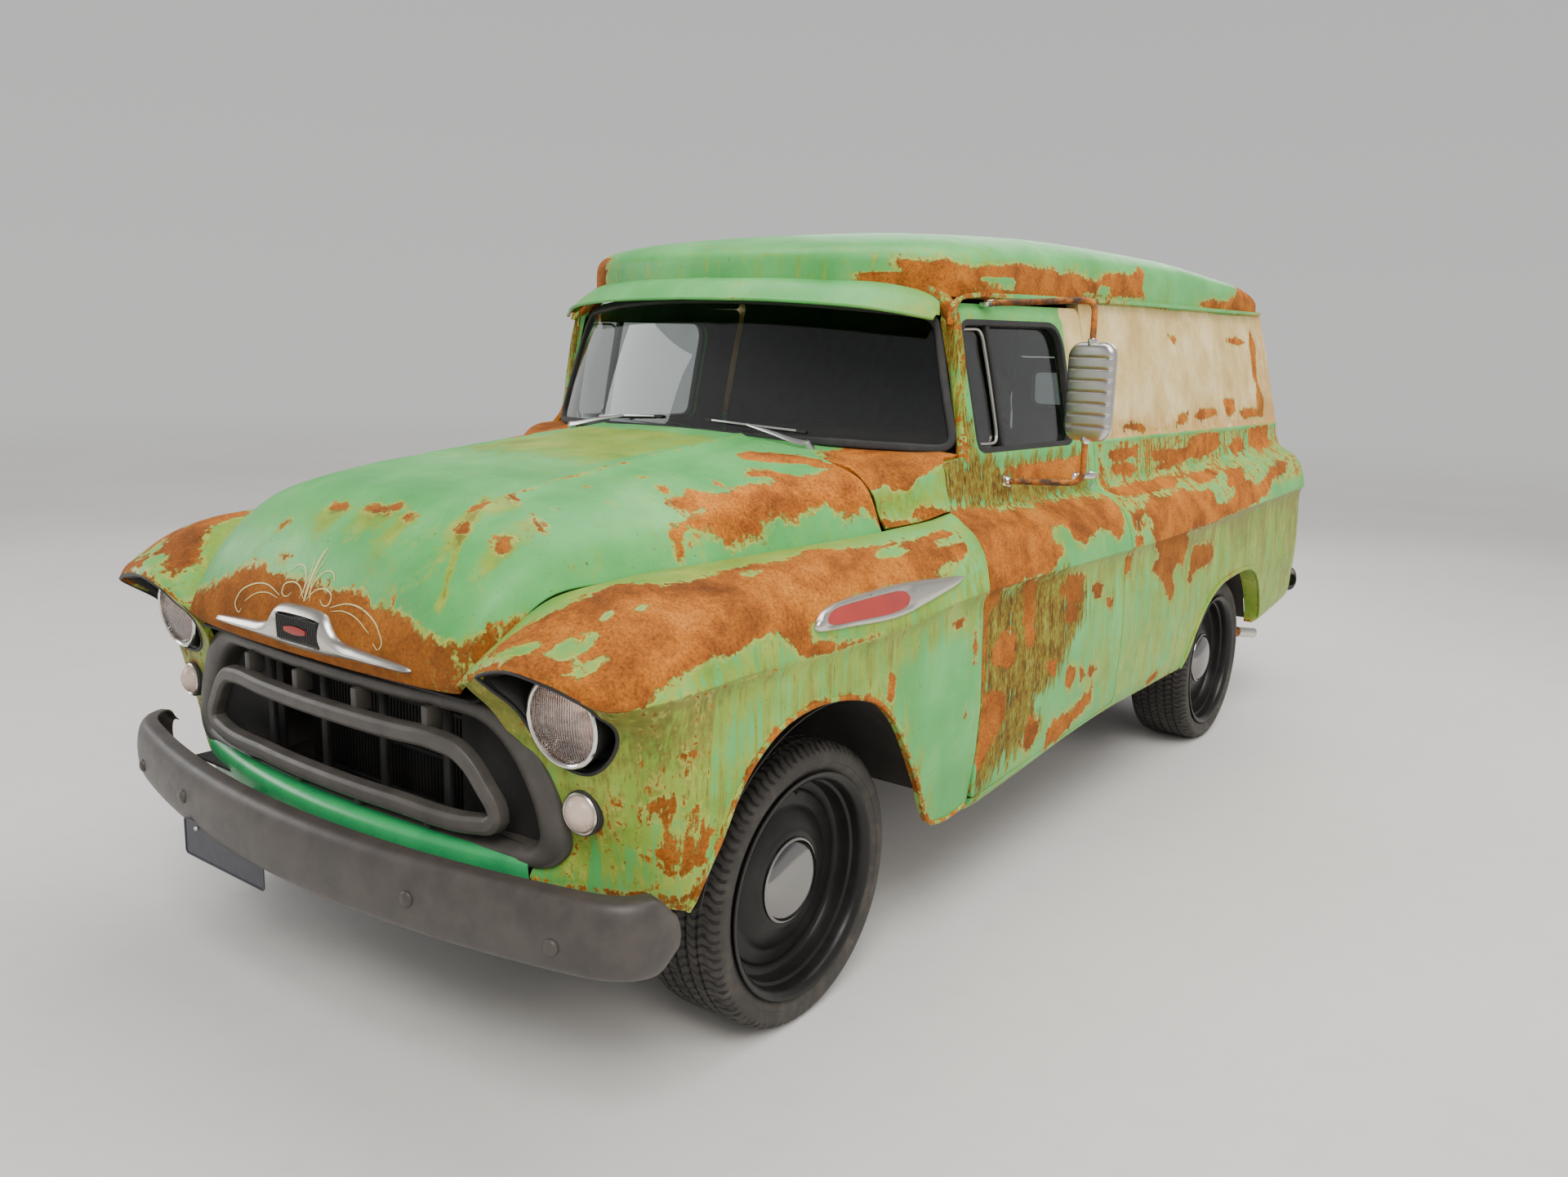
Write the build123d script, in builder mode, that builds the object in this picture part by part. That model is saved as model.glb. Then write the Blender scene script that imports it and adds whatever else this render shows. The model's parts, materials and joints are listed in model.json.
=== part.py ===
from build123d import *
import os

# Panel delivery van, millimetres.
# Frame: +X is the vehicle's left side, the front faces -Y, +Z is up.
# Origin: on the floor, on the centre plane, midway between the two axles.

os.makedirs("parts", exist_ok=True)

# ---- driving dimensions -------------------------------------------------
WHEELBASE = 2896.0
Y_FRONT = -WHEELBASE / 2          # front axle
Y_REAR = WHEELBASE / 2            # rear axle
WHEEL_X = 745.0                   # tyre centre plane
TYRE_R = 337.0
TYRE_W = 236.0
RIM_R = 268.0                     # flange radius
HUB_Z = TYRE_R

GAP = 6.0                         # shut line between panels
BODY_REAR = 2422.0                # rear face of the body
HOOD_REAR = -985.0                # rear edge of the hood
DOOR_FRONT = -800.0
DOOR_REAR = 172.0
DOOR_BEVEL = 14.0                 # set-back of the door's rear edge at window level
HINGE_X = 925.0                   # front door hinge line
HINGE_Y = DOOR_FRONT + 80.0
REAR_SILL = 630.0                 # bottom of the rear doors
REAR_HEAD = 1560.0                # top of the rear doors
REAR_HALF = 610.0                 # half width of the rear door opening
FLOOR_TOP = 560.0
KING_X = 655.0                    # king pin
HOOD_HINGE_Z = 1330.0


def save(builder, label):
    builder.part.label = label
    export_step(builder.part, "parts/" + label + ".step")
    bb = builder.part.bounding_box()
    print(label, "solids", len(builder.part.solids()), "volume", round(builder.part.volume / 1e6, 3), "l",
          [round(v) for v in (bb.min.X, bb.min.Y, bb.min.Z, bb.max.X, bb.max.Y, bb.max.Z)])


# ---- body shell ---------------------------------------------------------
# Stations along the body, one row each:
#  y      sill   crease  rail_x  rail_z  crown
BODY = [
    (-1000, 352, 955, 690, 1690, 1790),
    (-760, 352, 955, 690, 1690, 1835),
    (-560, 360, 956, 697, 1706, 1885),
    (-150, 392, 957, 703, 1716, 1945),
    (500, 410, 957, 703, 1738, 1985),
    (1200, 412, 980, 703, 1750, 1988),
    (1900, 450, 1004, 700, 1764, 1958),
    (2460, 520, 1022, 690, 1776, 1880),
]


def outer_half(sill, crease, rail_x, rail_z, crown):
    # half section of the outside, from the centre of the bottom up to the crown
    with BuildLine() as ln:
        Polyline((0, sill), (880, sill), (924, sill + 30), (938, 560), (942, 720), (935, crease - 32), (955, crease))
        ThreePointArc((955, crease), (943, crease + 78), (905, crease + 140))
        ThreePointArc((905, crease + 140), (838, crease + 180), (806, crease + 240))
        Polyline((806, crease + 240), (793, 1296), (rail_x, rail_z))
        ThreePointArc((rail_x, rail_z), (rail_x - 45, rail_z + 78), (560, crown - 52))
        ThreePointArc((560, crown - 52), (300, crown - 15), (0, crown))
        Line((0, crown), (0, sill))
    return ln


def inner_half(sill, crease, rail_x, rail_z, crown):
    with BuildLine() as ln:
        Polyline((0, 150), (868, 150), (870, crease - 10))
        ThreePointArc((870, crease - 10), (862, crease + 60), (830, crease + 105))
        ThreePointArc((830, crease + 105), (778, crease + 150), (760, crease + 220))
        Polyline((760, crease + 220), (748, 1290), (rail_x - 42, rail_z - 8))
        ThreePointArc((rail_x - 42, rail_z - 8), (rail_x - 84, rail_z + 52), (530, crown - 82))
        ThreePointArc((530, crown - 82), (300, crown - 45), (0, crown - 30))
        Line((0, crown - 30), (0, 150))
    return ln


# Plan outlines at several heights, one row each:
#  z     front_mid  front_side  side_x  corner_x  rear  radius
PLAN = [
    (140, -1020, -985, 900, 960, 2422, 190),
    (1256, -1020, -985, 900, 960, 2422, 190),
    (1296, -948, -700, 770, 800, 2412, 170),
    (1712, -815, -640, 660, 715, 2372, 190),
    (2050, -700, -560, 560, 640, 2250, 220),
]


def plan_half(row, t):
    z, fm, fs, sx, cx, rear, r = row
    c = cx - t
    rr = r - t
    with BuildLine() as ln:
        ThreePointArc((0, fm + t), (sx * 0.60, fm + t + (fs - fm) * 0.28), (sx - t, fs + t))
        Polyline((sx - t, fs + t), (1100, fs + t + 40), (1100, rear - t - rr), (c, rear - t - rr))
        ThreePointArc((c, rear - t - rr), (c - rr * 0.293, rear - t - rr * 0.293), (c - rr, rear - t))
        Polyline((c - rr, rear - t), (0, rear - t), (0, fm + t))
    return ln


def skin(sections, plan_offset):
    with BuildPart() as body:
        for row in BODY:
            with BuildSketch(Plane.XZ.offset(-row[0])):
                with BuildLine():
                    add(sections(*row[1:]).line)
                make_face()
        loft(ruled=True)
    with BuildPart() as plan:
        for row in PLAN:
            with BuildSketch(Plane.XY.offset(row[0])):
                with BuildLine():
                    add(plan_half(row, plan_offset).line)
                make_face()
        loft(ruled=True)
    return body.part & plan.part


OUTER = skin(outer_half, 0)
INNER = skin(inner_half, 42)
SHELL = OUTER - INNER                       # left half of the body wall and roof

# outlines in the side view, y and z
DOOR_LINE = [(DOOR_FRONT, 378), (DOOR_FRONT, 1262), (-776, 1276), (-690, 1282), (-672, 1306), (-664, 1650), (-636, 1690),
             (150, 1712), (DOOR_REAR, 1690), (DOOR_REAR, 438)]
WINDOW_LINE = [(-628, 1310), (-600, 1282), (-10, 1282), (12, 1304), (8, 1600), (-46, 1660), (-600, 1640), (-630, 1612)]


def side_prism(points, x0, x1, grow=0.0):
    with BuildPart() as prism:
        with BuildSketch(Plane.YZ.offset(x0)):
            with BuildLine():
                Polyline(*points, close=True)
            make_face()
            if grow:
                offset(amount=grow, kind=Kind.INTERSECTION)
        extrude(amount=x1 - x0)
    return prism.part


def front_prism(points, y0, y1):
    with BuildPart() as prism:
        with BuildSketch(Plane.XZ.offset(-y0)):
            with BuildLine():
                Polyline(*points, close=True)
            make_face()
        extrude(amount=-(y1 - y0))
    return prism.part


def block(x0, x1, y0, y1, z0, z1):
    return Pos((x0 + x1) / 2, (y0 + y1) / 2, (z0 + z1) / 2) * Box(x1 - x0, y1 - y0, z1 - z0, mode=Mode.PRIVATE)


door_prism = side_prism(DOOR_LINE, 560, 1200)
door_hole = side_prism(DOOR_LINE, 560, 1200, GAP)
window_prism = side_prism(WINDOW_LINE, 560, 1200)

# roof joint just above the gutter, side view
RAIL_LINE = [(-1200, 1700), (-560, 1716), (500, 1748), (1900, 1774), (2600, 1790), (2600, 2200), (-1200, 2200)]
roof_prism = side_prism(RAIL_LINE, -10, 1200)

# rear wheel arch in the side view
with BuildPart() as arch_cut:
    with BuildSketch(Plane.YZ.offset(780)):
        with BuildLine():
            Polyline((1808, 300), (808, 300), (846, 430))
            ThreePointArc((846, 430), (1000, 655), (1330, 732))
            ThreePointArc((1330, 732), (1640, 690), (1815, 474))
            Line((1815, 474), (1808, 300))
        make_face()
    extrude(amount=300)

# ---- roof ---------------------------------------------------------------
with BuildPart() as roof_panel:
    add(SHELL & roof_prism & block(-5, 1200, -830, 2500, 1600, 2200))
    mirror(about=Plane.YZ)
save(roof_panel, "roof_panel")

# ---- cab frame: windshield surround, pillars ----------------------------
with BuildPart() as windshield_cut:
    with BuildSketch(Plane.XZ.offset(1300)):
        with BuildLine():
            Polyline((-5, 1316), (728, 1300), (742, 1330), (622, 1640), (560, 1664), (-5, 1690), close=True)
        make_face()
    extrude(amount=-640)
rest = SHELL - roof_prism
with BuildPart() as cab_half:
    add(rest & block(-5, 1200, -960, -636, 1270, 1800))
    add(door_hole, mode=Mode.SUBTRACT)
    add(windshield_cut.part, mode=Mode.SUBTRACT)

# cowl: the skin in front of the doors, one row a station:
#  y     c_z   s1            s2           s3           s4           s5
COWL = [
    (-978, 1318, (560, 1268), (640, 1243), (690, 1198), (712, 1145), (735, 1112)),
    (-900, 1316, (600, 1276), (700, 1262), (748, 1225), (768, 1165), (790, 1128)),
    (-812, 1312, (650, 1288), (756, 1284), (790, 1262), (806, 1200), (822, 1150)),
]
COWL_T = 14.0
with BuildPart() as cowl_half:
    for y, cz, s1, s2, s3, s4, s5 in COWL:
        with BuildSketch(Plane.XZ.offset(-y)):
            with BuildLine():
                Polyline((0, cz), s1, s2, s3, s4, s5, (s5[0] - COWL_T, s5[1]), (s4[0] - COWL_T, s4[1] - 2),
                         (s3[0] - COWL_T, s3[1] - 6), (s2[0] - 10, s2[1] - COWL_T), (s1[0], s1[1] - COWL_T), (0, cz - COWL_T), close=True)
            make_face()
    loft(ruled=True)
    # firewall, side wall and door post down to the sill
    add(block(0, 700, -975, -961, FLOOR_TOP, 1200))
    add(block(690, 786, -962, -812, FLOOR_TOP, 1050))
    add(block(0, 776, -860, -846, 1196, 1270))
with BuildPart() as cab_frame:
    add(cab_half.part)
    add(cowl_half.part)
    # pillar foot, under the corner of the glass
    add(block(686, 712, -812, -700, 1200, 1286))
    mirror(about=Plane.YZ)
save(cab_frame, "cab_frame")

# ---- cargo sides with the rear corners ----------------------------------
rear_opening = block(-REAR_HALF - GAP, REAR_HALF + GAP, 2150, 2600, REAR_SILL - GAP, REAR_HEAD + GAP)
with BuildPart() as cargo_sides:
    add(rest & block(200, 1200, -636, 2600, 900, 1900))
    add(rest & block(800, 1200, DOOR_FRONT, -635, 200, 460))
    add(rest & block(200, 1200, -636, 2600, 200, 901))
    add(door_hole, mode=Mode.SUBTRACT)
    add(arch_cut.part, mode=Mode.SUBTRACT)
    add(block(-10, REAR_HALF + GAP, 2150, 2600, REAR_SILL - GAP, REAR_HEAD + GAP), mode=Mode.SUBTRACT)
    add(block(-10, 700, 2150, 2600, 200, REAR_SILL - GAP + 1), mode=Mode.SUBTRACT)
    mirror(about=Plane.YZ)
save(cargo_sides, "cargo_sides")

# ---- front doors --------------------------------------------------------
# the window-level rear edge is bevelled so that it swings clear of the post
bevel = side_prism([(DOOR_REAR - DOOR_BEVEL, 1180), (DOOR_REAR + 30, 1180), (DOOR_REAR + 30, 1760), (DOOR_REAR - DOOR_BEVEL, 1760)], 560, 760)
inboard = front_prism([(500, 1100), (744, 1100), (744, 1290), (656, 1710), (640, 1800), (500, 1800)], -1000, 400)
with BuildPart() as door_left:
    add(SHELL & door_prism)
    add(inboard, mode=Mode.SUBTRACT)
    add(window_prism, mode=Mode.SUBTRACT)
    add(bevel, mode=Mode.SUBTRACT)
save(door_left, "door_left")
with BuildPart() as door_right:
    add(mirror(door_left.part, about=Plane.YZ))
save(door_right, "door_right")

# glass leans with the upper side
GLASS_T = 6.0
with BuildPart() as door_glass_left:
    with BuildSketch(Plane.XZ.offset(700)):
        with BuildLine():
            Polyline((776, 1270), (776 - GLASS_T, 1270), (684 - GLASS_T, 1690), (684, 1690), close=True)
        make_face()
    extrude(amount=-800)
    add(window_prism, mode=Mode.INTERSECT)
save(door_glass_left, "door_glass_left")
with BuildPart() as door_glass_right:
    add(mirror(door_glass_left.part, about=Plane.YZ))
save(door_glass_right, "door_glass_right")

# ---- rear doors ---------------------------------------------------------
rear_panel = SHELL & block(GAP / 2, REAR_HALF, 2150, 2600, REAR_SILL, REAR_HEAD)
with BuildPart() as rear_door_left:
    add(rear_panel)
    with BuildSketch(Plane.XZ.offset(-2150)):
        with Locations((330, 1400)):
            RectangleRounded(330, 190, 45)
    extrude(amount=-400, mode=Mode.SUBTRACT)
save(rear_door_left, "rear_door_left")
with BuildPart() as rear_door_right:
    add(mirror(rear_door_left.part, about=Plane.YZ))
save(rear_door_right, "rear_door_right")
with BuildPart() as rear_glass_left:
    with BuildSketch(Plane.XZ.offset(-2368)):
        with Locations((330, 1400)):
            RectangleRounded(330, 190, 45)
    extrude(amount=-5)
save(rear_glass_left, "rear_glass_left")
with BuildPart() as rear_glass_right:
    add(mirror(rear_glass_left.part, about=Plane.YZ))
save(rear_glass_right, "rear_glass_right")

# ---- floor --------------------------------------------------------------
with BuildPart() as floor_pan:
    add(block(-820, 820, -960, 2360, FLOOR_TOP - 24, FLOOR_TOP))
    # wells for the rear wheels, open below
    for side in (-1, 1):
        x0, x1 = sorted((side * 560, side * 868))
        add(block(x0, x1, 1000, 1890, FLOOR_TOP - 24, 780))
        w0, w1 = sorted((side * 575, side * 900))
        add(block(w0, w1, 1015, 1875, 300, 765), mode=Mode.SUBTRACT)
        s0, s1 = sorted((side * 780, side * 868))
        add(block(s0, s1, -640, 830, 395, FLOOR_TOP - 24))
    # rear sill under the rear doors
    add(block(-700, 700, 2300, 2415, 470, REAR_SILL - GAP))
    # front wheel clearance
    for side in (-1, 1):
        x0, x1 = sorted((side * 700, side * 900))
        add(block(x0, x1, -980, -806, 500, 600), mode=Mode.SUBTRACT)
save(floor_pan, "floor_pan")

# ---- hood table and shared shapes of the nose ----
# Half sections, one row each: y, crown z, then x and z of four points out to the shut line
HOOD = [
    (-2158, 965, (300, 958), (420, 948), (480, 925), (498, 892)),
    (-2120, 1062, (300, 1052), (420, 1030), (490, 985), (510, 925)),
    (-2060, 1140, (300, 1130), (425, 1100), (500, 1050), (532, 972)),
    (-1960, 1205, (300, 1198), (435, 1166), (515, 1112), (556, 1046)),
    (-1813, 1238, (300, 1230), (450, 1198), (540, 1140), (580, 1064)),
    (-1498, 1272, (300, 1264), (475, 1234), (580, 1172), (634, 1078)),
    (-1138, 1303, (300, 1294), (525, 1262), (640, 1202), (698, 1088)),
    (HOOD_REAR, 1320, (300, 1310), (555, 1272), (670, 1222), (726, 1098)),
]


def arc_band(y_mid, y_side, x_side, thick, z0, z1):
    with BuildPart() as band:
        with BuildSketch(Plane.XY.offset(z0)):
            with BuildLine():
                ThreePointArc((-x_side, y_side), (0, y_mid), (x_side, y_side))
                Line((x_side, y_side), (x_side, y_side + thick))
                ThreePointArc((x_side, y_side + thick), (0, y_mid + thick), (-x_side, y_side + thick))
                Line((-x_side, y_side + thick), (-x_side, y_side))
            make_face()
        extrude(amount=z1 - z0)
    return band.part


def trapezoid(x_top, z_top, x_low, z_low, cut):
    pts = [(x_top - cut, z_top), (x_top, z_top - cut), (x_low, z_low + cut), (x_low - cut, z_low)]
    return pts + [(-x, z) for x, z in reversed(pts)]


# ---- front fenders ------------------------------------------------------
# Side sections, one row each:
#  y      low   crease  crown_x crown_z  shut_x  shut_z
FENDER = [
    (-2200, 470, 925, 800, 985, 500, 985),
    (-2080, 470, 925, 790, 1030, 530, 1000),
    (-1980, 440, 930, 790, 1062, 556, 1046),
    (-1813, 400, 936, 800, 1085, 585, 1064),
    (-1498, 380, 922, 812, 1098, 640, 1079),
    (-1138, 360, 930, 825, 1112, 705, 1089),
    (-985, 356, 948, 838, 1122, 738, 1099),
    (-806, 356, 955, 850, 1128, 824, 1143),
]
FENDER_T = 16.0


def fender_outer(low, crease, cx, cz, sx, sz):
    with BuildLine() as ln:
        Polyline((sx - 60, low), (890, low), (926, low + 34), (938, 560), (941, 720), (936, crease - 28), (955, crease))
        ThreePointArc((955, crease), (935, (crease + cz) / 2 + 22), (cx + 55, cz - 12))
        Polyline((cx + 55, cz - 12), (cx, cz), (sx, sz), (sx - 60, sz - 30), (sx - 60, low))
    return ln


def fender_inner(low, crease, cx, cz, sx, sz):
    t = FENDER_T
    with BuildLine() as ln:
        Polyline((sx - 90, 100), (926 - t, 100), (926 - t, low + 34), (938 - t, 560), (941 - t, 720), (936 - t, crease - 28), (944 - t, crease))
        ThreePointArc((944 - t, crease), (926 - t, (crease + cz) / 2 + 14), (cx + 48 - t, cz - 14 - t))
        Polyline((cx + 48 - t, cz - 14 - t), (cx, cz - t), (sx, sz - t), (sx - 90, sz - t - 15), (sx - 90, 100))
    return ln


# Plan outlines of the nose, one row each: z, front y at the grille, front y at the lamp, corner x, corner y
NOSE = [
    (90, -1990, -1980, 800, -1800),
    (470, -2020, -2000, 830, -1850),
    (650, -2062, -2040, 850, -1880),
    (760, -2080, -2052, 860, -1890),
    (850, -2115, -2085, 880, -1930),
    (925, -2185, -2160, 905, -1990),
    (1000, -2150, -2130, 890, -1930),
    (1160, -2010, -1990, 860, -1700),
]


def nose_half(row, t):
    z, fg, fl, cx, cy = row
    with BuildLine() as ln:
        Polyline((300, fg + t), (640, fl + t - 4))
        Line((640, fl + t - 4), (720, fl + t))
        ThreePointArc((720, fl + t), (cx - t * 0.7, (fl + cy) / 2 - 10 + t * 0.7), (965 - t, cy + 60))
        Polyline((965 - t, cy + 60), (1000, cy + 90), (1000, -700), (300, -700), (300, fg + t))
    return ln


def fender_skin(section, t):
    with BuildPart() as side:
        for row in FENDER:
            with BuildSketch(Plane.XZ.offset(-row[0])):
                with BuildLine():
                    add(section(*row[1:]).line)
                make_face()
        loft(ruled=True)
    with BuildPart() as nose:
        for row in NOSE:
            with BuildSketch(Plane.XY.offset(row[0])):
                with BuildLine():
                    add(nose_half(row, t).line)
                make_face()
        loft(ruled=True)
    return side.part & nose.part


with BuildPart() as front_arch:
    with BuildSketch(Plane.YZ.offset(780)):
        with BuildLine():
            Polyline((-985, 200), (-1930, 200), (-1905, 480))
            ThreePointArc((-1905, 480), (-1800, 706), (-1586, 808))
            ThreePointArc((-1586, 808), (-1290, 748), (-1120, 530))
            Polyline((-1120, 530), (-996, 362), (-985, 200))
        make_face()
    extrude(amount=300)

fender_out = fender_skin(fender_outer, 0)
fender_in = fender_skin(fender_inner, FENDER_T)
hood_space_rows = [(-2210, 508)] + [(row[0], row[5][0] + GAP) for row in HOOD] + [(-960, 736)]
with BuildPart() as hood_space:
    for y, x in hood_space_rows:
        with BuildSketch(Plane.XZ.offset(-y)):
            with BuildLine():
                Polyline((0, 842), (0, 1500), (x, 1500), (x, 842), close=True)
            make_face()
    loft(ruled=True)
grille_space = front_prism([(-10, 842), (518, 842), (558, 800), (676, 564), (676, 522), (612, 520), (612, 300), (-10, 300)], -2300, -1880)
with BuildPart() as front_fenders:
    add(fender_out)
    add(fender_in, mode=Mode.SUBTRACT)
    add(front_arch.part, mode=Mode.SUBTRACT)
    # opening behind the headlamp and the side lamp
    with BuildSketch(Plane.XZ.offset(2300)):
        with Locations((713, 843)):
            Circle(112)
    extrude(amount=-320, mode=Mode.SUBTRACT)
    with BuildSketch(Plane.XZ.offset(2300)):
        with Locations((727, 654)):
            Circle(30)
    extrude(amount=-320, mode=Mode.SUBTRACT)
    # the grille space
    add(grille_space, mode=Mode.SUBTRACT)
    add(hood_space.part, mode=Mode.SUBTRACT)
    # clear of the door's front edge
    add(block(560, 1200, DOOR_FRONT - GAP, -700, 200, 1400), mode=Mode.SUBTRACT)
    add(block(300, 700, -960, -700, 200, 1400), mode=Mode.SUBTRACT)
    mirror(about=Plane.YZ)
save(front_fenders, "front_fenders")

# ---- hood ---------------------------------------------------------------
HOOD_T = 16.0
with BuildPart() as hood_panel:
    for y, cz, a, b, c, d in HOOD:
        with BuildSketch(Plane.XZ.offset(-y)):
            with BuildLine():
                Polyline((0, cz), a, b, c, d, (d[0] - 20, d[1]), (c[0] - HOOD_T, c[1] - 10), (b[0] - 8, b[1] - HOOD_T),
                         (a[0], a[1] - HOOD_T), (0, cz - HOOD_T), close=True)
            make_face()
    loft(ruled=True)
    # front lip down to the grille
    with BuildSketch(Plane.XZ.offset(2150)):
        with BuildLine():
            Polyline((0, 966), (300, 958), (420, 948), (480, 925), (498, 880), (0, 850), close=True)
        make_face()
    extrude(amount=14)
    mirror(about=Plane.YZ)
save(hood_panel, "hood_panel")

with BuildPart() as hood_emblem:
    with BuildSketch(Plane.XZ.offset(2164.3)):
        with BuildLine():
            Polyline((0, 975), (95, 968), (130, 925), (362, 900), (366, 888), (120, 895), (80, 878), (0, 876), close=True)
        make_face()
    extrude(amount=20)
    mirror(about=Plane.YZ)
save(hood_emblem, "hood_emblem")

# ---- grille -------------------------------------------------------------
surround = (front_prism(trapezoid(512, 832, 668, 528, 40), -2300, -1900)
            - front_prism(trapezoid(470, 776, 600, 560, 34), -2300, -1900)) & arc_band(-2122, -2010, 680, 66, 400, 900)
ring = (front_prism(trapezoid(470, 748, 560, 606, 40), -2300, -1900)
        - front_prism(trapezoid(436, 712, 514, 642, 26), -2300, -1900)) & arc_band(-2150, -2044, 680, 44, 400, 900)
stub_band = arc_band(-2140, -2034, 680, 52, 400, 900)
with BuildPart() as grille:
    add(surround)
    add(ring)
    # stubs that carry the ring
    for x in (-330, -112, 112, 330):
        add(block(x - 11, x + 11, -2160, -2060, 742, 790) & stub_band)
        add(block(x - 11, x + 11, -2160, -2060, 548, 612) & stub_band)
save(grille, "grille")

with BuildPart() as radiator_core:
    add(block(-330, 330, -1940, -1870, 500, 960))
save(radiator_core, "radiator_core")

valance = front_prism([(-590, 524), (590, 524), (600, 430), (-600, 430)], -2300, -1900) & arc_band(-2148, -2030, 640, 40, 400, 560)
with BuildPart() as front_valance:
    add(valance)
save(front_valance, "front_valance")

# ---- bumpers ------------------------------------------------------------
def bumper(y_mid, y_side, x_side, y_end, x_end, depth, z0, z1, round_r):
    s = 1 if y_mid > 0 else -1
    with BuildPart() as bar:
        with BuildSketch(Plane.XY.offset(z0)):
            with BuildLine():
                ThreePointArc((-x_side, y_side), (0, y_mid), (x_side, y_side))
                ThreePointArc((x_side, y_side), (x_end - 22, (y_side + y_end) / 2 + s * 28), (x_end, y_end))
                Line((x_end, y_end), (x_end - depth, y_end))
                Line((x_end - depth, y_end), (x_side - 12, y_side - s * depth))
                ThreePointArc((x_side - 12, y_side - s * depth), (0, y_mid - s * depth), (-x_side + 12, y_side - s * depth))
                Line((-x_side + 12, y_side - s * depth), (-x_end + depth, y_end))
                Line((-x_end + depth, y_end), (-x_end, y_end))
                ThreePointArc((-x_end, y_end), (-x_end + 22, (y_side + y_end) / 2 + s * 28), (-x_side, y_side))
            make_face()
        extrude(amount=z1 - z0)
    return bar


front_bumper = bumper(-2262, -2150, 800, -1990, 948, 52, 372, 536, 20)
with BuildPart() as front_bumper_full:
    add(front_bumper.part)
    # brackets back to the frame rails
    for side in (-1, 1):
        x0, x1 = sorted((side * 385, side * 425))
        add(block(x0, x1, -2210, -2031, 392, 428))
save(front_bumper_full, "front_bumper")

rear_bumper = bumper(2532, 2500, 740, 2400, 930, 40, 500, 615, 15)
with BuildPart() as rear_bumper_full:
    add(rear_bumper.part)
    for side in (-1, 1):
        x0, x1 = sorted((side * 385, side * 425))
        add(block(x0, x1, 2416, 2505, 506, 556))
save(rear_bumper_full, "rear_bumper")

# ---- lamps --------------------------------------------------------------
with BuildPart() as front_lamps:
    with BuildSketch(Plane.XZ.offset(2076)):
        with Locations((713, 843)):
            Circle(94)
    extrude(amount=-90)
    with BuildSketch(Plane.XZ.offset(2052)):
        with Locations((727, 654)):
            Circle(29)
    extrude(amount=-40)
    with BuildSketch(Plane.XZ.offset(2074)):
        with Locations((727, 654)):
            Circle(43)
    extrude(amount=-22)
    mirror(about=Plane.YZ)
save(front_lamps, "front_lamps")

with BuildPart() as tail_lamps:
    with BuildSketch(Plane.XZ.offset(-2426)):
        with Locations((735, 850)):
            Circle(48)
    extrude(amount=-46)
    mirror(about=Plane.YZ)
save(tail_lamps, "tail_lamps")

# ---- windshield ---------------------------------------------------------
# rows: z, y at the centre, y at the edge, x at the edge
WINDSHIELD = [(1318, -920, -716, 728), (1640, -826, -660, 610)]
with BuildPart() as windshield_glass:
    for z, ym, ys, xs in WINDSHIELD:
        with BuildSketch(Plane.XY.offset(z)):
            with BuildLine():
                ThreePointArc((-xs, ys), (0, ym), (xs, ys))
                Line((xs, ys), (xs, ys + 7))
                ThreePointArc((xs, ys + 7), (0, ym + 7), (-xs, ys + 7))
                Line((-xs, ys + 7), (-xs, ys))
            make_face()
    loft(ruled=True)
save(windshield_glass, "windshield_glass")

# visor rows: z, y at the centre, y at the edge, x at the edge
VISOR = [(1662, -958, -724, 692), (1740, -848, -684, 586)]
with BuildPart() as sun_visor:
    for z, ym, ys, xs in VISOR:
        with BuildSketch(Plane.XY.offset(z)):
            with BuildLine():
                ThreePointArc((-xs, ys), (0, ym), (xs, ys))
                Line((xs, ys), (xs, ys + 10))
                ThreePointArc((xs, ys + 10), (0, ym + 10), (-xs, ys + 10))
                Line((-xs, ys + 10), (-xs, ys))
            make_face()
    loft(ruled=True)
save(sun_visor, "sun_visor")

# ---- inside the cab -----------------------------------------------------
with BuildPart() as dashboard:
    with BuildSketch(Plane.YZ.offset(-684)):
        with BuildLine():
            Polyline((-806, 1262), (-690, 1240), (-640, 1190), (-650, 1060), (-690, 1050), (-712, 1180), (-806, 1196), close=True)
        make_face()
    extrude(amount=1368)
save(dashboard, "dashboard")

with BuildPart() as seat_cushion:
    with BuildSketch(Plane.YZ.offset(-640)):
        with BuildLine():
            Polyline((-330, 700), (-330, 850), (-280, 872), (180, 840), (180, 700), close=True)
        make_face()
    extrude(amount=1280)
    fillet(seat_cushion.edges().filter_by(Axis.X).sort_by(Axis.Z)[-3:], 18)
save(seat_cushion, "seat_cushion")

with BuildPart() as seat_back:
    with BuildSketch(Plane.YZ.offset(-640)):
        with BuildLine():
            Polyline((90, 852), (190, 846), (290, 1300), (200, 1310), close=True)
        make_face()
    extrude(amount=1280)
save(seat_back, "seat_back")

COLUMN = Plane(origin=(380, -470, 1150), x_dir=(1, 0, 0), z_dir=(0, 0.60, 0.80))
with BuildPart() as steering_column:
    with BuildSketch(COLUMN.offset(-8)):
        Circle(24)
    extrude(amount=-560)
save(steering_column, "steering_column")

with BuildPart() as steering_wheel:
    with BuildSketch(COLUMN.offset(-4)):
        Circle(42)
    extrude(amount=44)
    with BuildSketch(COLUMN.offset(14)):
        Circle(224)
        Circle(198, mode=Mode.SUBTRACT)
    extrude(amount=22)
    with BuildSketch(COLUMN.offset(16)):
        for a in (90, 210, 330):
            with Locations(Rotation(0, 0, a) * Location((120, 0))):
                Rectangle(170, 22)
    extrude(amount=14)
save(steering_wheel, "steering_wheel")

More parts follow.
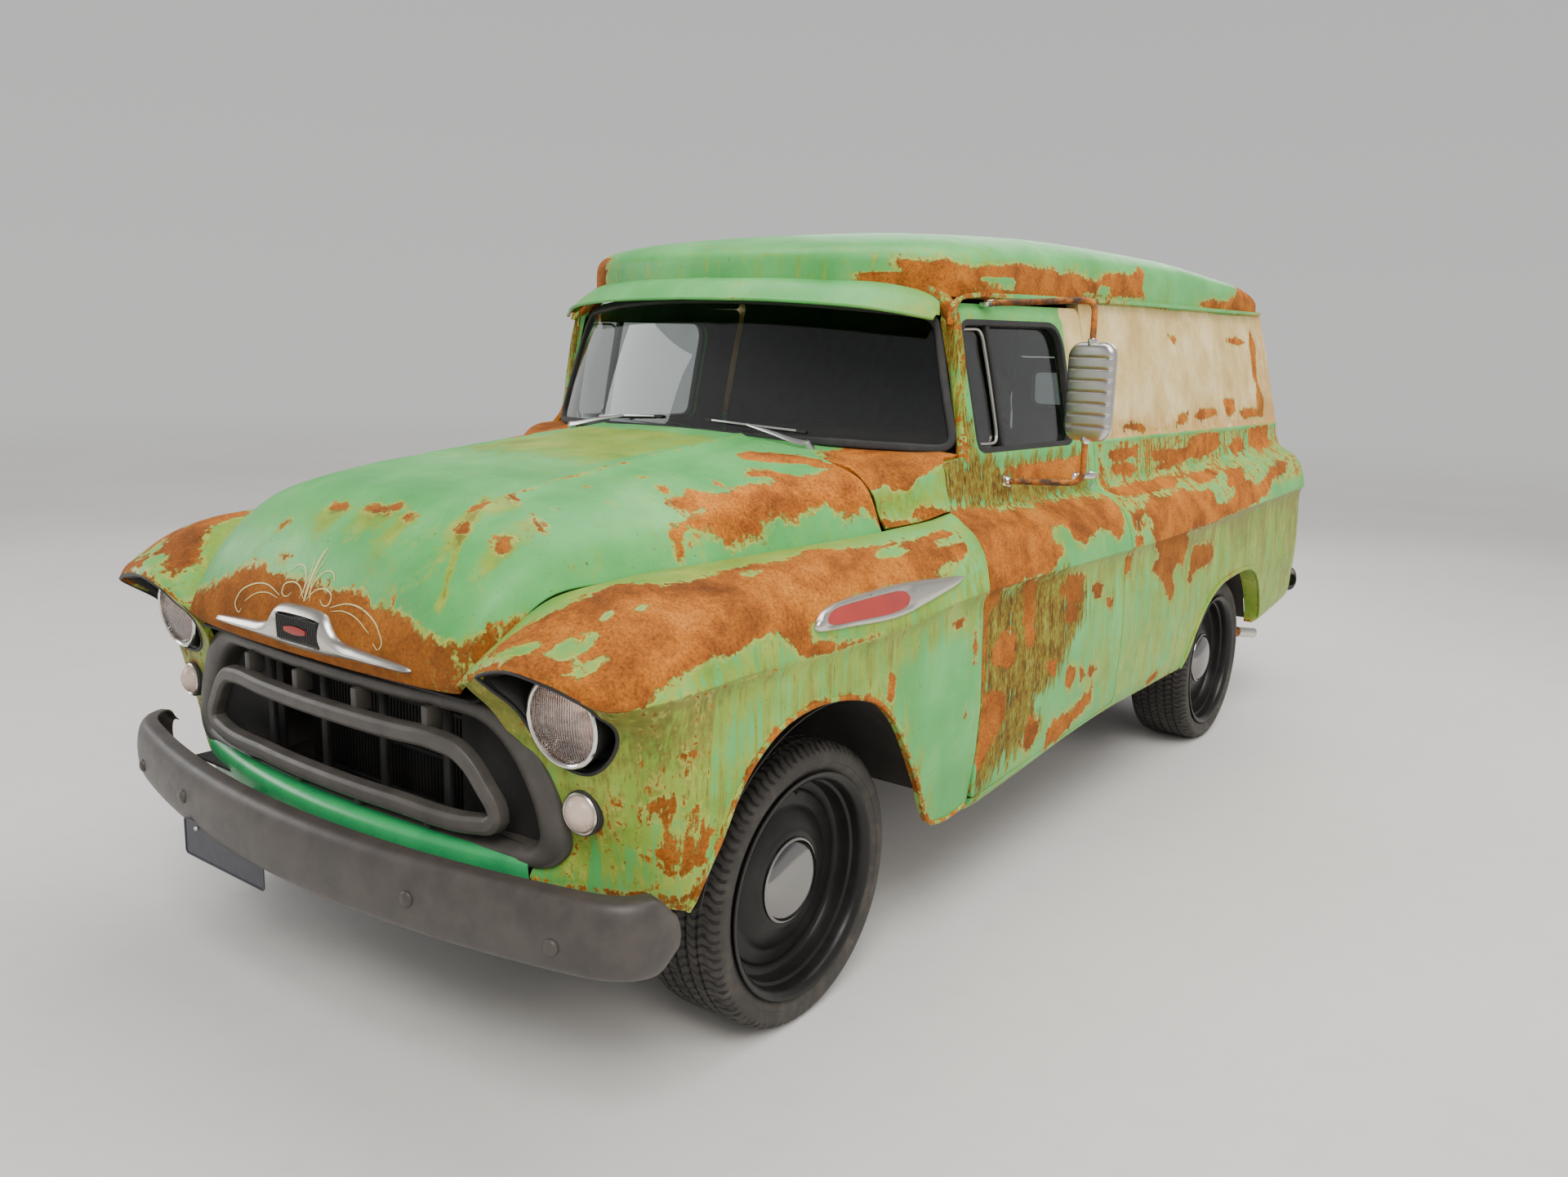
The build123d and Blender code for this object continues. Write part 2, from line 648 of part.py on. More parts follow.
# ---- chassis ------------------------------------------------------------
RAIL_X = 400.0
with BuildPart() as frame_rails:
    for side in (-1, 1):
        with BuildSketch(Plane.YZ.offset(side * RAIL_X - 32)):
            with BuildLine():
                Polyline((-2030, 400), (-1800, 420), (-1650, 470), (-1240, 470), (-1100, 380), (860, 380), (1000, 462),
                         (1880, 462), (2000, 430), (2290, 430), (2290, 526), (1850, 530), (1600, 532), (1200, 532), (1000, 532),
                         (860, 500), (-1100, 500), (-1240, 540), (-1650, 540), (-1800, 530), (-2030, 500), close=True)
            make_face()
        extrude(amount=64)
    for y, z in ((-1960, 420), (-1012, 385), (-300, 468), (560, 440), (1800, 480), (2240, 470)):
        add(block(-RAIL_X, RAIL_X, y - 35, y + 35, z, z + 30))
    # spring hangers
    for side in (-1, 1):
        for y, z0, z1 in ((-1905, 371, 415), (-990, 371, 384), (1030, 444, 466), (1866, 444, 466)):
            add(block(side * RAIL_X - 20, side * RAIL_X + 20, y - 16, y + 16, z0, z1))
save(frame_rails, "frame_rails")

with BuildPart() as engine_block:
    add(block(-200, 200, -1800, -1060, 400, 960))
save(engine_block, "engine_block")

# leaf springs: one pack beside each wheel, arcs along y
SPRING_X = 400.0
with BuildPart() as leaf_springs:
    for yc, zc, half in ((Y_FRONT, 308, 480), (Y_REAR, 384, 440)):
        with BuildSketch(Plane.YZ.offset(SPRING_X - 25)):
            with BuildLine():
                ThreePointArc((yc - half, zc + 42), (yc, zc), (yc + half, zc + 42))
                Line((yc + half, zc + 42), (yc + half, zc + 60))
                ThreePointArc((yc + half, zc + 60), (yc, zc + 42), (yc - half, zc + 60))
                Line((yc - half, zc + 60), (yc - half, zc + 42))
            make_face()
        extrude(amount=50)
    mirror(about=Plane.YZ)
save(leaf_springs, "leaf_springs")

with BuildPart() as front_axle:
    with BuildSketch(Plane.XZ.offset(-(Y_FRONT - 30))):
        with BuildLine():
            Polyline((-640, 345), (-560, 345), (-440, 300), (440, 300), (560, 345), (640, 345), (640, 290), (560, 290), (440, 244), (-440, 244),
                     (-560, 290), (-640, 290), close=True)
        make_face()
    extrude(amount=-60)
    for side in (-1, 1):
        add(block(side * SPRING_X - 34, side * SPRING_X + 34, Y_FRONT - 60, Y_FRONT + 60, 280, 307.5))
        # eye for the king pin
        with BuildSketch(Plane.XY.offset(287)):
            with Locations((side * KING_X, Y_FRONT)):
                Circle(38)
        extrude(amount=60)
        with BuildSketch(Plane.XY.offset(200)):
            with Locations((side * KING_X, Y_FRONT)):
                Circle(20.4)
        extrude(amount=200, mode=Mode.SUBTRACT)
save(front_axle, "front_axle")

# half profile of the axle housing, distance from the centre and radius
with BuildPart() as rear_axle:
    with BuildSketch(Plane.XY):
        with BuildLine():
            Polyline((-724, 0), (-724, 30), (-719, 30), (-719, 130), (-699, 130), (-699, 42), (-150, 42), (-70, 140), (70, 140), (150, 42), (699, 42),
                     (699, 130), (719, 130), (719, 30), (724, 30), (724, 0), close=True)
        make_face()
    revolve(axis=Axis.X)
housing = Pos(0, Y_REAR, HUB_Z) * rear_axle.part
with BuildPart() as rear_axle:
    add(housing)
    for side in (-1, 1):
        add(block(side * SPRING_X - 34, side * SPRING_X + 34, Y_REAR - 60, Y_REAR + 60, HUB_Z, 383.5))
save(rear_axle, "rear_axle")

with BuildPart() as drive_shaft:
    start = Vector(0, -1054, 464)
    end = Vector(0, Y_REAR - 150, HUB_Z + 6)
    with BuildSketch(Plane(origin=start, z_dir=(end - start))):
        Circle(38)
    extrude(amount=(end - start).length)
save(drive_shaft, "drive_shaft")

with BuildPart() as exhaust_pipe:
    with BuildSketch(Plane.XZ.offset(965)):
        with Locations((-290, 400)):
            Circle(24)
    extrude(amount=-1145)
    with BuildSketch(Plane.XZ.offset(-180)):
        with Locations((-270, 372)):
            Ellipse(85, 60)
    extrude(amount=-620)
save(exhaust_pipe, "exhaust_pipe")

with BuildPart() as fuel_tank:
    add(block(-330, 330, 1850, 2260, 300, 400))
save(fuel_tank, "fuel_tank")

# ---- mirror on the driver's door ----------------------------------------
MIRROR = (1020, -430, 1462)
with BuildPart() as mirror_left:
    with BuildSketch(Plane(origin=MIRROR, x_dir=(0.985, -0.174, 0), z_dir=(-0.174, -0.985, 0))):
        RectangleRounded(146, 262, 42)
    extrude(amount=16, both=True)
    for foot, knee, head in (((728, -480, 1694), (1020, -430, 1704), (1020, -430, 1580)),
                             ((809, -470, 1206), (1020, -430, 1214), (1020, -430, 1345))):
        with BuildLine():
            FilletPolyline(foot, knee, head, radius=38)
        with BuildSketch(Plane(origin=foot, z_dir=Vector(*knee) - Vector(*foot))):
            Circle(8.5)
        sweep()
save(mirror_left, "mirror_left")

# ---- knuckles and wheels ------------------------------------------------
with BuildPart() as knuckle_left:
    with BuildSketch(Plane.XY.offset(232)):
        with Locations((KING_X, Y_FRONT)):
            Circle(20)
    extrude(amount=170)
    add(block(KING_X - 26, KING_X + 60, Y_FRONT - 26, Y_FRONT + 26, 353, 397))
    add(block(KING_X - 26, KING_X + 60, Y_FRONT - 26, Y_FRONT + 26, 237, 281))
    with BuildSketch(Plane.YZ.offset(KING_X + 46)):
        with Locations((Y_FRONT, HUB_Z)):
            Circle(130)
    extrude(amount=18)
    with BuildSketch(Plane.YZ.offset(KING_X + 60)):
        with Locations((Y_FRONT, HUB_Z)):
            Circle(30)
    extrude(amount=9)
save(knuckle_left, "knuckle_left")
with BuildPart() as knuckle_right:
    add(mirror(knuckle_left.part, about=Plane.YZ))
save(knuckle_right, "knuckle_right")

# wheel sections are turned about the axle: distance from the centre plane, radius
with BuildPart() as tyre:
    with BuildSketch(Plane.XY):
        with BuildLine():
            Polyline((-97, RIM_R - 14), (-98, RIM_R + 4), (-TYRE_W / 2, RIM_R + 30), (-TYRE_W / 2 + 8, TYRE_R - 22), (-TYRE_W / 2 + 30, TYRE_R),
                     (TYRE_W / 2 - 30, TYRE_R), (TYRE_W / 2 - 8, TYRE_R - 22), (TYRE_W / 2, RIM_R + 30), (98, RIM_R + 4), (97, RIM_R - 14), close=True)
        make_face()
    revolve(axis=Axis.X)
with BuildPart() as rim:
    with BuildSketch(Plane.XY):
        with BuildLine():
            # barrel, then the dished disc and the round cap on its nose
            Polyline((-99, RIM_R - 15), (99, RIM_R - 15), (104, RIM_R), (112, RIM_R), (112, RIM_R - 8), (104, RIM_R - 26), (70, 236), (20, 228), (24, 150),
                     (62, 128), (66, 104), (86, 60), (91, 0), (-20, 0), (-20, 120), (-6, 216), (-92, 236), (-99, RIM_R - 26), close=True)
        make_face()
    revolve(axis=Axis.X)

# rows: name, side, y, hub stub length inward
WHEELS = [
    ("front_left", 1, Y_FRONT),
    ("front_right", -1, Y_FRONT),
    ("rear_left", 1, Y_REAR),
    ("rear_right", -1, Y_REAR),
]
for name, side, y in WHEELS:
    turn = Rotation(0, 0, 0) if side > 0 else Rotation(0, 0, 180)
    place = Pos(side * WHEEL_X, y, HUB_Z) * turn
    with BuildPart() as wheel_tyre:
        add(place * tyre.part)
    save(wheel_tyre, "tyre_" + name)
    with BuildPart() as wheel_rim:
        add(place * rim.part)
    save(wheel_rim, "wheel_" + name)
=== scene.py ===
import json
import math

import bmesh
import bpy
import numpy as np
from mathutils import Matrix, Vector
from mathutils.geometry import delaunay_2d_cdt

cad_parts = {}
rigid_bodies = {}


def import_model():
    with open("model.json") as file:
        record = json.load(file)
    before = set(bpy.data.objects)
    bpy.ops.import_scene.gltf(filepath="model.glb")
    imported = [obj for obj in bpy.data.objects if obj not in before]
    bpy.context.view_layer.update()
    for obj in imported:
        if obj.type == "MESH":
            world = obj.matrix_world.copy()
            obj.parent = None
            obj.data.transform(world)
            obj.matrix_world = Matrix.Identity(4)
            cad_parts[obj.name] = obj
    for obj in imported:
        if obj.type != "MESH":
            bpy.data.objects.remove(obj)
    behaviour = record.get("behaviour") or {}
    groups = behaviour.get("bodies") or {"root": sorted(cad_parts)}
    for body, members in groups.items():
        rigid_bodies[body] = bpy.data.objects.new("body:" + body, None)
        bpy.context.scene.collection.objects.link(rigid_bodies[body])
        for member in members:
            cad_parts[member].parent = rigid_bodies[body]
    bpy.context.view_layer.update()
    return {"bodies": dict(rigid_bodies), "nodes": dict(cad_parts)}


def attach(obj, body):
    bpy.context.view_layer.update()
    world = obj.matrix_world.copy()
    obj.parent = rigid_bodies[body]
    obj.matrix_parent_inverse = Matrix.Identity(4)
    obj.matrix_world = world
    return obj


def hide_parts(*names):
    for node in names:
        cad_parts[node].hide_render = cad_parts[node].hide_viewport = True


# Weathered panel van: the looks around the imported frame. Metres; +X is the vehicle's left, the front faces -Y, +Z up.

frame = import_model()
scene = bpy.context.scene

# ---------------------------------------------------------------- camera
cam_data = bpy.data.cameras.new("camera")
cam_data.lens = 28.02
cam_data.sensor_width = 36.0
cam_data.sensor_fit = "HORIZONTAL"
cam_data.clip_end = 200.0
camera = bpy.data.objects.new("camera", cam_data)
scene.collection.objects.link(camera)
RIGHT = Vector((0.80045978, 0.59867454, 0.02920491))
DOWN = Vector((0.13632424, -0.13439234, -0.98150619))
AHEAD = Vector((-0.58367786, 0.78963757, -0.18918952))
turn = Matrix((RIGHT, -DOWN, -AHEAD)).transposed().to_4x4()
camera.matrix_world = Matrix.Translation((2.363, -3.611, 1.541)) @ turn
scene.camera = camera


# ---------------------------------------------------------------- curve and surface helpers
def cr(K, t):
    """Indices and weights of a smooth curve through knots K, at t."""
    K = np.asarray(K, float)
    t = np.asarray(t, float)
    n = len(K)
    i = np.clip(np.searchsorted(K, t, side="right") - 1, 0, n - 2)
    h = K[i + 1] - K[i]
    s = (t - K[i]) / h
    h00, h10 = 2 * s**3 - 3 * s**2 + 1, s**3 - 2 * s**2 + s
    h01, h11 = -2 * s**3 + 3 * s**2, s**3 - s**2
    im, ip = np.clip(i - 1, 0, n - 1), np.clip(i + 2, 0, n - 1)
    first, last = i == 0, i == n - 2
    hm = np.where(first, 1.0, K[i] - K[im])
    hp = np.where(last, 1.0, K[ip] - K[i + 1])
    a0 = np.where(first, 0.0, -h / (hm * (hm + h)))
    c0 = np.where(first, 1.0 / h, hm / (h * (hm + h)))
    b0 = -a0 - c0
    a1 = np.where(last, -1.0 / h, -hp / (h * (h + hp)))
    c1 = np.where(last, 0.0, h / (hp * (h + hp)))
    b1 = -a1 - c1
    w = np.stack([h10 * h * a0, h00 + h10 * h * b0 + h11 * h * a1, h01 + h10 * h * c0 + h11 * h * b1, h11 * h * c1], -1)
    return np.stack([im, i, i + 1, ip], -1), w


def curve(K, P, t):
    """Smooth curve through points P (any trailing shape) at knots K."""
    idx, w = cr(K, t)
    P = np.asarray(P, float)
    return np.einsum("nk,nk...->n...", w, P[idx])


def tab(rows, col, y):
    """One column of a table whose first column is the place, smooth between rows."""
    rows = np.asarray([[float(a) for a in r] for r in rows])
    y = np.atleast_1d(np.asarray(y, float))
    return curve(rows[:, 0], rows[:, col], np.clip(y, rows[0, 0], rows[-1, 0]))


def through(points, step=0.02, closed=False):
    """Evenly spaced points on a smooth curve through the given ones."""
    P = np.asarray(points, float)
    if closed:
        P = np.concatenate([P[-2:], P, P[:3]])
    K = np.concatenate([[0], np.cumsum(np.maximum(1e-6, np.linalg.norm(np.diff(P, axis=0), axis=1)))])
    if closed:
        a, b = K[2], K[-3]
        n = max(8, int(round((b - a) / step)))
        return curve(K, P, a + (b - a) * np.arange(n) / n)
    n = max(3, int(round(K[-1] / step)) + 1)
    return curve(K, P, np.linspace(0, K[-1], n))


class Sheet:
    """A smooth surface through a grid of points C[u, v], with knots U and V."""

    def __init__(self, C, U=None, V=None):
        self.C = np.asarray(C, float)
        if U is None:
            d = np.linalg.norm(np.diff(self.C, axis=0), axis=2).mean(1)
            U = np.concatenate([[0], np.cumsum(d)])
        if V is None:
            d = np.linalg.norm(np.diff(self.C, axis=1), axis=2).mean(0)
            V = np.concatenate([[0], np.cumsum(d)])
        self.U, self.V = np.asarray(U, float), np.asarray(V, float)

    def __call__(self, u, v):
        u, v = np.broadcast_arrays(np.atleast_1d(np.asarray(u, float)), np.atleast_1d(np.asarray(v, float)))
        iu, wu = cr(self.U, np.clip(u, self.U[0], self.U[-1]))
        iv, wv = cr(self.V, np.clip(v, self.V[0], self.V[-1]))
        return np.einsum("ni,nj,nijk->nk", wu, wv, self.C[iu[:, :, None], iv[:, None, :]])


def normals(S, u, v, flip=False):
    e = 4e-4
    du = S(u + e, v) - S(u - e, v)
    dv = S(u, v + e) - S(u, v - e)
    n = np.cross(du, dv)
    n /= np.maximum(1e-12, np.linalg.norm(n, axis=1))[:, None]
    return -n if flip else n


def solve(S, targets, axes, u0, v0, lo=None, hi=None):
    """(u, v) where two coordinates of S equal the targets."""
    u, v = np.array(u0, float), np.array(v0, float)
    T = np.asarray(targets, float)
    e = 1e-4
    for _ in range(16):
        p = S(u, v)[:, axes]
        ju = (S(u + e, v)[:, axes] - S(u - e, v)[:, axes]) / (2 * e)
        jv = (S(u, v + e)[:, axes] - S(u, v - e)[:, axes]) / (2 * e)
        r = T - p
        det = ju[:, 0] * jv[:, 1] - ju[:, 1] * jv[:, 0]
        det = np.where(np.abs(det) < 1e-6, 1e-6, det)
        su = np.clip((r[:, 0] * jv[:, 1] - r[:, 1] * jv[:, 0]) / det, -0.05, 0.05)
        sv = np.clip((ju[:, 0] * r[:, 1] - ju[:, 1] * r[:, 0]) / det, -0.05, 0.05)
        u, v = u + su, v + sv
        if lo is not None:
            u, v = np.clip(u, lo[0], hi[0]), np.clip(v, lo[1], hi[1])
    return np.stack([u, v], 1)


def start_near(S, targets, axes, ulim=None, vlim=None, n=90):
    """A coarse first guess for solve()."""
    ua, ub = ulim or (S.U[0], S.U[-1])
    va, vb = vlim or (S.V[0], S.V[-1])
    gu, gv = np.meshgrid(np.linspace(ua, ub, n), np.linspace(va, vb, n), indexing="ij")
    gu, gv = gu.ravel(), gv.ravel()
    p = S(gu, gv)[:, axes]
    T = np.asarray(targets, float)
    k = np.concatenate([np.argmin(((p[None, :, :] - T[i:i + 200, None, :]) ** 2).sum(2), 1) for i in range(0, len(T), 200)])
    return gu[k], gv[k]


def on_sheet(S, targets, axes, ulim=None, vlim=None):
    ua, ub = ulim or (S.U[0], S.U[-1])
    va, vb = vlim or (S.V[0], S.V[-1])
    u0, v0 = start_near(S, targets, axes, ulim, vlim)
    return solve(S, targets, axes, u0, v0, (ua, va), (ub, vb))


def fillet(points, r, seg=6):
    """A closed 2-D outline with its corners rounded; r is one radius or one for each corner."""
    P = np.asarray(points, float)
    n = len(P)
    rr = np.broadcast_to(np.asarray(r, float), (n,))
    out = []
    for i in range(n):
        a, b, c = P[i - 1], P[i], P[(i + 1) % n]
        d0, d1 = a - b, c - b
        l0, l1 = np.linalg.norm(d0), np.linalg.norm(d1)
        d0, d1 = d0 / l0, d1 / l1
        ang = math.acos(np.clip(d0 @ d1, -1, 1))
        if rr[i] <= 0 or ang > math.pi - 0.03:
            out.append(b)
            continue
        cut = min(rr[i] / math.tan(ang / 2), 0.49 * l0, 0.49 * l1)
        for k in range(seg + 1):
            s = k / seg
            out.append((1 - s) ** 2 * (b + d0 * cut) + 2 * s * (1 - s) * b + s * s * (b + d1 * cut))
    return np.array(out)


def refine(loop, step, closed=True):
    """More points on a 2-D or 3-D polyline, none further apart than step, corners kept."""
    P = np.asarray(loop, float)
    out = []
    n = len(P)
    for i in range(n if closed else n - 1):
        a, b = P[i], P[(i + 1) % n]
        m = max(1, int(math.ceil(np.linalg.norm(b - a) / step)))
        for k in range(m):
            out.append(a + (b - a) * k / m)
    if not closed:
        out.append(P[-1])
    out = np.array(out)
    keep = [0]
    for i in range(1, len(out)):
        if np.linalg.norm(out[i] - out[keep[-1]]) > 0.12 * step:
            keep.append(i)
    out = out[keep]
    if closed and np.linalg.norm(out[0] - out[-1]) < 0.12 * step:
        out = out[:-1]
    return out


def lines(K, step):
    """Grid lines through every knot, none further apart than step."""
    out = []
    for a, b in zip(K[:-1], K[1:]):
        m = max(1, int(math.ceil((b - a) / step - 1e-6)))
        out += [a + (b - a) * k / m for k in range(m)]
    return np.array(out + [K[-1]])


def inside(poly, pts):
    x, y = pts[:, 0], pts[:, 1]
    c = np.zeros(len(pts), bool)
    n = len(poly)
    for i in range(n):
        x0, y0 = poly[i - 1]
        x1, y1 = poly[i]
        if y0 == y1:
            continue
        hit = (y0 > y) != (y1 > y)
        c ^= hit & (x < (x1 - x0) * (y - y0) / (y1 - y0) + x0)
    return c


def near(poly, pts, d):
    """Which points lie closer than d to the outline."""
    c = np.zeros(len(pts), bool)
    A = np.asarray(poly)
    B = np.roll(A, -1, 0)
    for a, b in zip(A, B):
        lo, hi = np.minimum(a, b) - d, np.maximum(a, b) + d
        k = np.where((pts[:, 0] > lo[0]) & (pts[:, 0] < hi[0]) & (pts[:, 1] > lo[1]) & (pts[:, 1] < hi[1]) & ~c)[0]
        if not len(k):
            continue
        ab = b - a
        t = np.clip(((pts[k] - a) @ ab) / max(1e-12, ab @ ab), 0, 1)
        c[k] |= np.linalg.norm(pts[k] - a - t[:, None] * ab, axis=1) < d
    return c


def patch(outline, holes, us, vs, clear):
    """Fills an outline with holes: points in (u, v), triangles, and the outline's own index rings."""
    loops = [np.asarray(outline)] + [np.asarray(h) for h in holes]
    gu, gv = np.meshgrid(us, vs, indexing="ij")
    G = np.stack([gu.ravel(), gv.ravel()], 1)
    G = G[inside(loops[0], G)]
    G = G[~near(loops[0], G, clear)]
    for h in loops[1:]:
        G = G[~inside(h, G)]
        G = G[~near(h, G, clear)]
    verts, edges = [], []
    for L in loops:
        n0 = len(verts)
        verts += [Vector((float(a), float(b))) for a, b in L]
        edges += [(n0 + k, n0 + (k + 1) % len(L)) for k in range(len(L))]
    nring = len(verts)
    verts += [Vector((float(a), float(b))) for a, b in G]
    vo, eo, fo, ov, _, _ = delaunay_2d_cdt(verts, edges, [], 0, 1e-7, True)
    uv = np.array([(v.x, v.y) for v in vo])
    back = {}
    for i, src in enumerate(ov):
        for s in src:
            back[s] = i
    tris = np.array([f for f in fo if len(f) == 3], int)
    cen = uv[tris].mean(1)
    ok = inside(loops[0], cen)
    for h in loops[1:]:
        ok &= ~inside(h, cen)
    tris = tris[ok]
    a, b, c = uv[tris[:, 0]], uv[tris[:, 1]], uv[tris[:, 2]]
    area = (b[:, 0] - a[:, 0]) * (c[:, 1] - a[:, 1]) - (b[:, 1] - a[:, 1]) * (c[:, 0] - a[:, 0])
    tris[area < 0] = tris[area < 0][:, ::-1]
    tris = tris[np.abs(area) > 1e-12]
    rings, n0 = [], 0
    for L in loops:
        ring = []
        for k in range(len(L)):
            j = back[n0 + k]
            if not ring or ring[-1] != j:
                ring.append(j)
        if len(ring) > 1 and ring[0] == ring[-1]:
            ring.pop()
        rings.append(np.array(ring))
        n0 += len(L)
    return uv, tris, rings


def panel(S, outline, holes=(), du=0.02, dv=0.014, us=None, vs=None, Sin=None, thick=0.002, hem=0.003, flange=0.014,
          flip=False, open_at=None, lift=None, inner_flange=0.0):
    """A pressed sheet-metal panel: the surface inside the outline, its edges rolled over and turned in, and its back."""
    us = lines(S.U, du) if us is None else us
    vs = lines(S.V, dv) if vs is None else vs
    uv, tris, rings = patch(outline, holes, us, vs, 0.38 * min(du, dv))
    P = S(uv[:, 0], uv[:, 1])
    N = normals(S, uv[:, 0], uv[:, 1], flip)
    if lift is not None:
        P = P + N * lift(uv, P)[:, None]
    Q = Sin(uv[:, 0], uv[:, 1]) if Sin is not None else P - N * thick
    n = len(P)
    verts = [P, Q]
    faces = [tuple(t) for t in tris] + [tuple(t[::-1] + n) for t in tris]
    total = 2 * n
    for li, ring in enumerate(rings):
        R, NR = P[ring], N[ring]
        T = np.roll(R, -1, 0) - np.roll(R, 1, 0)
        T /= np.maximum(1e-9, np.linalg.norm(T, axis=1))[:, None]
        B = np.cross(NR, T)
        L2 = uv[ring]
        t2 = np.roll(L2, -1, 0) - np.roll(L2, 1, 0)
        area = 0.5 * np.sum(L2[:, 0] * np.roll(L2[:, 1], -1) - np.roll(L2[:, 0], -1) * L2[:, 1])
        o2 = np.stack([t2[:, 1], -t2[:, 0]], 1) * (1 if (area > 0) == (li == 0) else -1)
        o2 /= np.maximum(1e-9, np.linalg.norm(o2, axis=1))[:, None]
        e = 1e-3
        step = S(L2[:, 0] + e * o2[:, 0], L2[:, 1] + e * o2[:, 1]) - S(L2[:, 0] - e * o2[:, 0], L2[:, 1] - e * o2[:, 1])
        B *= np.where((B * step).sum(1) < 0, -1.0, 1.0)[:, None]
        seq = []
        for a in (30, 60, 90):
            a = math.radians(a)
            seq.append(R + B * hem * math.sin(a) - NR * hem * (1 - math.cos(a)))
        if Sin is None:
            seq.append(R + B * hem - NR * (hem + flange))
            if inner_flange:
                seq.append(R - B * inner_flange - NR * (hem + flange))
                seq.append(R - B * inner_flange - NR * (hem + flange - thick))
            seq.append(R + B * (hem - thick) - NR * (hem + flange - (thick if inner_flange else 0)))
            seq.append(R + B * (hem - thick) - NR * (hem + thick * 0.5))
        skip = np.zeros(len(ring), bool)
        if open_at is not None:
            flag = open_at(L2, R)
            skip = flag & np.roll(flag, -1)
            for s in seq:
                s[flag, 0] = R[flag, 0]
        ids = [ring]
        for s in seq:
            verts.append(s)
            ids.append(total + np.arange(len(ring)))
            total += len(ring)
        ids.append(ring + n)
        for a, b in zip(ids[:-1], ids[1:]):
            for k in range(len(ring)):
                if skip[k]:
                    continue
                k2 = (k + 1) % len(ring)
                faces.append((a[k], a[k2], b[k2], b[k]))
    return np.concatenate(verts), faces


def grid_faces(n, m, wrap_n=False, wrap_m=False, base=0):
    out = []
    for i in range(n if wrap_n else n - 1):
        for j in range(m if wrap_m else m - 1):
            i2, j2 = (i + 1) % n, (j + 1) % m
            out.append((base + i * m + j, base + i * m + j2, base + i2 * m + j2, base + i2 * m + j))
    return out


def frames(P, closed=False, up=None):
    """Tangent, side and up at each point of a path; up is a hint, one vector or one for each point."""
    P = np.asarray(P, float)
    if closed:
        T = np.roll(P, -1, 0) - np.roll(P, 1, 0)
    else:
        T = np.gradient(P, axis=0)
    T /= np.maximum(1e-12, np.linalg.norm(T, axis=1))[:, None]
    n = len(P)
    if up is None:
        u = np.array([0.0, 0.0, 1.0]) if abs(T[0] @ np.array([0, 0, 1.0])) < 0.9 else np.array([1.0, 0.0, 0.0])
        U = []
        for t in T:
            u = u - t * (u @ t)
            u = u / np.linalg.norm(u)
            U.append(u)
        U = np.array(U)
    else:
        U = np.broadcast_to(np.asarray(up, float), (n, 3)).copy()
        U -= T * (U * T).sum(1)[:, None]
        U /= np.maximum(1e-12, np.linalg.norm(U, axis=1))[:, None]
    S = np.cross(T, U)
    return T, S, U


def sweep(P, section, closed=False, up=None, scale=None, caps=True):
    """A section (side, up) carried along a path."""
    P = np.asarray(P, float)
    T, S, U = frames(P, closed, up)
    sec = np.asarray(section, float)
    n, m = len(P), len(sec)
    sc = np.ones((n, 2)) if scale is None else np.asarray(scale, float).reshape(n, -1) * np.ones((n, 2))
    V = P[:, None, :] + sec[None, :, 0, None] * sc[:, None, 0, None] * S[:, None, :] + sec[None, :, 1, None] * sc[:, None, 1, None] * U[:, None, :]
    F = grid_faces(n, m, closed, True)
    V = V.reshape(-1, 3)
    if caps and not closed:
        F.append(tuple(range(m))[::-1])
        F.append(tuple((n - 1) * m + k for k in range(m)))
    return V, F


def circle(r, n=12, ry=None):
    a = np.linspace(0, 2 * math.pi, n, endpoint=False)
    return np.stack([r * np.cos(a), (ry or r) * np.sin(a)], 1)


def rounded(w, h, r, seg=4):
    """A rounded rectangle section, centred."""
    return fillet([(-w / 2, -h / 2), (w / 2, -h / 2), (w / 2, h / 2), (-w / 2, h / 2)], r, seg)


def lathe(profile, centre, axis, n=64, wobble=None):
    """A profile of (distance along the axis, radius), turned about the axis."""
    A = np.asarray(axis, float)
    A /= np.linalg.norm(A)
    h = np.array([0, 0, 1.0]) if abs(A[2]) < 0.9 else np.array([1.0, 0, 0])
    X = np.cross(A, h)
    X /= np.linalg.norm(X)
    Y = np.cross(A, X)
    pr = np.asarray(profile, float)
    a = np.linspace(0, 2 * math.pi, n, endpoint=False)
    ring = np.cos(a)[:, None] * X + np.sin(a)[:, None] * Y
    V = np.asarray(centre, float) + pr[None, :, 0, None] * A + pr[None, :, 1, None] * ring[:, None, :]
    F = grid_faces(n, len(pr), True, False)
    return V.reshape(-1, 3), F


def spin(profile, centre, axis, n=64):
    """A closed profile (a loop) turned about the axis."""
    V, _ = lathe(profile, centre, axis, n)
    return V, grid_faces(n, len(profile), True, True)


def flip_x(part):
    V, F = part
    V = np.array(V, float)
    V[:, 0] *= -1
    return V, [tuple(f[::-1]) for f in F]


def merge(*parts):
    V, F, n = [], [], 0
    for v, f in parts:
        v = np.asarray(v, float).reshape(-1, 3)
        V.append(v)
        F += [tuple(int(i) + n for i in face) for face in f]
        n += len(v)
    return np.concatenate(V), F


def both(part):
    return merge(part, flip_x(part))


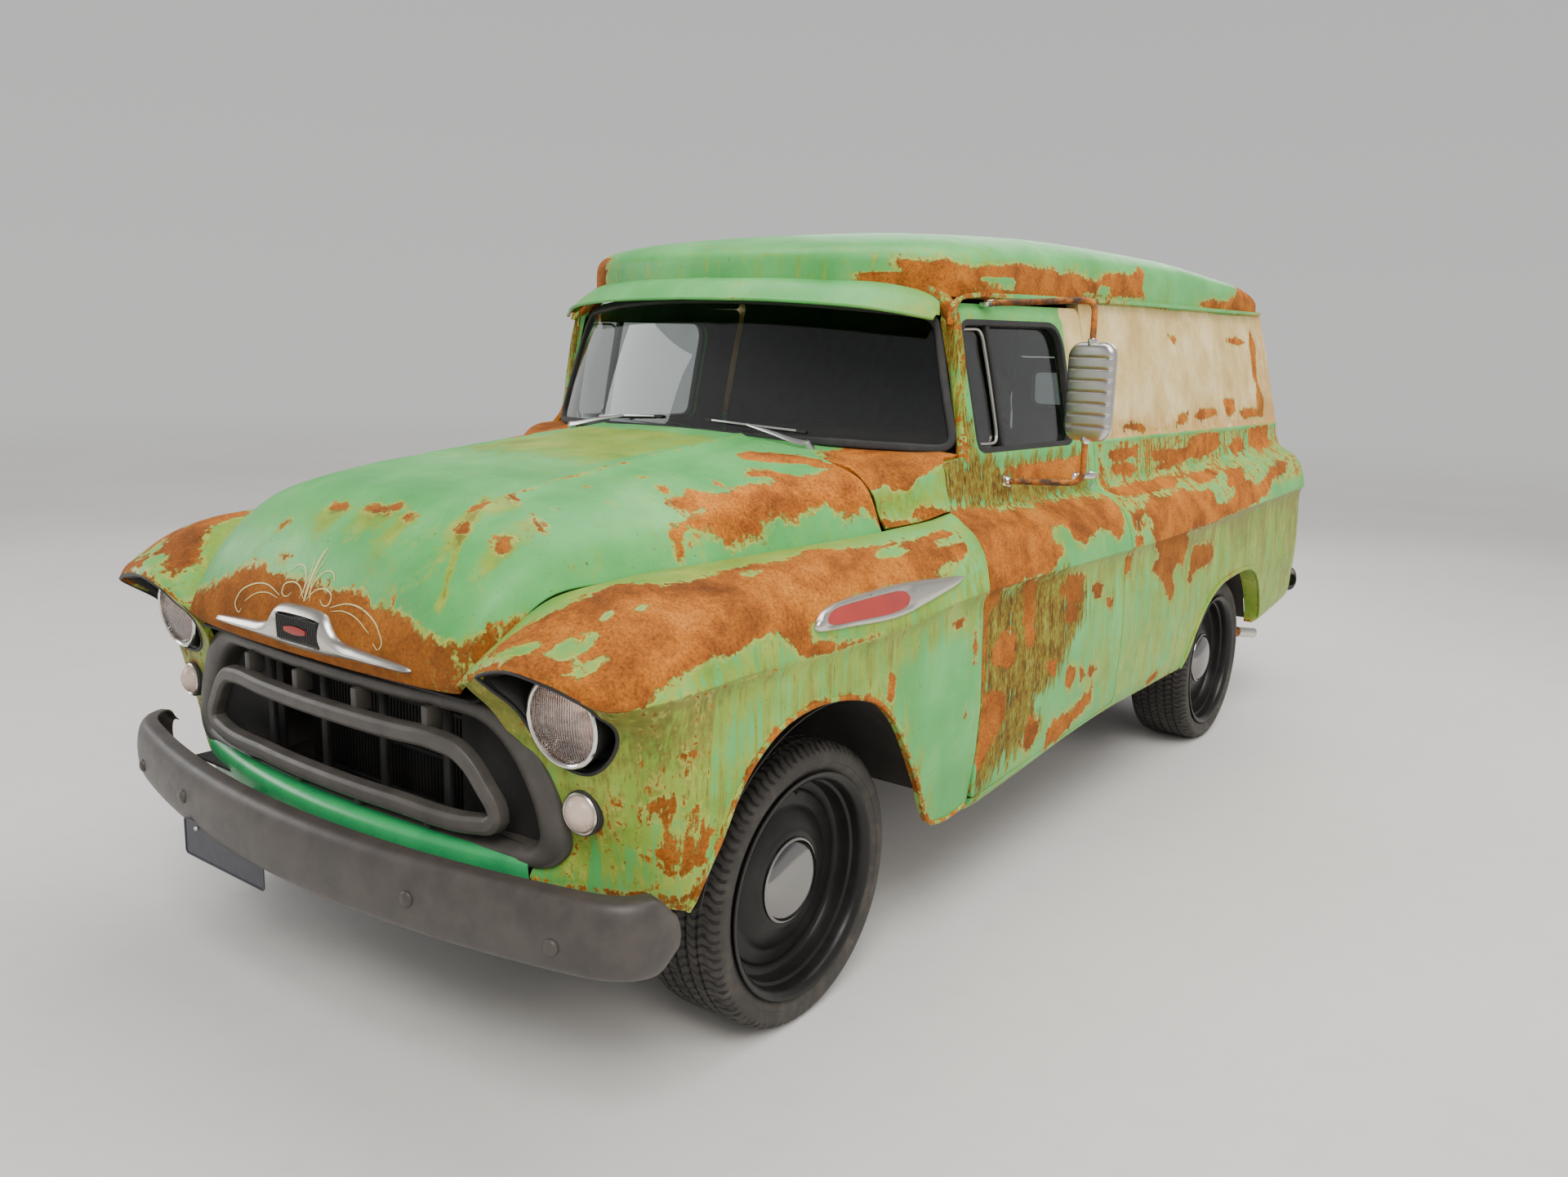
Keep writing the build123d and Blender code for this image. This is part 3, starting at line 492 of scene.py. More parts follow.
def box_part(x0, x1, y0, y1, z0, z1, r=0.004):
    """A box with rounded edges all round."""
    sec = rounded(abs(x1 - x0), abs(z1 - z0), r, 3)
    ys = [y0, y0 + r * 0.3, y0 + r, y1 - r, y1 - r * 0.3, y1]
    sc = []
    for k, y in enumerate(ys):
        d = [r, r * 0.3, 0, 0, r * 0.3, r][k]
        sc.append((1 - 2 * d / abs(x1 - x0), 1 - 2 * d / abs(z1 - z0)))
    P = [((x0 + x1) / 2, y, (z0 + z1) / 2) for y in ys]
    return sweep(P, sec, up=(0, 0, 1), scale=np.array(sc))


PIECES = []


def make(name, part, material, body, replaces=(), weld=0.0, smooth=35, attrs=None, fix=True, extra=()):
    """One mesh object, placed in the row frame, riding on a body."""
    V, F = part
    me = bpy.data.meshes.new(name)
    me.from_pydata([tuple(map(float, v)) for v in V], [], [tuple(int(i) for i in f) for f in F])
    bm = bmesh.new()
    bm.from_mesh(me)
    if weld:
        bmesh.ops.remove_doubles(bm, verts=bm.verts, dist=weld)
    loose = [v for v in bm.verts if not v.link_faces]
    if loose:
        bmesh.ops.delete(bm, geom=loose, context="VERTS")
    if fix:
        bmesh.ops.recalc_face_normals(bm, faces=bm.faces)
    bm.to_mesh(me)
    bm.free()
    me.validate()
    for p in me.polygons:
        p.use_smooth = True
    me.set_sharp_from_angle(angle=math.radians(smooth))
    ob = bpy.data.objects.new(name, me)
    scene.collection.objects.link(ob)
    mats = [material] if not isinstance(material, (list, tuple)) else list(material)
    for m in mats:
        me.materials.append(m)
    if attrs is not None:
        co = np.zeros(len(me.vertices) * 3)
        me.vertices.foreach_get("co", co)
        no = np.zeros(len(me.vertices) * 3)
        me.vertices.foreach_get("normal", no)
        for key, val in attrs(co.reshape(-1, 3), no.reshape(-1, 3)).items():
            a = me.attributes.new(key, "FLOAT", "POINT")
            a.data.foreach_set("value", np.asarray(val, np.float32))
    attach(ob, body)
    if replaces:
        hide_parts(*replaces)
    PIECES.append(ob)
    return ob


def smoothstep(a, b, x):
    t = np.clip((x - a) / (b - a), 0, 1)
    return t * t * (3 - 2 * t)


# ---------------------------------------------------------------- materials
class Mat:
    """A node material in the making. Coordinates are the object's own, in metres."""

    def __init__(self, name, **shader):
        self.m = bpy.data.materials.new(name)
        self.m.use_nodes = True
        self.t = self.m.node_tree
        self.t.nodes.clear()
        self.out = self.t.nodes.new("ShaderNodeOutputMaterial")
        self.b = self.t.nodes.new("ShaderNodeBsdfPrincipled")
        self.t.links.new(self.b.outputs[0], self.out.inputs[0])
        self.co = self.t.nodes.new("ShaderNodeTexCoord").outputs["Object"]
        for k, v in shader.items():
            self.set(k.replace("_", " "), v)

    def set(self, key, v):
        s = self.b.inputs[key]
        if isinstance(v, bpy.types.NodeSocket):
            self.t.links.new(v, s)
        else:
            s.default_value = v if not isinstance(v, tuple) or len(v) == 4 or key.endswith("Normal") else (*v, 1.0)

    def put(self, node, i, v):
        s = node.inputs[i]
        if isinstance(v, bpy.types.NodeSocket):
            self.t.links.new(v, s)
        elif isinstance(v, tuple) and len(v) == 3 and s.type == "RGBA":
            s.default_value = (*v, 1.0)
        else:
            s.default_value = v

    def math(self, op, a, b=0.0, c=0.0, clamp=False):
        n = self.t.nodes.new("ShaderNodeMath")
        n.operation = op
        n.use_clamp = clamp
        self.put(n, 0, a)
        self.put(n, 1, b)
        if op in ("MULTIPLY_ADD", "SMOOTH_MIN", "SMOOTH_MAX"):
            self.put(n, 2, c)
        return n.outputs[0]

    def mix(self, f, a, b):
        n = self.t.nodes.new("ShaderNodeMix")
        n.data_type = "RGBA"
        self.put(n, 0, f)
        self.put(n, 6, a)
        self.put(n, 7, b)
        return n.outputs[2]

    def mixf(self, f, a, b):
        n = self.t.nodes.new("ShaderNodeMix")
        n.data_type = "FLOAT"
        self.put(n, 0, f)
        self.put(n, 2, a)
        self.put(n, 3, b)
        return n.outputs[0]

    def step(self, a, b, x, to0=0.0, to1=1.0):
        n = self.t.nodes.new("ShaderNodeMapRange")
        n.interpolation_type = "SMOOTHSTEP"
        for i, v in enumerate((x, a, b, to0, to1)):
            self.put(n, i, v)
        return n.outputs[0]

    def map(self, scale=(1, 1, 1), loc=(0, 0, 0), rot=(0, 0, 0)):
        n = self.t.nodes.new("ShaderNodeMapping")
        self.put(n, 0, self.co)
        n.inputs[1].default_value = loc
        n.inputs[2].default_value = rot
        n.inputs[3].default_value = scale
        return n.outputs[0]

    def noise(self, scale, detail=4.0, rough=0.5, distort=0.0, vec=None, lac=2.0):
        n = self.t.nodes.new("ShaderNodeTexNoise")
        self.put(n, "Vector", vec if vec is not None else self.co)
        n.inputs["Scale"].default_value = scale
        n.inputs["Detail"].default_value = detail
        n.inputs["Roughness"].default_value = rough
        n.inputs["Distortion"].default_value = distort
        n.inputs["Lacunarity"].default_value = lac
        return n.outputs[0]

    def cells(self, scale, vec=None, feature="F1"):
        n = self.t.nodes.new("ShaderNodeTexVoronoi")
        n.feature = feature
        self.put(n, "Vector", vec if vec is not None else self.co)
        n.inputs["Scale"].default_value = scale
        return n.outputs[0]

    def ramp(self, x, stops):
        n = self.t.nodes.new("ShaderNodeValToRGB")
        self.put(n, 0, x)
        r = n.color_ramp
        while len(r.elements) < len(stops):
            r.elements.new(0.5)
        for e, (p, c) in zip(r.elements, stops):
            e.position = p
            e.color = (*c, 1.0) if len(c) == 3 else c
        return n.outputs[0]

    def attr(self, name):
        n = self.t.nodes.new("ShaderNodeAttribute")
        n.attribute_name = name
        return n.outputs["Fac"]

    def xyz(self, i):
        n = self.t.nodes.new("ShaderNodeSeparateXYZ")
        self.put(n, 0, self.co)
        return n.outputs[i]

    def bump(self, height, strength=0.3, distance=0.002, normal=None):
        n = self.t.nodes.new("ShaderNodeBump")
        n.inputs["Strength"].default_value = strength
        n.inputs["Distance"].default_value = distance
        self.put(n, "Height", height)
        if normal is not None:
            self.put(n, "Normal", normal)
        return n.outputs[0]


def rust_colour(m, scale=1.0):
    """Orange-brown rust with darker pits and pale bloom."""
    a = m.noise(7 * scale, 9, 0.66, 0.3)
    b = m.noise(150 * scale, 4, 0.72)
    base = m.ramp(a, [(0.30, (0.120, 0.036, 0.008)), (0.43, (0.285, 0.080, 0.010)), (0.54, (0.475, 0.145, 0.015)), (0.68, (0.620, 0.225, 0.030))])
    fine = m.ramp(b, [(0.34, (0.30, 0.26, 0.22)), (0.47, (0.82, 0.80, 0.78)), (0.56, (1.08, 1.04, 1.00)), (0.68, (1.55, 1.40, 1.20))])
    n = m.t.nodes.new("ShaderNodeMix")
    n.data_type = "RGBA"
    n.blend_type = "MULTIPLY"
    m.put(n, 0, 0.80)
    m.put(n, 6, base)
    m.put(n, 7, fine)
    return n.outputs[2]


def patina(name, coat=0.0):
    """Sun-bleached mint paint, partly gone to rust, with a cream band, where the mesh's masks say so."""
    m = Mat(name, Metallic=0.0)
    m.b.inputs["Specular IOR Level"].default_value = 0.22
    rust, cream, stain, streak, vert, olive_at = (m.attr(k) for k in ("rust", "cream", "stain", "streak", "vert", "olive"))
    big = m.noise(3.0, 9, 0.60, 0.4)
    mid = m.noise(15, 9, 0.66, 0.35)
    fine = m.noise(60, 6, 0.68)
    runs = m.noise(1.0, 7, 0.62, 0.2, vec=m.map((38, 38, 3.0)))
    runs2 = m.noise(1.0, 6, 0.62, 0.0, vec=m.map((105, 105, 6.0), loc=(3.1, 1.7, 0.4)))
    grain = m.noise(1.0, 5, 0.62, 0.0, vec=m.map((170, 170, 42), loc=(1.3, 0.2, 2.2)))
    c = lambda n: m.math("SUBTRACT", n, 0.5)
    # how far gone the paint is
    v = m.math("MULTIPLY_ADD", c(big), 0.34, rust)
    v = m.math("MULTIPLY_ADD", c(mid), 0.60, v)
    v = m.math("MULTIPLY_ADD", c(fine), 0.34, v)
    v = m.math("MULTIPLY_ADD", m.math("MULTIPLY", c(runs), streak), 0.85, v)
    v = m.math("MULTIPLY_ADD", m.math("MULTIPLY", c(runs2), streak), 0.35, v)
    flecks = m.math("MULTIPLY", m.step(0.572, 0.590, m.noise(36, 6, 0.64, 0.3)), m.step(0.300, 0.410, v))
    chips = m.math("MULTIPLY", m.step(0.600, 0.615, m.noise(33, 6, 0.70, 0.4)), m.math("SUBTRACT", 1.0, m.step(0.545, 0.640, v)))
    mask = m.math("MAXIMUM", m.math("MULTIPLY", m.step(0.494, 0.508, v), m.math("SUBTRACT", 1.0, chips)), flecks)
    # the paint under it: mint, then yellowed, then brown with runs
    mint = m.ramp(m.noise(4.0, 7, 0.58), [(0.30, (0.058, 0.310, 0.076)), (0.48, (0.090, 0.385, 0.102)), (0.62, (0.130, 0.450, 0.130)), (0.78, (0.205, 0.530, 0.175))])
    age = m.math("MULTIPLY_ADD", c(runs), m.math("MULTIPLY", vert, 1.5), stain)
    age = m.math("MULTIPLY_ADD", c(runs2), m.math("MULTIPLY", vert, 1.1), age)
    age = m.math("MULTIPLY_ADD", c(mid), 0.55, age)
    age = m.math("MULTIPLY_ADD", c(big), 0.75, age)
    yellowed = m.ramp(m.noise(9.0, 6, 0.6), [(0.3, (0.145, 0.270, 0.030)), (0.55, (0.240, 0.345, 0.045)), (0.75, (0.350, 0.420, 0.080))])
    brown = m.ramp(m.noise(30, 6, 0.65), [(0.35, (0.105, 0.080, 0.015)), (0.65, (0.240, 0.190, 0.042))])
    paint = m.mix(m.step(0.36, 0.72, age), mint, yellowed)
    paint = m.mix(m.math("MULTIPLY", m.step(0.74, 0.98, age), 0.72), paint, brown)
    dark_runs = m.math("MULTIPLY", m.step(0.585, 0.66, runs2), m.math("MULTIPLY", vert, m.step(0.35, 0.75, stain)))
    paint = m.mix(m.math("MULTIPLY", dark_runs, 0.45), paint, (0.075, 0.095, 0.022))
    whitish = m.ramp(m.noise(6.0, 7, 0.62), [(0.3, (0.44, 0.28, 0.085)), (0.5, (0.60, 0.44, 0.175)), (0.7, (0.74, 0.61, 0.33))])
    dirty = m.math("MULTIPLY_ADD", c(runs), 1.0, m.math("MULTIPLY_ADD", c(mid), 0.9, stain))
    whitish = m.mix(m.math("MULTIPLY", m.step(0.24, 0.70, dirty), 0.80), whitish, (0.46, 0.24, 0.060))
    worn = m.math("MULTIPLY_ADD", c(mid), 0.5, cream)
    paint = m.mix(m.step(0.48, 0.52, worn), paint, whitish)
    # flaking rims: yellow-green next to the rust, a dark line at its edge
    rim = m.math("MULTIPLY", m.step(0.345, 0.465, v), m.step(0.32, 0.52, m.noise(19, 5, 0.6)))
    paint = m.mix(m.math("MULTIPLY", rim, 0.85), paint, m.mix(fine, (0.22, 0.30, 0.030), (0.50, 0.50, 0.110)))
    edge = m.math("MULTIPLY", m.step(0.460, 0.490, v), m.math("SUBTRACT", 1.0, mask))
    paint = m.mix(m.math("MULTIPLY", edge, 0.75), paint, (0.120, 0.052, 0.010))
    # specks of rust and dirt everywhere
    speck = m.math("MULTIPLY", m.step(0.665, 0.70, m.noise(70, 4, 0.60)), m.step(0.44, 0.60, m.noise(4.5, 4, 0.55)))
    dots = m.math("MULTIPLY", m.step(0.70, 0.72, m.noise(150, 2, 0.5)), 0.8)
    paint = m.mix(m.math("MULTIPLY", m.math("MAXIMUM", speck, dots), 0.80), paint, (0.115, 0.052, 0.014))
    # darker, browner rust where grime sits
    rusty = m.mix(m.math("MULTIPLY", m.step(0.42, 0.80, stain), 0.55), rust_colour(m), (0.150, 0.058, 0.009))
    ol = m.math("MULTIPLY_ADD", c(runs), 1.50, m.math("MULTIPLY_ADD", c(mid), 0.80, m.math("MULTIPLY_ADD", c(runs2), 1.10, olive_at)))
    olive_mask = m.step(0.42, 0.62, ol)
    tone = m.math("MULTIPLY_ADD", c(runs), 0.30, m.math("ADD", m.math("MULTIPLY", grain, 0.50), m.math("ADD", m.math("MULTIPLY", mid, 0.28), m.math("MULTIPLY", fine, 0.22))))
    mottled = m.ramp(tone, [(0.40, (0.060, 0.030, 0.005)), (0.465, (0.135, 0.070, 0.009)), (0.510, (0.195, 0.125, 0.014)), (0.560, (0.195, 0.200, 0.026)), (0.63, (0.290, 0.330, 0.080))])
    col = m.mix(olive_mask, paint, mottled)
    col = m.mix(mask, col, rusty)
    m.set("Base Color", col)
    gone = m.math("MAXIMUM", mask, m.math("MULTIPLY", olive_mask, 0.8))
    rough = m.mixf(gone, m.math("MULTIPLY_ADD", m.noise(30, 5, 0.6), 0.30, 0.27), m.math("MULTIPLY_ADD", m.noise(60, 3, 0.6), 0.2, 0.74))
    m.set("Roughness", rough)
    h = m.math("MULTIPLY_ADD", mask, -0.55, m.math("MULTIPLY", m.math("MULTIPLY", m.noise(210, 4, 0.7), 0.9), m.math("MULTIPLY_ADD", gone, 0.9, 0.06)))
    m.set("Normal", m.bump(h, 0.6, 0.0012))
    if coat:
        m.b.inputs["Coat Weight"].default_value = coat
        m.b.inputs["Coat Roughness"].default_value = 0.25
    return m.m


def painted(name, colour, dark, rough=0.45, wear=(0.2, 0.2, 0.2), chips=0.75, bump=0.12, metallic=0.0, dirt=0.35):
    """A satin painted or moulded surface with mottling, dust and small chips."""
    m = Mat(name, Metallic=metallic)
    n = m.noise(14, 6, 0.6)
    col = m.mix(m.step(0.35, 0.7, n), colour, dark)
    dust = m.step(0.5, 0.85, m.noise(5, 5, 0.6))
    col = m.mix(m.math("MULTIPLY", dust, dirt), col, tuple(min(1.0, c * 1.6 + 0.03) for c in colour))
    chip = m.step(chips, chips + 0.03, m.noise(70, 4, 0.7))
    col = m.mix(chip, col, wear)
    m.set("Base Color", col)
    m.set("Roughness", m.math("MULTIPLY_ADD", m.noise(40, 5, 0.65), 0.25, rough - 0.12))
    m.set("Normal", m.bump(m.math("ADD", m.noise(160, 3, 0.6), m.math("MULTIPLY", m.noise(22, 3, 0.5), 1.5)), bump, 0.001))
    return m.m


def metal(name, colour, rough=0.2, pits=(0.20, 0.12, 0.07), amount=0.7, brushed=None, haze=0.15):
    """Bright metal gone a little dull, with pits and haze."""
    m = Mat(name, Metallic=1.0)
    spot = m.step(amount, amount + 0.05, m.noise(95, 4, 0.65))
    cloud = m.noise(9, 6, 0.6)
    col = m.mix(m.math("MULTIPLY", m.step(0.4, 0.8, cloud), 0.35), colour, tuple(c * 0.72 for c in colour))
    col = m.mix(spot, col, pits)
    m.set("Base Color", col)
    r = m.math("MULTIPLY_ADD", cloud, haze, rough)
    r = m.math("MULTIPLY_ADD", spot, 0.4, r)
    m.set("Roughness", r)
    h = m.noise(240, 3, 0.5)
    if brushed:
        h = m.noise(1.0, 4, 0.6, vec=m.map(brushed))
    m.set("Normal", m.bump(h, 0.08, 0.0006))
    return m.m


def rusty_metal(name, dark=(0.07, 0.04, 0.025)):
    m = Mat(name, Metallic=0.15)
    col = m.mix(m.step(0.42, 0.6, m.noise(26, 7, 0.65)), rust_colour(m, 2.0), dark)
    m.set("Base Color", col)
    m.set("Roughness", m.math("MULTIPLY_ADD", m.noise(70, 4, 0.6), 0.25, 0.6))
    m.set("Normal", m.bump(m.noise(180, 5, 0.7), 0.5, 0.0012))
    return m.m


def glass(name, tint=(0.80, 0.86, 0.84), dust=0.25, rough=0.02, alpha=None):
    m = Mat(name, Metallic=0.0, IOR=1.45)
    m.b.inputs["Transmission Weight"].default_value = 1.0
    d = m.math("MULTIPLY", m.step(0.45, 0.8, m.noise(6, 7, 0.65)), dust)
    m.set("Base Color", m.mix(d, tint, tuple(c * 0.62 for c in tint)))
    m.set("Roughness", m.math("MULTIPLY_ADD", d, 0.05, rough * 0.4))
    m.set("Normal", m.bump(m.noise(4, 2, 0.4), 0.02, 0.002))
    return m.m


def rubber(name, colour=(0.018, 0.018, 0.018), rough=0.62):
    m = Mat(name, Metallic=0.0)
    dust = m.step(0.45, 0.75, m.noise(18, 7, 0.65))
    m.set("Base Color", m.mix(m.math("MULTIPLY", dust, 0.5), colour, tuple(c * 2.4 + 0.008 for c in colour)))
    m.set("Roughness", m.math("MULTIPLY_ADD", m.noise(60, 4, 0.6), 0.2, rough - 0.08))
    m.set("Normal", m.bump(m.noise(320, 3, 0.6), 0.22, 0.0006))
    return m.m


MAT = {}
MAT["body_paint"] = patina("body_paint")
MAT["fresh_green"] = painted("fresh_green", (0.035, 0.36, 0.115), (0.028, 0.30, 0.10), 0.30, (0.10, 0.30, 0.12), 0.9, 0.05, dirt=0.15)
MAT["inner_green"] = painted("inner_green", (0.085, 0.20, 0.105), (0.075, 0.10, 0.05), 0.62, (0.16, 0.07, 0.03), 0.66, 0.25)
MAT["bumper_charcoal"] = painted("bumper_charcoal", (0.060, 0.051, 0.045), (0.040, 0.035, 0.032), 0.44, (0.24, 0.20, 0.17), 0.74, 0.15)
MAT["grille_charcoal"] = painted("grille_charcoal", (0.064, 0.057, 0.050), (0.044, 0.040, 0.036), 0.46, (0.15, 0.11, 0.08), 0.78, 0.15)
MAT["chrome"] = metal("chrome", (0.80, 0.78, 0.74), 0.10, haze=0.12)
MAT["aged_chrome"] = metal("aged_chrome", (0.72, 0.69, 0.62), 0.20, amount=0.66, haze=0.22)
MAT["mirror_steel"] = metal("mirror_steel", (0.62, 0.60, 0.58), 0.24, amount=0.74, brushed=(400, 400, 6))
MAT["rusty_steel"] = rusty_metal("rusty_steel")
MAT["chassis_black"] = painted("chassis_black", (0.018, 0.017, 0.015), (0.030, 0.024, 0.018), 0.66, (0.09, 0.045, 0.02), 0.70, 0.4, dirt=0.6)
MAT["engine_grey"] = painted("engine_grey", (0.045, 0.048, 0.05), (0.025, 0.022, 0.02), 0.6, (0.10, 0.06, 0.03), 0.70, 0.5)
MAT["radiator_black"] = painted("radiator_black", (0.010, 0.010, 0.010), (0.016, 0.014, 0.012), 0.7, (0.05, 0.04, 0.03), 0.82, 0.3)
# near-black for the lamp pockets: painted shade in the recess round each headlamp
MAT["pocket_shade_black"] = painted("pocket_shade_black", (0.010, 0.010, 0.010), (0.014, 0.013, 0.012), 0.48, (0.04, 0.035, 0.03), 0.9, 0.1, dirt=0.2)
MAT["window_glass"] = glass("window_glass", (0.86, 0.90, 0.88), 0.28)
MAT["side_glass"] = glass("side_glass", (0.42, 0.46, 0.46), 0.30, 0.03)
MAT["rubber"] = rubber("rubber")


def tyre_material():
    m = Mat("tyre_rubber", Metallic=0.0)
    dust = m.step(0.42, 0.75, m.noise(18, 7, 0.65))
    dy = m.math("SUBTRACT", m.math("ABSOLUTE", m.xyz(1)), 1.448)
    dz = m.math("SUBTRACT", m.xyz(2), 0.337)
    r = m.math("SQRT", m.math("ADD", m.math("MULTIPLY", dy, dy), m.math("MULTIPLY", dz, dz)))
    turn = m.math("ARCTAN2", dz, dy)
    slant = m.math("MULTIPLY_ADD", m.math("SINE", m.math("MULTIPLY", m.xyz(0), 120.0)), 0.020, turn)
    sipe = m.step(0.72, 0.92, m.math("ABSOLUTE", m.math("SINE", m.math("MULTIPLY", slant, 46.0))))
    tread = m.step(0.312, 0.322, r)
    cut = m.math("MULTIPLY", sipe, tread)
    # the cross cuts are painted darker than the rubber itself: painted shade in the cuts, on top of their bump
    m.set("Base Color", m.mix(cut, m.mix(m.math("MULTIPLY", dust, 0.55), (0.030, 0.027, 0.024), (0.085, 0.072, 0.058)), (0.010, 0.009, 0.008)))
    m.set("Roughness", m.math("MULTIPLY_ADD", m.noise(60, 4, 0.6), 0.2, 0.62))
    m.set("Normal", m.bump(m.math("MULTIPLY_ADD", cut, -3.0, m.noise(320, 3, 0.6)), 0.45, 0.0009))
    return m.m


MAT["tyre_rubber"] = tyre_material()
# the caps' chrome is dimmed to a dark grey: a painted dark reflection of the surroundings
MAT["cap_chrome"] = metal("cap_chrome", (0.27, 0.265, 0.26), 0.08, haze=0.10)
MAT["lamp_bowl"] = metal("lamp_bowl", (0.97, 0.80, 0.72), 0.26, haze=0.10)
MAT["wheel_black"] = painted("wheel_black", (0.009, 0.0085, 0.008), (0.013, 0.012, 0.011), 0.34, (0.06, 0.05, 0.045), 0.86, 0.08, dirt=0.25)
MAT["wheel_black"].node_tree.nodes["Principled BSDF"].inputs["Specular IOR Level"].default_value = 0.28
MAT["wheel_plastic"] = painted("wheel_plastic", (0.020, 0.019, 0.018), (0.028, 0.025, 0.022), 0.40, (0.09, 0.07, 0.05), 0.82, 0.08)
MAT["interior_paint"] = painted("interior_paint", (0.060, 0.105, 0.075), (0.045, 0.070, 0.048), 0.6, (0.10, 0.06, 0.03), 0.72, 0.2)
MAT["wheel_brown"] = painted("wheel_brown", (0.300, 0.115, 0.070), (0.150, 0.060, 0.040), 0.34, (0.16, 0.10, 0.07), 0.84, 0.06)
MAT["bare_inside"] = painted("bare_inside", (0.034, 0.046, 0.036), (0.028, 0.024, 0.017), 0.7, (0.05, 0.035, 0.02), 0.86, 0.03)
MAT["dark_trim"] = painted("dark_trim", (0.014, 0.014, 0.014), (0.020, 0.019, 0.018), 0.55, (0.06, 0.06, 0.05), 0.86, 0.1)
# near-black for the box under the cowl's vent slots: painted shade inside the vent
MAT["vent_shade_black"] = painted("vent_shade_black", (0.010, 0.014, 0.011), (0.008, 0.010, 0.008), 0.8, (0.02, 0.02, 0.02), 0.9, 0.1)
MAT["red_insert"] = painted("red_insert", (0.36, 0.028, 0.022), (0.28, 0.03, 0.025), 0.35, (0.42, 0.30, 0.26), 0.74, 0.1)
MAT["tail_red"] = painted("tail_red", (0.30, 0.006, 0.006), (0.24, 0.005, 0.005), 0.18, (0.20, 0.01, 0.01), 0.95, 0.05)
MAT["plate_black"] = painted("plate_black", (0.020, 0.022, 0.032), (0.028, 0.03, 0.04), 0.4, (0.12, 0.12, 0.13), 0.86, 0.05)
MAT["badge_black"] = painted("badge_black", (0.012, 0.012, 0.013), (0.018, 0.017, 0.017), 0.28, (0.10, 0.09, 0.08), 0.86, 0.06)
MAT["bulb"] = painted("bulb", (0.70, 0.66, 0.60), (0.60, 0.56, 0.50), 0.2, (0.5, 0.45, 0.4), 0.9, 0.03)
MAT["mirror_pane"] = metal("mirror_pane", (0.86, 0.88, 0.88), 0.02, (0.4, 0.4, 0.4), 0.86, haze=0.04)
MAT["pale_line"] = painted("pale_line", (0.62, 0.56, 0.24), (0.50, 0.46, 0.20), 0.5, (0.35, 0.25, 0.10), 0.62, 0.05)


def lens_material():
    m = Mat("lamp_glass", IOR=1.5)
    m.b.inputs["Transmission Weight"].default_value = 1.0
    m.set("Base Color", m.mix(m.step(0.4, 0.8, m.noise(20, 5, 0.6)), (0.98, 0.90, 0.86), (0.90, 0.74, 0.68)))
    x, z = m.xyz(0), m.xyz(2)
    ribs = m.math("ABSOLUTE", m.math("SINE", m.math("MULTIPLY", x, 520.0)))
    rows = m.math("ABSOLUTE", m.math("SINE", m.math("MULTIPLY", z, 130.0)))
    m.set("Roughness", m.math("MULTIPLY_ADD", m.noise(80, 4, 0.6), 0.10, 0.03))
    m.set("Normal", m.bump(m.math("MULTIPLY_ADD", rows, 0.35, ribs), 0.55, 0.0022))
    return m.m


def seat_vinyl():
    m = Mat("seat_vinyl")
    grain = m.cells(420.0)
    n = m.noise(10, 6, 0.6)
    crack = m.step(0.62, 0.70, m.noise(34, 6, 0.7))
    col = m.mix(m.step(0.35, 0.7, n), (0.075, 0.036, 0.022), (0.045, 0.024, 0.016))
    m.set("Base Color", m.mix(m.math("MULTIPLY", crack, 0.6), col, (0.16, 0.10, 0.06)))
    m.set("Roughness", m.math("MULTIPLY_ADD", n, 0.25, 0.36))
    m.set("Normal", m.bump(m.math("MULTIPLY_ADD", crack, -0.6, grain), 0.3, 0.0008))
    return m.m


def steel_floor():
    m = Mat("cargo_boards")
    y, x = m.xyz(1), m.xyz(0)
    grain = m.noise(1.0, 8, 0.65, 0.4, vec=m.map((60, 3, 20)))
    col = m.ramp(grain, [(0.3, (0.045, 0.028, 0.017)), (0.55, (0.105, 0.066, 0.038)), (0.75, (0.17, 0.115, 0.068))])
    seam = m.step(0.93, 0.97, m.math("ABSOLUTE", m.math("COSINE", m.math("MULTIPLY", x, 22.0))))
    m.set("Base Color", m.mix(seam, col, (0.012, 0.010, 0.008)))
    m.set("Roughness", m.math("MULTIPLY_ADD", grain, 0.3, 0.5))
    m.set("Normal", m.bump(m.math("MULTIPLY_ADD", seam, -1.0, grain), 0.4, 0.0015))
    return m.m


MAT["lamp_glass"] = lens_material()
MAT["milky_lens"] = painted("milky_lens", (0.74, 0.58, 0.49), (0.62, 0.46, 0.38), 0.26, (0.50, 0.36, 0.28), 0.80, 0.05, dirt=0.2)
MAT["milky_lens"].node_tree.nodes["Principled BSDF"].inputs["Transmission Weight"].default_value = 0.25
MAT["seat_vinyl"] = seat_vinyl()
MAT["boards"] = steel_floor()


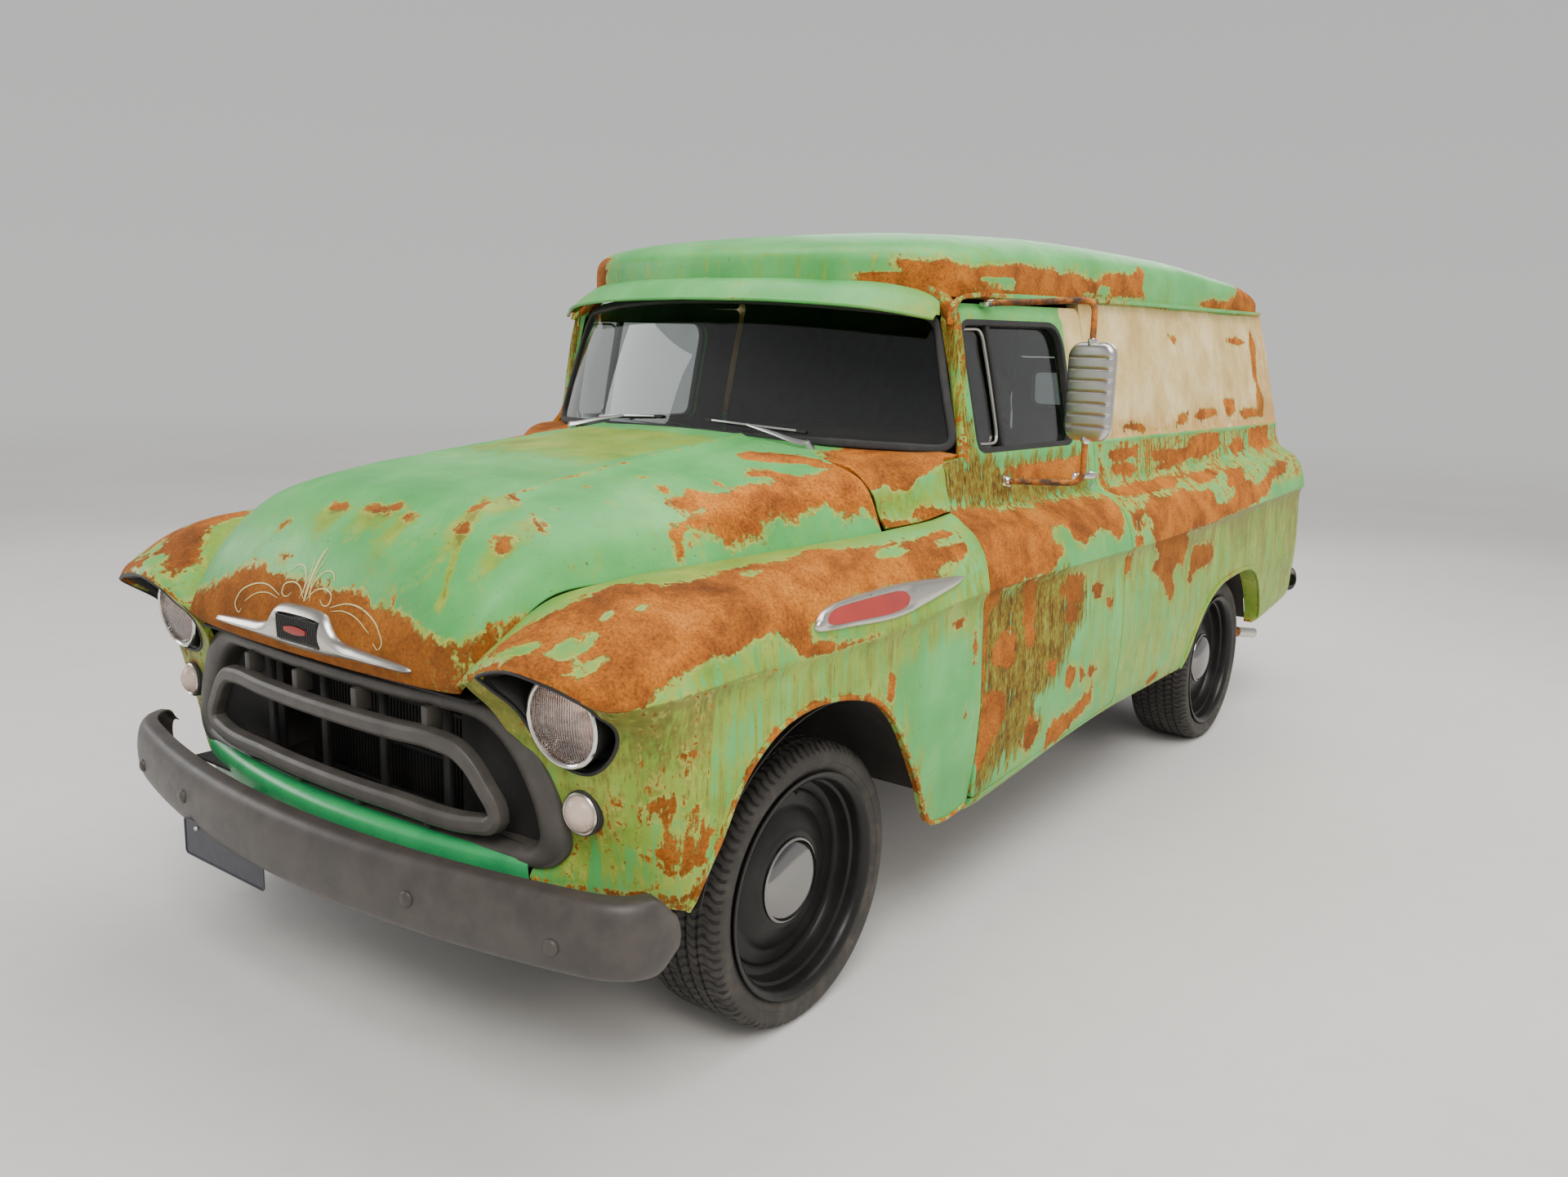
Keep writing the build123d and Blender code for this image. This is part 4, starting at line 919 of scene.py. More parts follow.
# ---------------------------------------------------------------- where the paint has gone
# outlines in metres on the surfaces; sides and fenders as (y, z), hood as (x, y), fender tops as (y, x - z)
SIDE_RUST = {
    "shoulder": [(-0.830, 1.166), (-0.749, 1.151), (-0.643, 1.143), (-0.557, 1.130), (-0.440, 1.124), (-0.319, 1.125), (-0.183, 1.130), (-0.078, 1.126), (0.031, 1.122), (0.134, 1.115), (0.171, 1.102), (0.147, 1.074), (0.123, 1.028),
                 (0.067, 0.993), (0.037, 1.028), (-0.055, 1.044), (-0.145, 1.030), (-0.192, 1.012), (-0.257, 1.034), (-0.267, 1.078), (-0.356, 1.079), (-0.413, 1.042), (-0.341, 1.013), (-0.364, 0.993), (-0.433, 0.964),
                 (-0.599, 0.955), (-0.708, 0.950), (-0.840, 0.945)],
    "belt": [(-0.502, 1.235), (-0.285, 1.241), (-0.140, 1.245), (0.096, 1.251), (0.090, 1.201), (-0.037, 1.184), (-0.290, 1.200), (-0.440, 1.216)],
    "door_a": [(-0.810, 0.943), (-0.730, 0.943), (-0.722, 0.909), (-0.778, 0.900), (-0.810, 0.60)],
    "door_b": [(-0.656, 0.835), (-0.606, 0.798), (-0.616, 0.726), (-0.662, 0.713), (-0.741, 0.750), (-0.751, 0.780), (-0.700, 0.814)],
    "door_c": [(-0.583, 0.950), (-0.501, 0.950), (-0.488, 0.763), (-0.538, 0.756), (-0.561, 0.841)],
    "door_d": [(-0.790, 0.683), (-0.665, 0.647), (-0.653, 0.585), (-0.716, 0.525), (-0.739, 0.486), (-0.790, 0.44)],
    "door_e": [(-0.284, 0.931), (-0.159, 0.914), (-0.170, 0.828), (-0.265, 0.834), (-0.325, 0.882)],
    "door_f": [(-0.096, 0.874), (-0.003, 0.862), (-0.030, 0.824), (-0.082, 0.830)],
    "door_g": [(0.013, 0.818), (0.078, 0.805), (0.060, 0.774), (0.027, 0.787)],
    "door_h": [(-0.284, 0.837), (-0.188, 0.823), (-0.203, 0.777), (-0.296, 0.777)],
    "door_i": [(-0.409, 0.687), (-0.337, 0.682), (-0.328, 0.640), (-0.382, 0.643)],
    "door_j": [(-0.254, 0.650), (-0.181, 0.623), (-0.212, 0.560), (-0.258, 0.595)],
    "door_k": [(-0.160, 0.630), (-0.100, 0.596), (-0.123, 0.565)],
    "door_l": [(-0.078, 0.615), (-0.018, 0.600), (-0.062, 0.562)],
    "door_m": [(-0.025, 0.535), (-0.025, 0.496), (-0.118, 0.456), (-0.200, 0.430), (-0.330, 0.395), (-0.348, 0.467), (-0.301, 0.495), (-0.187, 0.492), (-0.116, 0.512)],
    "door_n": [(-0.481, 0.546), (-0.410, 0.510), (-0.423, 0.470), (-0.465, 0.440), (-0.515, 0.460)],
    "rear_a": [(0.219, 1.060), (0.342, 1.066), (0.472, 1.097), (0.613, 1.084), (0.775, 1.103), (0.878, 1.088), (1.042, 1.086), (1.042, 1.030), (1.232, 1.034), (1.295, 1.069), (1.433, 1.100), (1.556, 1.062), (1.813, 1.120),
               (2.159, 1.157), (1.974, 1.090), (1.789, 1.079), (1.728, 1.040), (1.541, 1.001), (1.332, 0.990), (0.983, 0.970), (0.668, 0.962), (0.387, 0.970), (0.377, 1.030), (0.333, 1.058), (0.218, 1.036)],
    "rear_b": [(0.227, 1.138), (0.390, 1.130), (0.577, 1.139), (0.729, 1.143), (0.890, 1.139), (0.733, 1.112), (0.546, 1.108), (0.370, 1.110), (0.236, 1.115)],
    "rear_c": [(0.945, 1.140), (1.177, 1.146), (1.308, 1.145), (1.132, 1.113), (0.946, 1.110)],
    "rear_d": [(1.314, 1.140), (1.527, 1.138), (1.389, 1.088), (1.219, 1.080)],
    "band_a": [(0.244, 1.256), (0.402, 1.257), (0.570, 1.266), (0.542, 1.226), (0.445, 1.222), (0.308, 1.228)],
    "band_b": [(0.261, 1.208), (0.491, 1.206), (0.553, 1.180), (0.470, 1.166), (0.321, 1.182)],
    "band_c": [(1.112, 1.271), (1.428, 1.280), (1.476, 1.226), (1.290, 1.193), (1.120, 1.201)],
    "band_d": [(1.540, 1.224), (1.761, 1.247), (1.774, 1.193), (1.582, 1.180)],
    "band_e": [(1.851, 1.283), (2.126, 1.286), (2.117, 1.201), (1.922, 1.182), (1.840, 1.212)],
    "band_f": [(0.640, 1.224), (1.016, 1.225), (1.254, 1.225), (1.221, 1.190), (0.856, 1.188)],
    "band_g": [(0.576, 1.184), (0.806, 1.190), (1.009, 1.182), (0.764, 1.168)],
    "low_a": [(0.345, 1.000), (0.680, 1.000), (0.771, 0.917), (0.730, 0.836), (0.660, 0.845), (0.626, 0.812), (0.637, 0.745), (0.604, 0.712), (0.583, 0.752), (0.495, 0.819), (0.415, 0.856), (0.435, 0.890), (0.484, 0.893), (0.391, 0.959)],
    "low_b": [(0.832, 0.891), (1.041, 0.879), (1.051, 0.828), (0.966, 0.798), (0.848, 0.803), (0.800, 0.751), (0.768, 0.774), (0.813, 0.836)],
    "low_c": [(0.199, 0.988), (0.268, 0.989), (0.271, 0.963), (0.213, 0.952)],
    "low_d": [(0.160, 0.930), (0.222, 0.930), (0.206, 0.880), (0.172, 0.870)],
    "low_e": [(0.480, 0.452), (0.580, 0.478), (0.575, 0.446), (0.49, 0.430)],
    "cream_a": [(0.400, 1.335), (0.611, 1.334), (0.652, 1.305), (0.509, 1.318)],
    "cream_b": [(1.164, 1.348), (1.231, 1.367), (1.425, 1.373), (1.451, 1.352), (1.220, 1.332)],
    "cream_c": [(1.535, 1.403), (1.676, 1.412), (1.694, 1.358), (1.582, 1.339)],
    "cream_d": [(1.730, 1.357), (1.997, 1.363), (2.024, 1.329), (1.792, 1.323)],
    "cream_e": [(0.950, 1.315), (0.989, 1.352), (1.111, 1.369), (1.070, 1.331)],
    "cream_f": [(1.632, 1.648), (1.796, 1.663), (1.919, 1.644), (1.786, 1.630)],
    "cream_g": [(0.960, 1.648), (1.072, 1.646), (1.016, 1.616)],
    "cream_h": [(2.033, 1.464), (2.113, 1.407), (2.083, 1.327), (2.004, 1.329)],
    "cream_i": [(2.003, 1.711), (2.055, 1.634), (2.033, 1.464), (1.990, 1.509), (1.974, 1.632)],
}
SIDE_OLIVE = {
    "door": [(-0.830, 0.945), (-0.700, 0.955), (-0.588, 0.955), (-0.465, 0.960), (-0.347, 0.955), (-0.116, 0.877), (-0.145, 0.784), (-0.250, 0.706), (-0.274, 0.646), (-0.343, 0.627), (-0.439, 0.584), (-0.416, 0.507),
             (-0.508, 0.474), (-0.582, 0.445), (-0.690, 0.420), (-0.820, 0.360)],
    "belt": [(-0.830, 1.290), (-0.664, 1.288), (-0.606, 1.277), (-0.531, 1.258), (-0.420, 1.248), (-0.284, 1.249), (-0.139, 1.253), (-0.004, 1.258), (0.097, 1.256), (0.090, 1.201), (0.081, 1.145), (-0.111, 1.128),
             (-0.312, 1.128), (-0.434, 1.127), (-0.566, 1.134), (-0.639, 1.146), (-0.746, 1.154), (-0.830, 1.171)],
    "pillar": [(-0.665, 1.690), (-0.642, 1.656), (-0.648, 1.588), (-0.643, 1.499), (-0.646, 1.403), (-0.640, 1.334), (-0.642, 1.285), (-0.714, 1.280), (-0.700, 1.349), (-0.690, 1.444), (-0.680, 1.553), (-0.68, 1.65)],
}
HOOD_RUST = {
    "rear": [(0.515, -1.561), (0.519, -1.487), (0.548, -1.407), (0.550, -1.316), (0.575, -1.231), (0.545, -1.225), (0.518, -1.272), (0.498, -1.230), (0.545, -1.184), (0.580, -1.150), (0.590, -1.110), (0.598, -1.035), (0.580, -1.030),
             (0.544, -1.078), (0.562, -1.003), (0.625, -0.960), (0.675, -0.950), (0.740, -0.950), (0.706, -1.000), (0.692, -1.020), (0.688, -1.060), (0.676, -1.100), (0.651, -1.154), (0.643, -1.210), (0.637, -1.257), (0.627, -1.328),
             (0.625, -1.394), (0.618, -1.468), (0.599, -1.507), (0.589, -1.535), (0.577, -1.576), (0.572, -1.547), (0.580, -1.490), (0.567, -1.490), (0.539, -1.556)],
    "top": [(0.395, -1.183), (0.385, -1.115), (0.442, -1.070), (0.520, -1.015), (0.581, -1.003), (0.535, -1.072), (0.493, -1.150), (0.448, -1.190)],
}
# x, y, half length across, half width
HOOD_SPOTS = [(-0.086, -2.002, 0.042, 0.010), (0.050, -1.990, 0.058, 0.015), (0.085, -1.975, 0.030, 0.012), (0.157, -1.995, 0.028, 0.011), (0.335, -1.992, 0.018, 0.013), (0.306, -1.927, 0.014, 0.030), (0.334, -1.854, 0.034, 0.008),
              (0.451, -1.886, 0.034, 0.018), (0.446, -1.976, 0.026, 0.022), (0.429, -1.824, 0.032, 0.006), (0.464, -1.694, 0.016, 0.008), (0.473, -1.532, 0.022, 0.012), (0.509, -1.484, 0.016, 0.015), (0.513, -1.383, 0.028, 0.010),
              (0.584, -1.606, 0.020, 0.022), (0.605, -1.474, 0.010, 0.030), (0.393, -1.521, 0.015, 0.006), (-0.134, -2.118, 0.040, 0.006), (-0.270, -1.821, 0.012, 0.006), (0.365, -1.669, 0.010, 0.006), (-0.22, -2.06, 0.014, 0.012),
              (-0.35, -1.70, 0.030, 0.010), (-0.44, -1.52, 0.022, 0.014), (-0.50, -1.33, 0.035, 0.016), (-0.30, -1.25, 0.020, 0.008), (-0.47, -1.86, 0.024, 0.014)]
FEN_TOP = {
    "rust": [(-2.170, -0.300), (-2.140, -0.385), (-2.112, -0.395), (-2.069, -0.405), (-2.024, -0.385), (-1.977, -0.375), (-1.890, -0.385), (-1.858, -0.335), (-1.791, -0.305), (-1.709, -0.310), (-1.590, -0.312), (-1.490, -0.290),
             (-1.386, -0.322), (-1.325, -0.275), (-1.205, -0.267), (-1.107, -0.256), (-1.023, -0.246), (-0.890, -0.250), (-0.880, -0.210), (-0.861, -0.171), (-0.878, -0.140), (-0.926, -0.115), (-0.978, -0.125), (-1.050, -0.107),
             (-0.955, -0.075), (-1.175, -0.103), (-1.308, -0.107), (-1.416, -0.108), (-1.514, -0.084), (-1.596, -0.049), (-1.579, -0.011), (-1.466, 0.018), (-1.311, 0.030), (-1.519, 0.030), (-1.632, 0.017), (-1.657, -0.026), (-1.711, -0.073),
             (-1.777, -0.056), (-1.851, -0.039), (-1.928, -0.041), (-1.981, -0.033), (-2.023, -0.030), (-2.055, 0.000), (-2.090, 0.020), (-2.170, 0.000)],
}
# y, x - z, half length, half width
FEN_ISLES = [(-2.097, -0.234, 0.040, 0.030), (-2.109, -0.154, 0.026, 0.020), (-2.136, -0.318, 0.026, 0.026), (-1.944, -0.272, 0.030, 0.011), (-2.009, -0.276, 0.026, 0.007), (-1.172, -0.215, 0.060, 0.014), (-1.461, -0.362, 0.090, 0.016),
             (-1.625, -0.274, 0.030, 0.006), (-1.854, -0.307, 0.050, 0.006), (-1.30, -0.330, 0.060, 0.014), (-0.93, -0.20, 0.05, 0.012)]
ROOF_RUST = {
    "main": [(-0.700, 1.791), (-0.616, 1.802), (-0.575, 1.787), (-0.517, 1.779), (-0.375, 1.808), (-0.242, 1.818), (-0.086, 1.813), (0.051, 1.810), (0.198, 1.808), (0.260, 1.796), (0.342, 1.797), (0.385, 1.830), (0.628, 1.846),
             (0.735, 1.880), (0.744, 1.844), (0.725, 1.816), (0.753, 1.771), (0.562, 1.765), (0.426, 1.762), (0.323, 1.765), (0.229, 1.768), (0.177, 1.750), (-0.010, 1.735), (-0.198, 1.725), (-0.332, 1.715), (-0.500, 1.700),
             (-0.620, 1.68), (-0.700, 1.68)],
    "rear": [(1.900, 1.88), (2.05, 1.90), (2.20, 1.86), (2.42, 1.78), (2.38, 1.74), (1.954, 1.770), (1.670, 1.768), (1.333, 1.774), (1.377, 1.794), (1.714, 1.806), (1.794, 1.832)],
}
ROOF_ISLES = {"a": [(-0.478, 1.765), (-0.272, 1.771), (-0.296, 1.745), (-0.437, 1.742), (-0.510, 1.726)], "b": [(0.342, 1.797), (0.439, 1.790), (0.406, 1.757), (0.328, 1.762)]}


def outline_field(a, b, outline):
    """Signed distance to an outline, positive inside."""
    P = np.stack([a, b], 1)
    Q = np.array(outline, float)
    E = np.roll(Q, -1, 0) - Q
    best = np.full(len(P), 9.0)
    odd = np.zeros(len(P), bool)
    for q, e in zip(Q, E):
        w = P - q
        t = np.clip((w @ e) / max(1e-12, e @ e), 0, 1)
        best = np.minimum(best, np.hypot(*(w - t[:, None] * e).T))
        r = q + e
        cross = (q[1] > P[:, 1]) != (r[1] > P[:, 1])
        with np.errstate(divide="ignore", invalid="ignore"):
            xc = q[0] + (P[:, 1] - q[1]) * e[0] / (e[1] if abs(e[1]) > 1e-12 else 1e-12)
        odd ^= cross & (P[:, 0] < xc)
    return np.where(odd, best, -best)


def patches(a, b, table, soft=0.085, top=0.80, low=0.0):
    """How strongly the outlines of a table cover each point, one half on their edges."""
    out = np.full(len(a), low)
    for outline in table.values():
        q = np.array(outline)
        size = min(1.0, 0.35 + 6.0 * min(np.ptp(q[:, 0]), np.ptp(q[:, 1])))
        near_it = (a > q[:, 0].min() - 0.12) & (a < q[:, 0].max() + 0.12) & (b > q[:, 1].min() - 0.12) & (b < q[:, 1].max() + 0.12)
        if near_it.any():
            d = outline_field(a[near_it], b[near_it], outline)
            out[near_it] = np.maximum(out[near_it], np.clip(0.52 + d / (soft * size), 0, top))
    return out


def spots(a, b, table, grow=1.0):
    """Small oval marks, 0.62 in the middle and fading out."""
    out = np.zeros(len(a))
    for ca, cb, ra, rb in table:
        d = np.hypot((a - ca) / (ra * grow + 0.006), (b - cb) / (rb * grow + 0.006))
        out = np.maximum(out, 0.66 - 0.30 * d)
    return np.maximum(out, 0)


# ---------------------------------------------------------------- body side tables
# y, sill z, crease z, rail x, rail z
STATIONS = [
    (-1.00, 0.345, 0.955, 0.690, 1.690),
    (-0.76, 0.341, 0.955, 0.691, 1.694),
    (-0.56, 0.356, 0.956, 0.697, 1.706),
    (-0.15, 0.392, 0.957, 0.702, 1.718),
    (0.20, 0.410, 0.957, 0.703, 1.728),
    (0.50, 0.411, 0.958, 0.703, 1.737),
    (0.90, 0.411, 0.968, 0.703, 1.744),
    (1.30, 0.418, 0.984, 0.703, 1.752),
    (1.90, 0.451, 1.004, 0.700, 1.763),
    (2.46, 0.520, 1.022, 0.690, 1.774),
]
CREASE_X = 0.955
# levels: share of crease height or offset from the crease, outer x, inner x, rear face y, corner radius
LOW = [(0.000, 0.900, 0.868), (0.012, 0.917, 0.868), (0.040, 0.926, 0.868), (0.150, 0.935, 0.868), (0.300, 0.9425, 0.868), (0.430, 0.9405, 0.868)]
UP = [(-0.055, 0.9365, 0.868), (-0.022, 0.9390, 0.869), (-0.009, 0.9445, 0.870), (0.000, 0.9530, 0.870), (0.010, 0.9525, 0.870),
      (0.070, 0.9370, 0.862), (0.104, 0.9230, 0.846), (0.131, 0.9020, 0.826), (0.153, 0.8700, 0.800), (0.170, 0.8400, 0.782),
      (0.186, 0.8205, 0.768), (0.210, 0.8110, 0.762)]
TOP_LEVELS = [(1.215, 0.8055, 0.756), (1.278, 0.7965, 0.750), (1.296, 0.7930, 0.748)]


def rear_y(z):
    return np.interp(z, [0.3, 1.256, 1.296, 1.712, 1.78], [2.420, 2.420, 2.412, 2.370, 2.362])


def corner_r(z):
    return np.interp(z, [0.3, 1.256, 1.296, 1.712, 1.78], [0.185, 0.185, 0.165, 0.185, 0.19])


def side_column(y, inner=False):
    """(x, z) of every level at a station."""
    sill, crease, rx, rz = (tab(STATIONS, c, y)[0] for c in (1, 2, 3, 4))
    rows = []
    for d, xo, xi in LOW:
        k = (crease - 0.075 - sill) / 0.540
        rows.append((xi if inner else xo, sill + d * k))
    for d, xo, xi in UP:
        rows.append((xi if inner else xo, crease + d))
    for z, xo, xi in TOP_LEVELS:
        rows.append((xi if inner else xo, max(z, rows[-1][1] + 0.012)))
    x0, z0 = rows[-1]
    xe = rx - (0.042 if inner else 0)
    for s in (0.25, 0.5, 0.75, 1.0):
        rows.append((x0 + (xe - x0) * s + (0.0 if inner else 0.004 * math.sin(math.pi * s)), z0 + (rz - z0) * s))
    return np.array(rows)


SIDE_Y = [-0.86, -0.76, -0.60, -0.38, -0.15, 0.10, 0.35, 0.60, 0.90, 1.20, 1.50, 1.80, 2.00, 2.12, 2.20]


def body_sheet(inner=False):
    C, U = [], []
    for y in SIDE_Y:
        c = side_column(y, inner)
        C.append([(x, y, z) for x, z in c])
        U.append(y)
    # rear corner and rear face
    last = side_column(2.24, inner)
    grow = 0.042 if inner else 0.0
    u = 2.235
    prev = None
    arcs = [0, 11.25, 22.5, 33.75, 45, 56.25, 67.5, 78.75, 90]
    for a in arcs:
        col = []
        for x, z in last:
            r = corner_r(z) - (0.03 if inner else 0)
            ry = rear_y(z) - grow
            t = math.radians(a)
            col.append((x - r + r * math.cos(t), ry - r + r * math.sin(t), z))
        C.append(col)
        U.append(u)
        u += 0.185 * math.radians(11.25)
    n_arc = len(C)
    base = np.array(C[-1])
    u -= 0.185 * math.radians(11.25)
    for s in (0.12, 0.3, 0.5, 0.75, 1.0):
        col = base.copy()
        col[:, 0] = base[:, 0] * (1 - s)
        col[:, 1] = base[:, 1] + 0.010 * math.sin(s * math.pi / 2)
        C.append(col)
        U.append(u + 0.77 * s)
    return Sheet(C, U)


BODY_OUT = body_sheet()
BODY_IN = body_sheet(True)
BODY_IN.U, BODY_IN.V = BODY_OUT.U, BODY_OUT.V
U_END = BODY_OUT.U[-1]
V_END = BODY_OUT.V[-1]


def side_uv(points, ulim=(-0.86, 2.2)):
    """(y, z) on the side to the surface's own coordinates."""
    P = np.asarray(points, float)
    u = P[:, 0].copy()
    lo, hi = np.zeros(len(P)), np.full(len(P), V_END)
    for _ in range(40):
        mid = (lo + hi) / 2
        z = BODY_OUT(u, mid)[:, 2]
        lo, hi = np.where(z < P[:, 1], mid, lo), np.where(z < P[:, 1], hi, mid)
    return np.stack([u, (lo + hi) / 2], 1)


def rear_uv(points):
    """(x, z) on the rear face to the surface's own coordinates."""
    P = np.asarray(points, float)
    return on_sheet(BODY_OUT, P, [0, 2], (BODY_OUT.U[-6], U_END), (0, V_END))


def ellipse_mask(P, cy, cz, ry, rz, amount=1.0, soft=0.5, axes=(1, 2)):
    d = np.sqrt(((P[:, axes[0]] - cy) / ry) ** 2 + ((P[:, axes[1]] - cz) / rz) ** 2)
    return amount * (1 - smoothstep(1 - soft, 1 + soft, d))


def side_masks(P, N, seed=0.0):
    """Where the sides have gone to rust, kept their cream band, or been stained by runs."""
    x, y, z = np.abs(P[:, 0]), P[:, 1], P[:, 2]
    left = P[:, 0] > 0
    crease = tab(STATIONS, 2, y)
    sill = tab(STATIONS, 1, y)
    n = len(P)
    # the passenger's side wears in the same places, a little shifted
    yy = np.where(left, y, y + 0.045 * np.sin(3.1 * z + 0.7) - 0.02)
    zz = np.where(left, z, z + 0.010 * np.sin(7.0 * y))
    rust = np.maximum(0.15, patches(yy, zz, SIDE_RUST))
    rear = smoothstep(2.28, 2.40, y)
    low = z < crease - 0.006
    edge = np.abs(N[:, 2]) > 0.9
    rust = np.maximum(rust, (1 - smoothstep(0.002, 0.030, z - sill)) * 0.50)
    d = np.abs(np.hypot(y - 1.36, (z - 0.335) * 1.05) - 0.41)
    rust = np.maximum(rust, (1 - smoothstep(0.0, 0.035, d)) * (z > 0.45) * 0.49)
    rust = np.maximum(rust, 0.50 * (smoothstep(crease + 0.02, crease + 0.06, z) * (z < 1.28) * (y > 0.2)) * 0.86)
    rust = np.maximum(rust, rear * 0.50 * smoothstep(crease + 0.0, crease + 0.05, z) * (z < 1.25) * 0.9)
    rust = np.maximum(rust, rear * 0.50 * (1 - smoothstep(0.0, 0.09, z - sill)) * 0.95)
    cream = smoothstep(1.292, 1.300, z) * smoothstep(0.010, 0.030, y) * (y < 2.60)
    cream = cream * smooth_down(2.255, 2.345, y)
    rust = np.maximum(rust, cream * (1 - smoothstep(1.300, 1.335, z)) * 0.455)
    stain = np.full(n, 0.40)
    stain = np.where(low, 0.44 + 0.20 * smoothstep(0.1, 1.3, y), stain)
    stain = stain + 0.22 * (1 - smoothstep(0.0, 0.20, crease - z)) * low
    stain = stain + 0.13 * low * smoothstep(-0.40, 0.10, y) * smooth_down(2.2, 2.3, y)
    stain = np.where(cream > 0.5, 0.16 + 0.35 * (1 - smoothstep(1.30, 1.42, z)) + 0.3 * smoothstep(1.9, 2.1, y), stain)
    near_rust = smoothstep(0.15, 0.45, rust)
    stain = stain + 0.18 * near_rust
    olive = patches(yy, zz, SIDE_OLIVE, soft=0.17, top=0.85)
    olive = np.maximum(olive, 0.46 * smoothstep(crease + 0.17, crease + 0.20, z) * (z < 1.285) * (y > 0.2))
    streak = np.where(low, 0.62, 0.30)
    streak = np.where(cream > 0.5, 0.35, streak)
    return {"rust": rust, "cream": cream, "stain": stain, "streak": streak, "vert": 1 - np.abs(N[:, 2]), "olive": olive}


# ---------------------------------------------------------------- doors
DOOR_YZ = [(-0.797, 0.381), (-0.797, 1.259), (-0.776, 1.273), (-0.694, 1.280), (-0.669, 1.306), (-0.661, 1.648), (-0.634, 1.686), (0.148, 1.706), (0.169, 1.688), (0.169, 0.441)]
DOOR_R = [0.02, 0.012, 0.02, 0.02, 0.03, 0.03, 0.04, 0.02, 0.02, 0.02]
WINDOW_YZ = [(-0.624, 1.292), (0.004, 1.292), (0.004, 1.652), (-0.624, 1.640)]
WINDOW_R = [0.045, 0.045, 0.085, 0.050]


def smooth_down(a, b, x):
    return 1 - smoothstep(a, b, x)


def door_part():
    out = side_uv(refine(fillet(DOOR_YZ, DOOR_R, 5), 0.022))
    win = side_uv(refine(fillet(WINDOW_YZ, WINDOW_R, 8), 0.016))

    def lift(uv, P):
        y, z = P[:, 1], P[:, 2]
        dy = np.maximum(np.maximum(-0.624 - y, y - 0.004), 0)
        dz = np.maximum(np.maximum(1.292 - z, z - 1.648), 0)
        d = np.hypot(dy, dz)
        return 0.0075 * smooth_down(0.020, 0.034, d) - 0.003 * smooth_down(0.002, 0.008, d)

    class Inner:
        def __call__(self, u, v):
            p = BODY_OUT(u, v)
            q = BODY_IN(u, v)
            # the upper frame is 30 mm thick, the lower door is deep
            s = smoothstep(1.25, 1.30, p[:, 2])[:, None]
            nrm = normals(BODY_OUT, np.asarray(u), np.asarray(v))
            sgn = np.where(nrm[:, 0:1] > 0, 1.0, -1.0)
            thin = p - nrm * sgn * 0.030
            res = q * (1 - s) + thin * s
            # pressed inner panel
            y, z = p[:, 1], p[:, 2]
            inset = smoothstep(-0.72, -0.68, y) * smooth_down(0.05, 0.09, y) * smoothstep(0.47, 0.52, z) * smooth_down(1.02, 1.07, z)
            res[:, 0] += 0.010 * inset
            return res

    flip = normals(BODY_OUT, np.array([0.0]), np.array([0.4]))[0, 0] < 0
    return panel(BODY_OUT, out, [win], du=0.020, dv=0.016, Sin=Inner(), hem=0.003, flip=flip, lift=lift)


FLIP_BODY = bool(normals(BODY_OUT, np.array([0.0]), np.array([0.4]))[0, 0] < 0)
door = door_part()
door_l = make("door_shell_left", door, MAT["body_paint"], "door_l", ["door_left"], attrs=side_masks)
door_r = make("door_shell_right", flip_x(door), MAT["body_paint"], "door_r", ["door_right"], attrs=side_masks)


def side_point(y, z, out=0.0):
    uv = side_uv([(y, z)])
    p = BODY_OUT(uv[:, 0], uv[:, 1])[0]
    n = normals(BODY_OUT, uv[:, 0], uv[:, 1], FLIP_BODY)[0]
    return p + n * out, n


def side_path(yz, out=0.0, step=0.02, closed=True):
    uv = side_uv(refine(yz, step, closed))
    P = BODY_OUT(uv[:, 0], uv[:, 1])
    N = normals(BODY_OUT, uv[:, 0], uv[:, 1], FLIP_BODY)
    return P + N * out, N


# door glass: one sheet behind the opening, a bright-edged vent bar and a dark channel round it
glass_loop = fillet([(-0.634, 1.284), (0.014, 1.284), (0.014, 1.662), (-0.634, 1.650)], [0.05, 0.05, 0.09, 0.05], 8)


def glass_part():
    P, N = side_path(glass_loop, -0.016, 0.02)
    c = P.mean(0)
    rings_o, rings_i = [], []
    V = []
    F = []
    m = len(P)
    steps = [1.0, 0.75, 0.5, 0.25]
    for off in (0.0, -0.005):
        base = len(V)
        for s in steps:
            V += list(c + (P - c) * s + N * off)
        V.append(c + N.mean(0) * off)
        for k in range(len(steps) - 1):
            for j in range(m):
                j2 = (j + 1) % m
                F.append((base + k * m + j, base + k * m + j2, base + (k + 1) * m + j2, base + (k + 1) * m + j))
        last = base + (len(steps) - 1) * m
        for j in range(m):
            F.append((last + j, last + (j + 1) % m, base + len(steps) * m))
    n1 = len(steps) * m + 1
    for j in range(m):
        F.append((j, (j + 1) % m, n1 + (j + 1) % m, n1 + j))
    return np.array(V), F


gp = glass_part()
make("door_window_left", gp, MAT["side_glass"], "door_l", ["door_glass_left"])
make("door_window_right", flip_x(gp), MAT["side_glass"], "door_r", ["door_glass_right"])

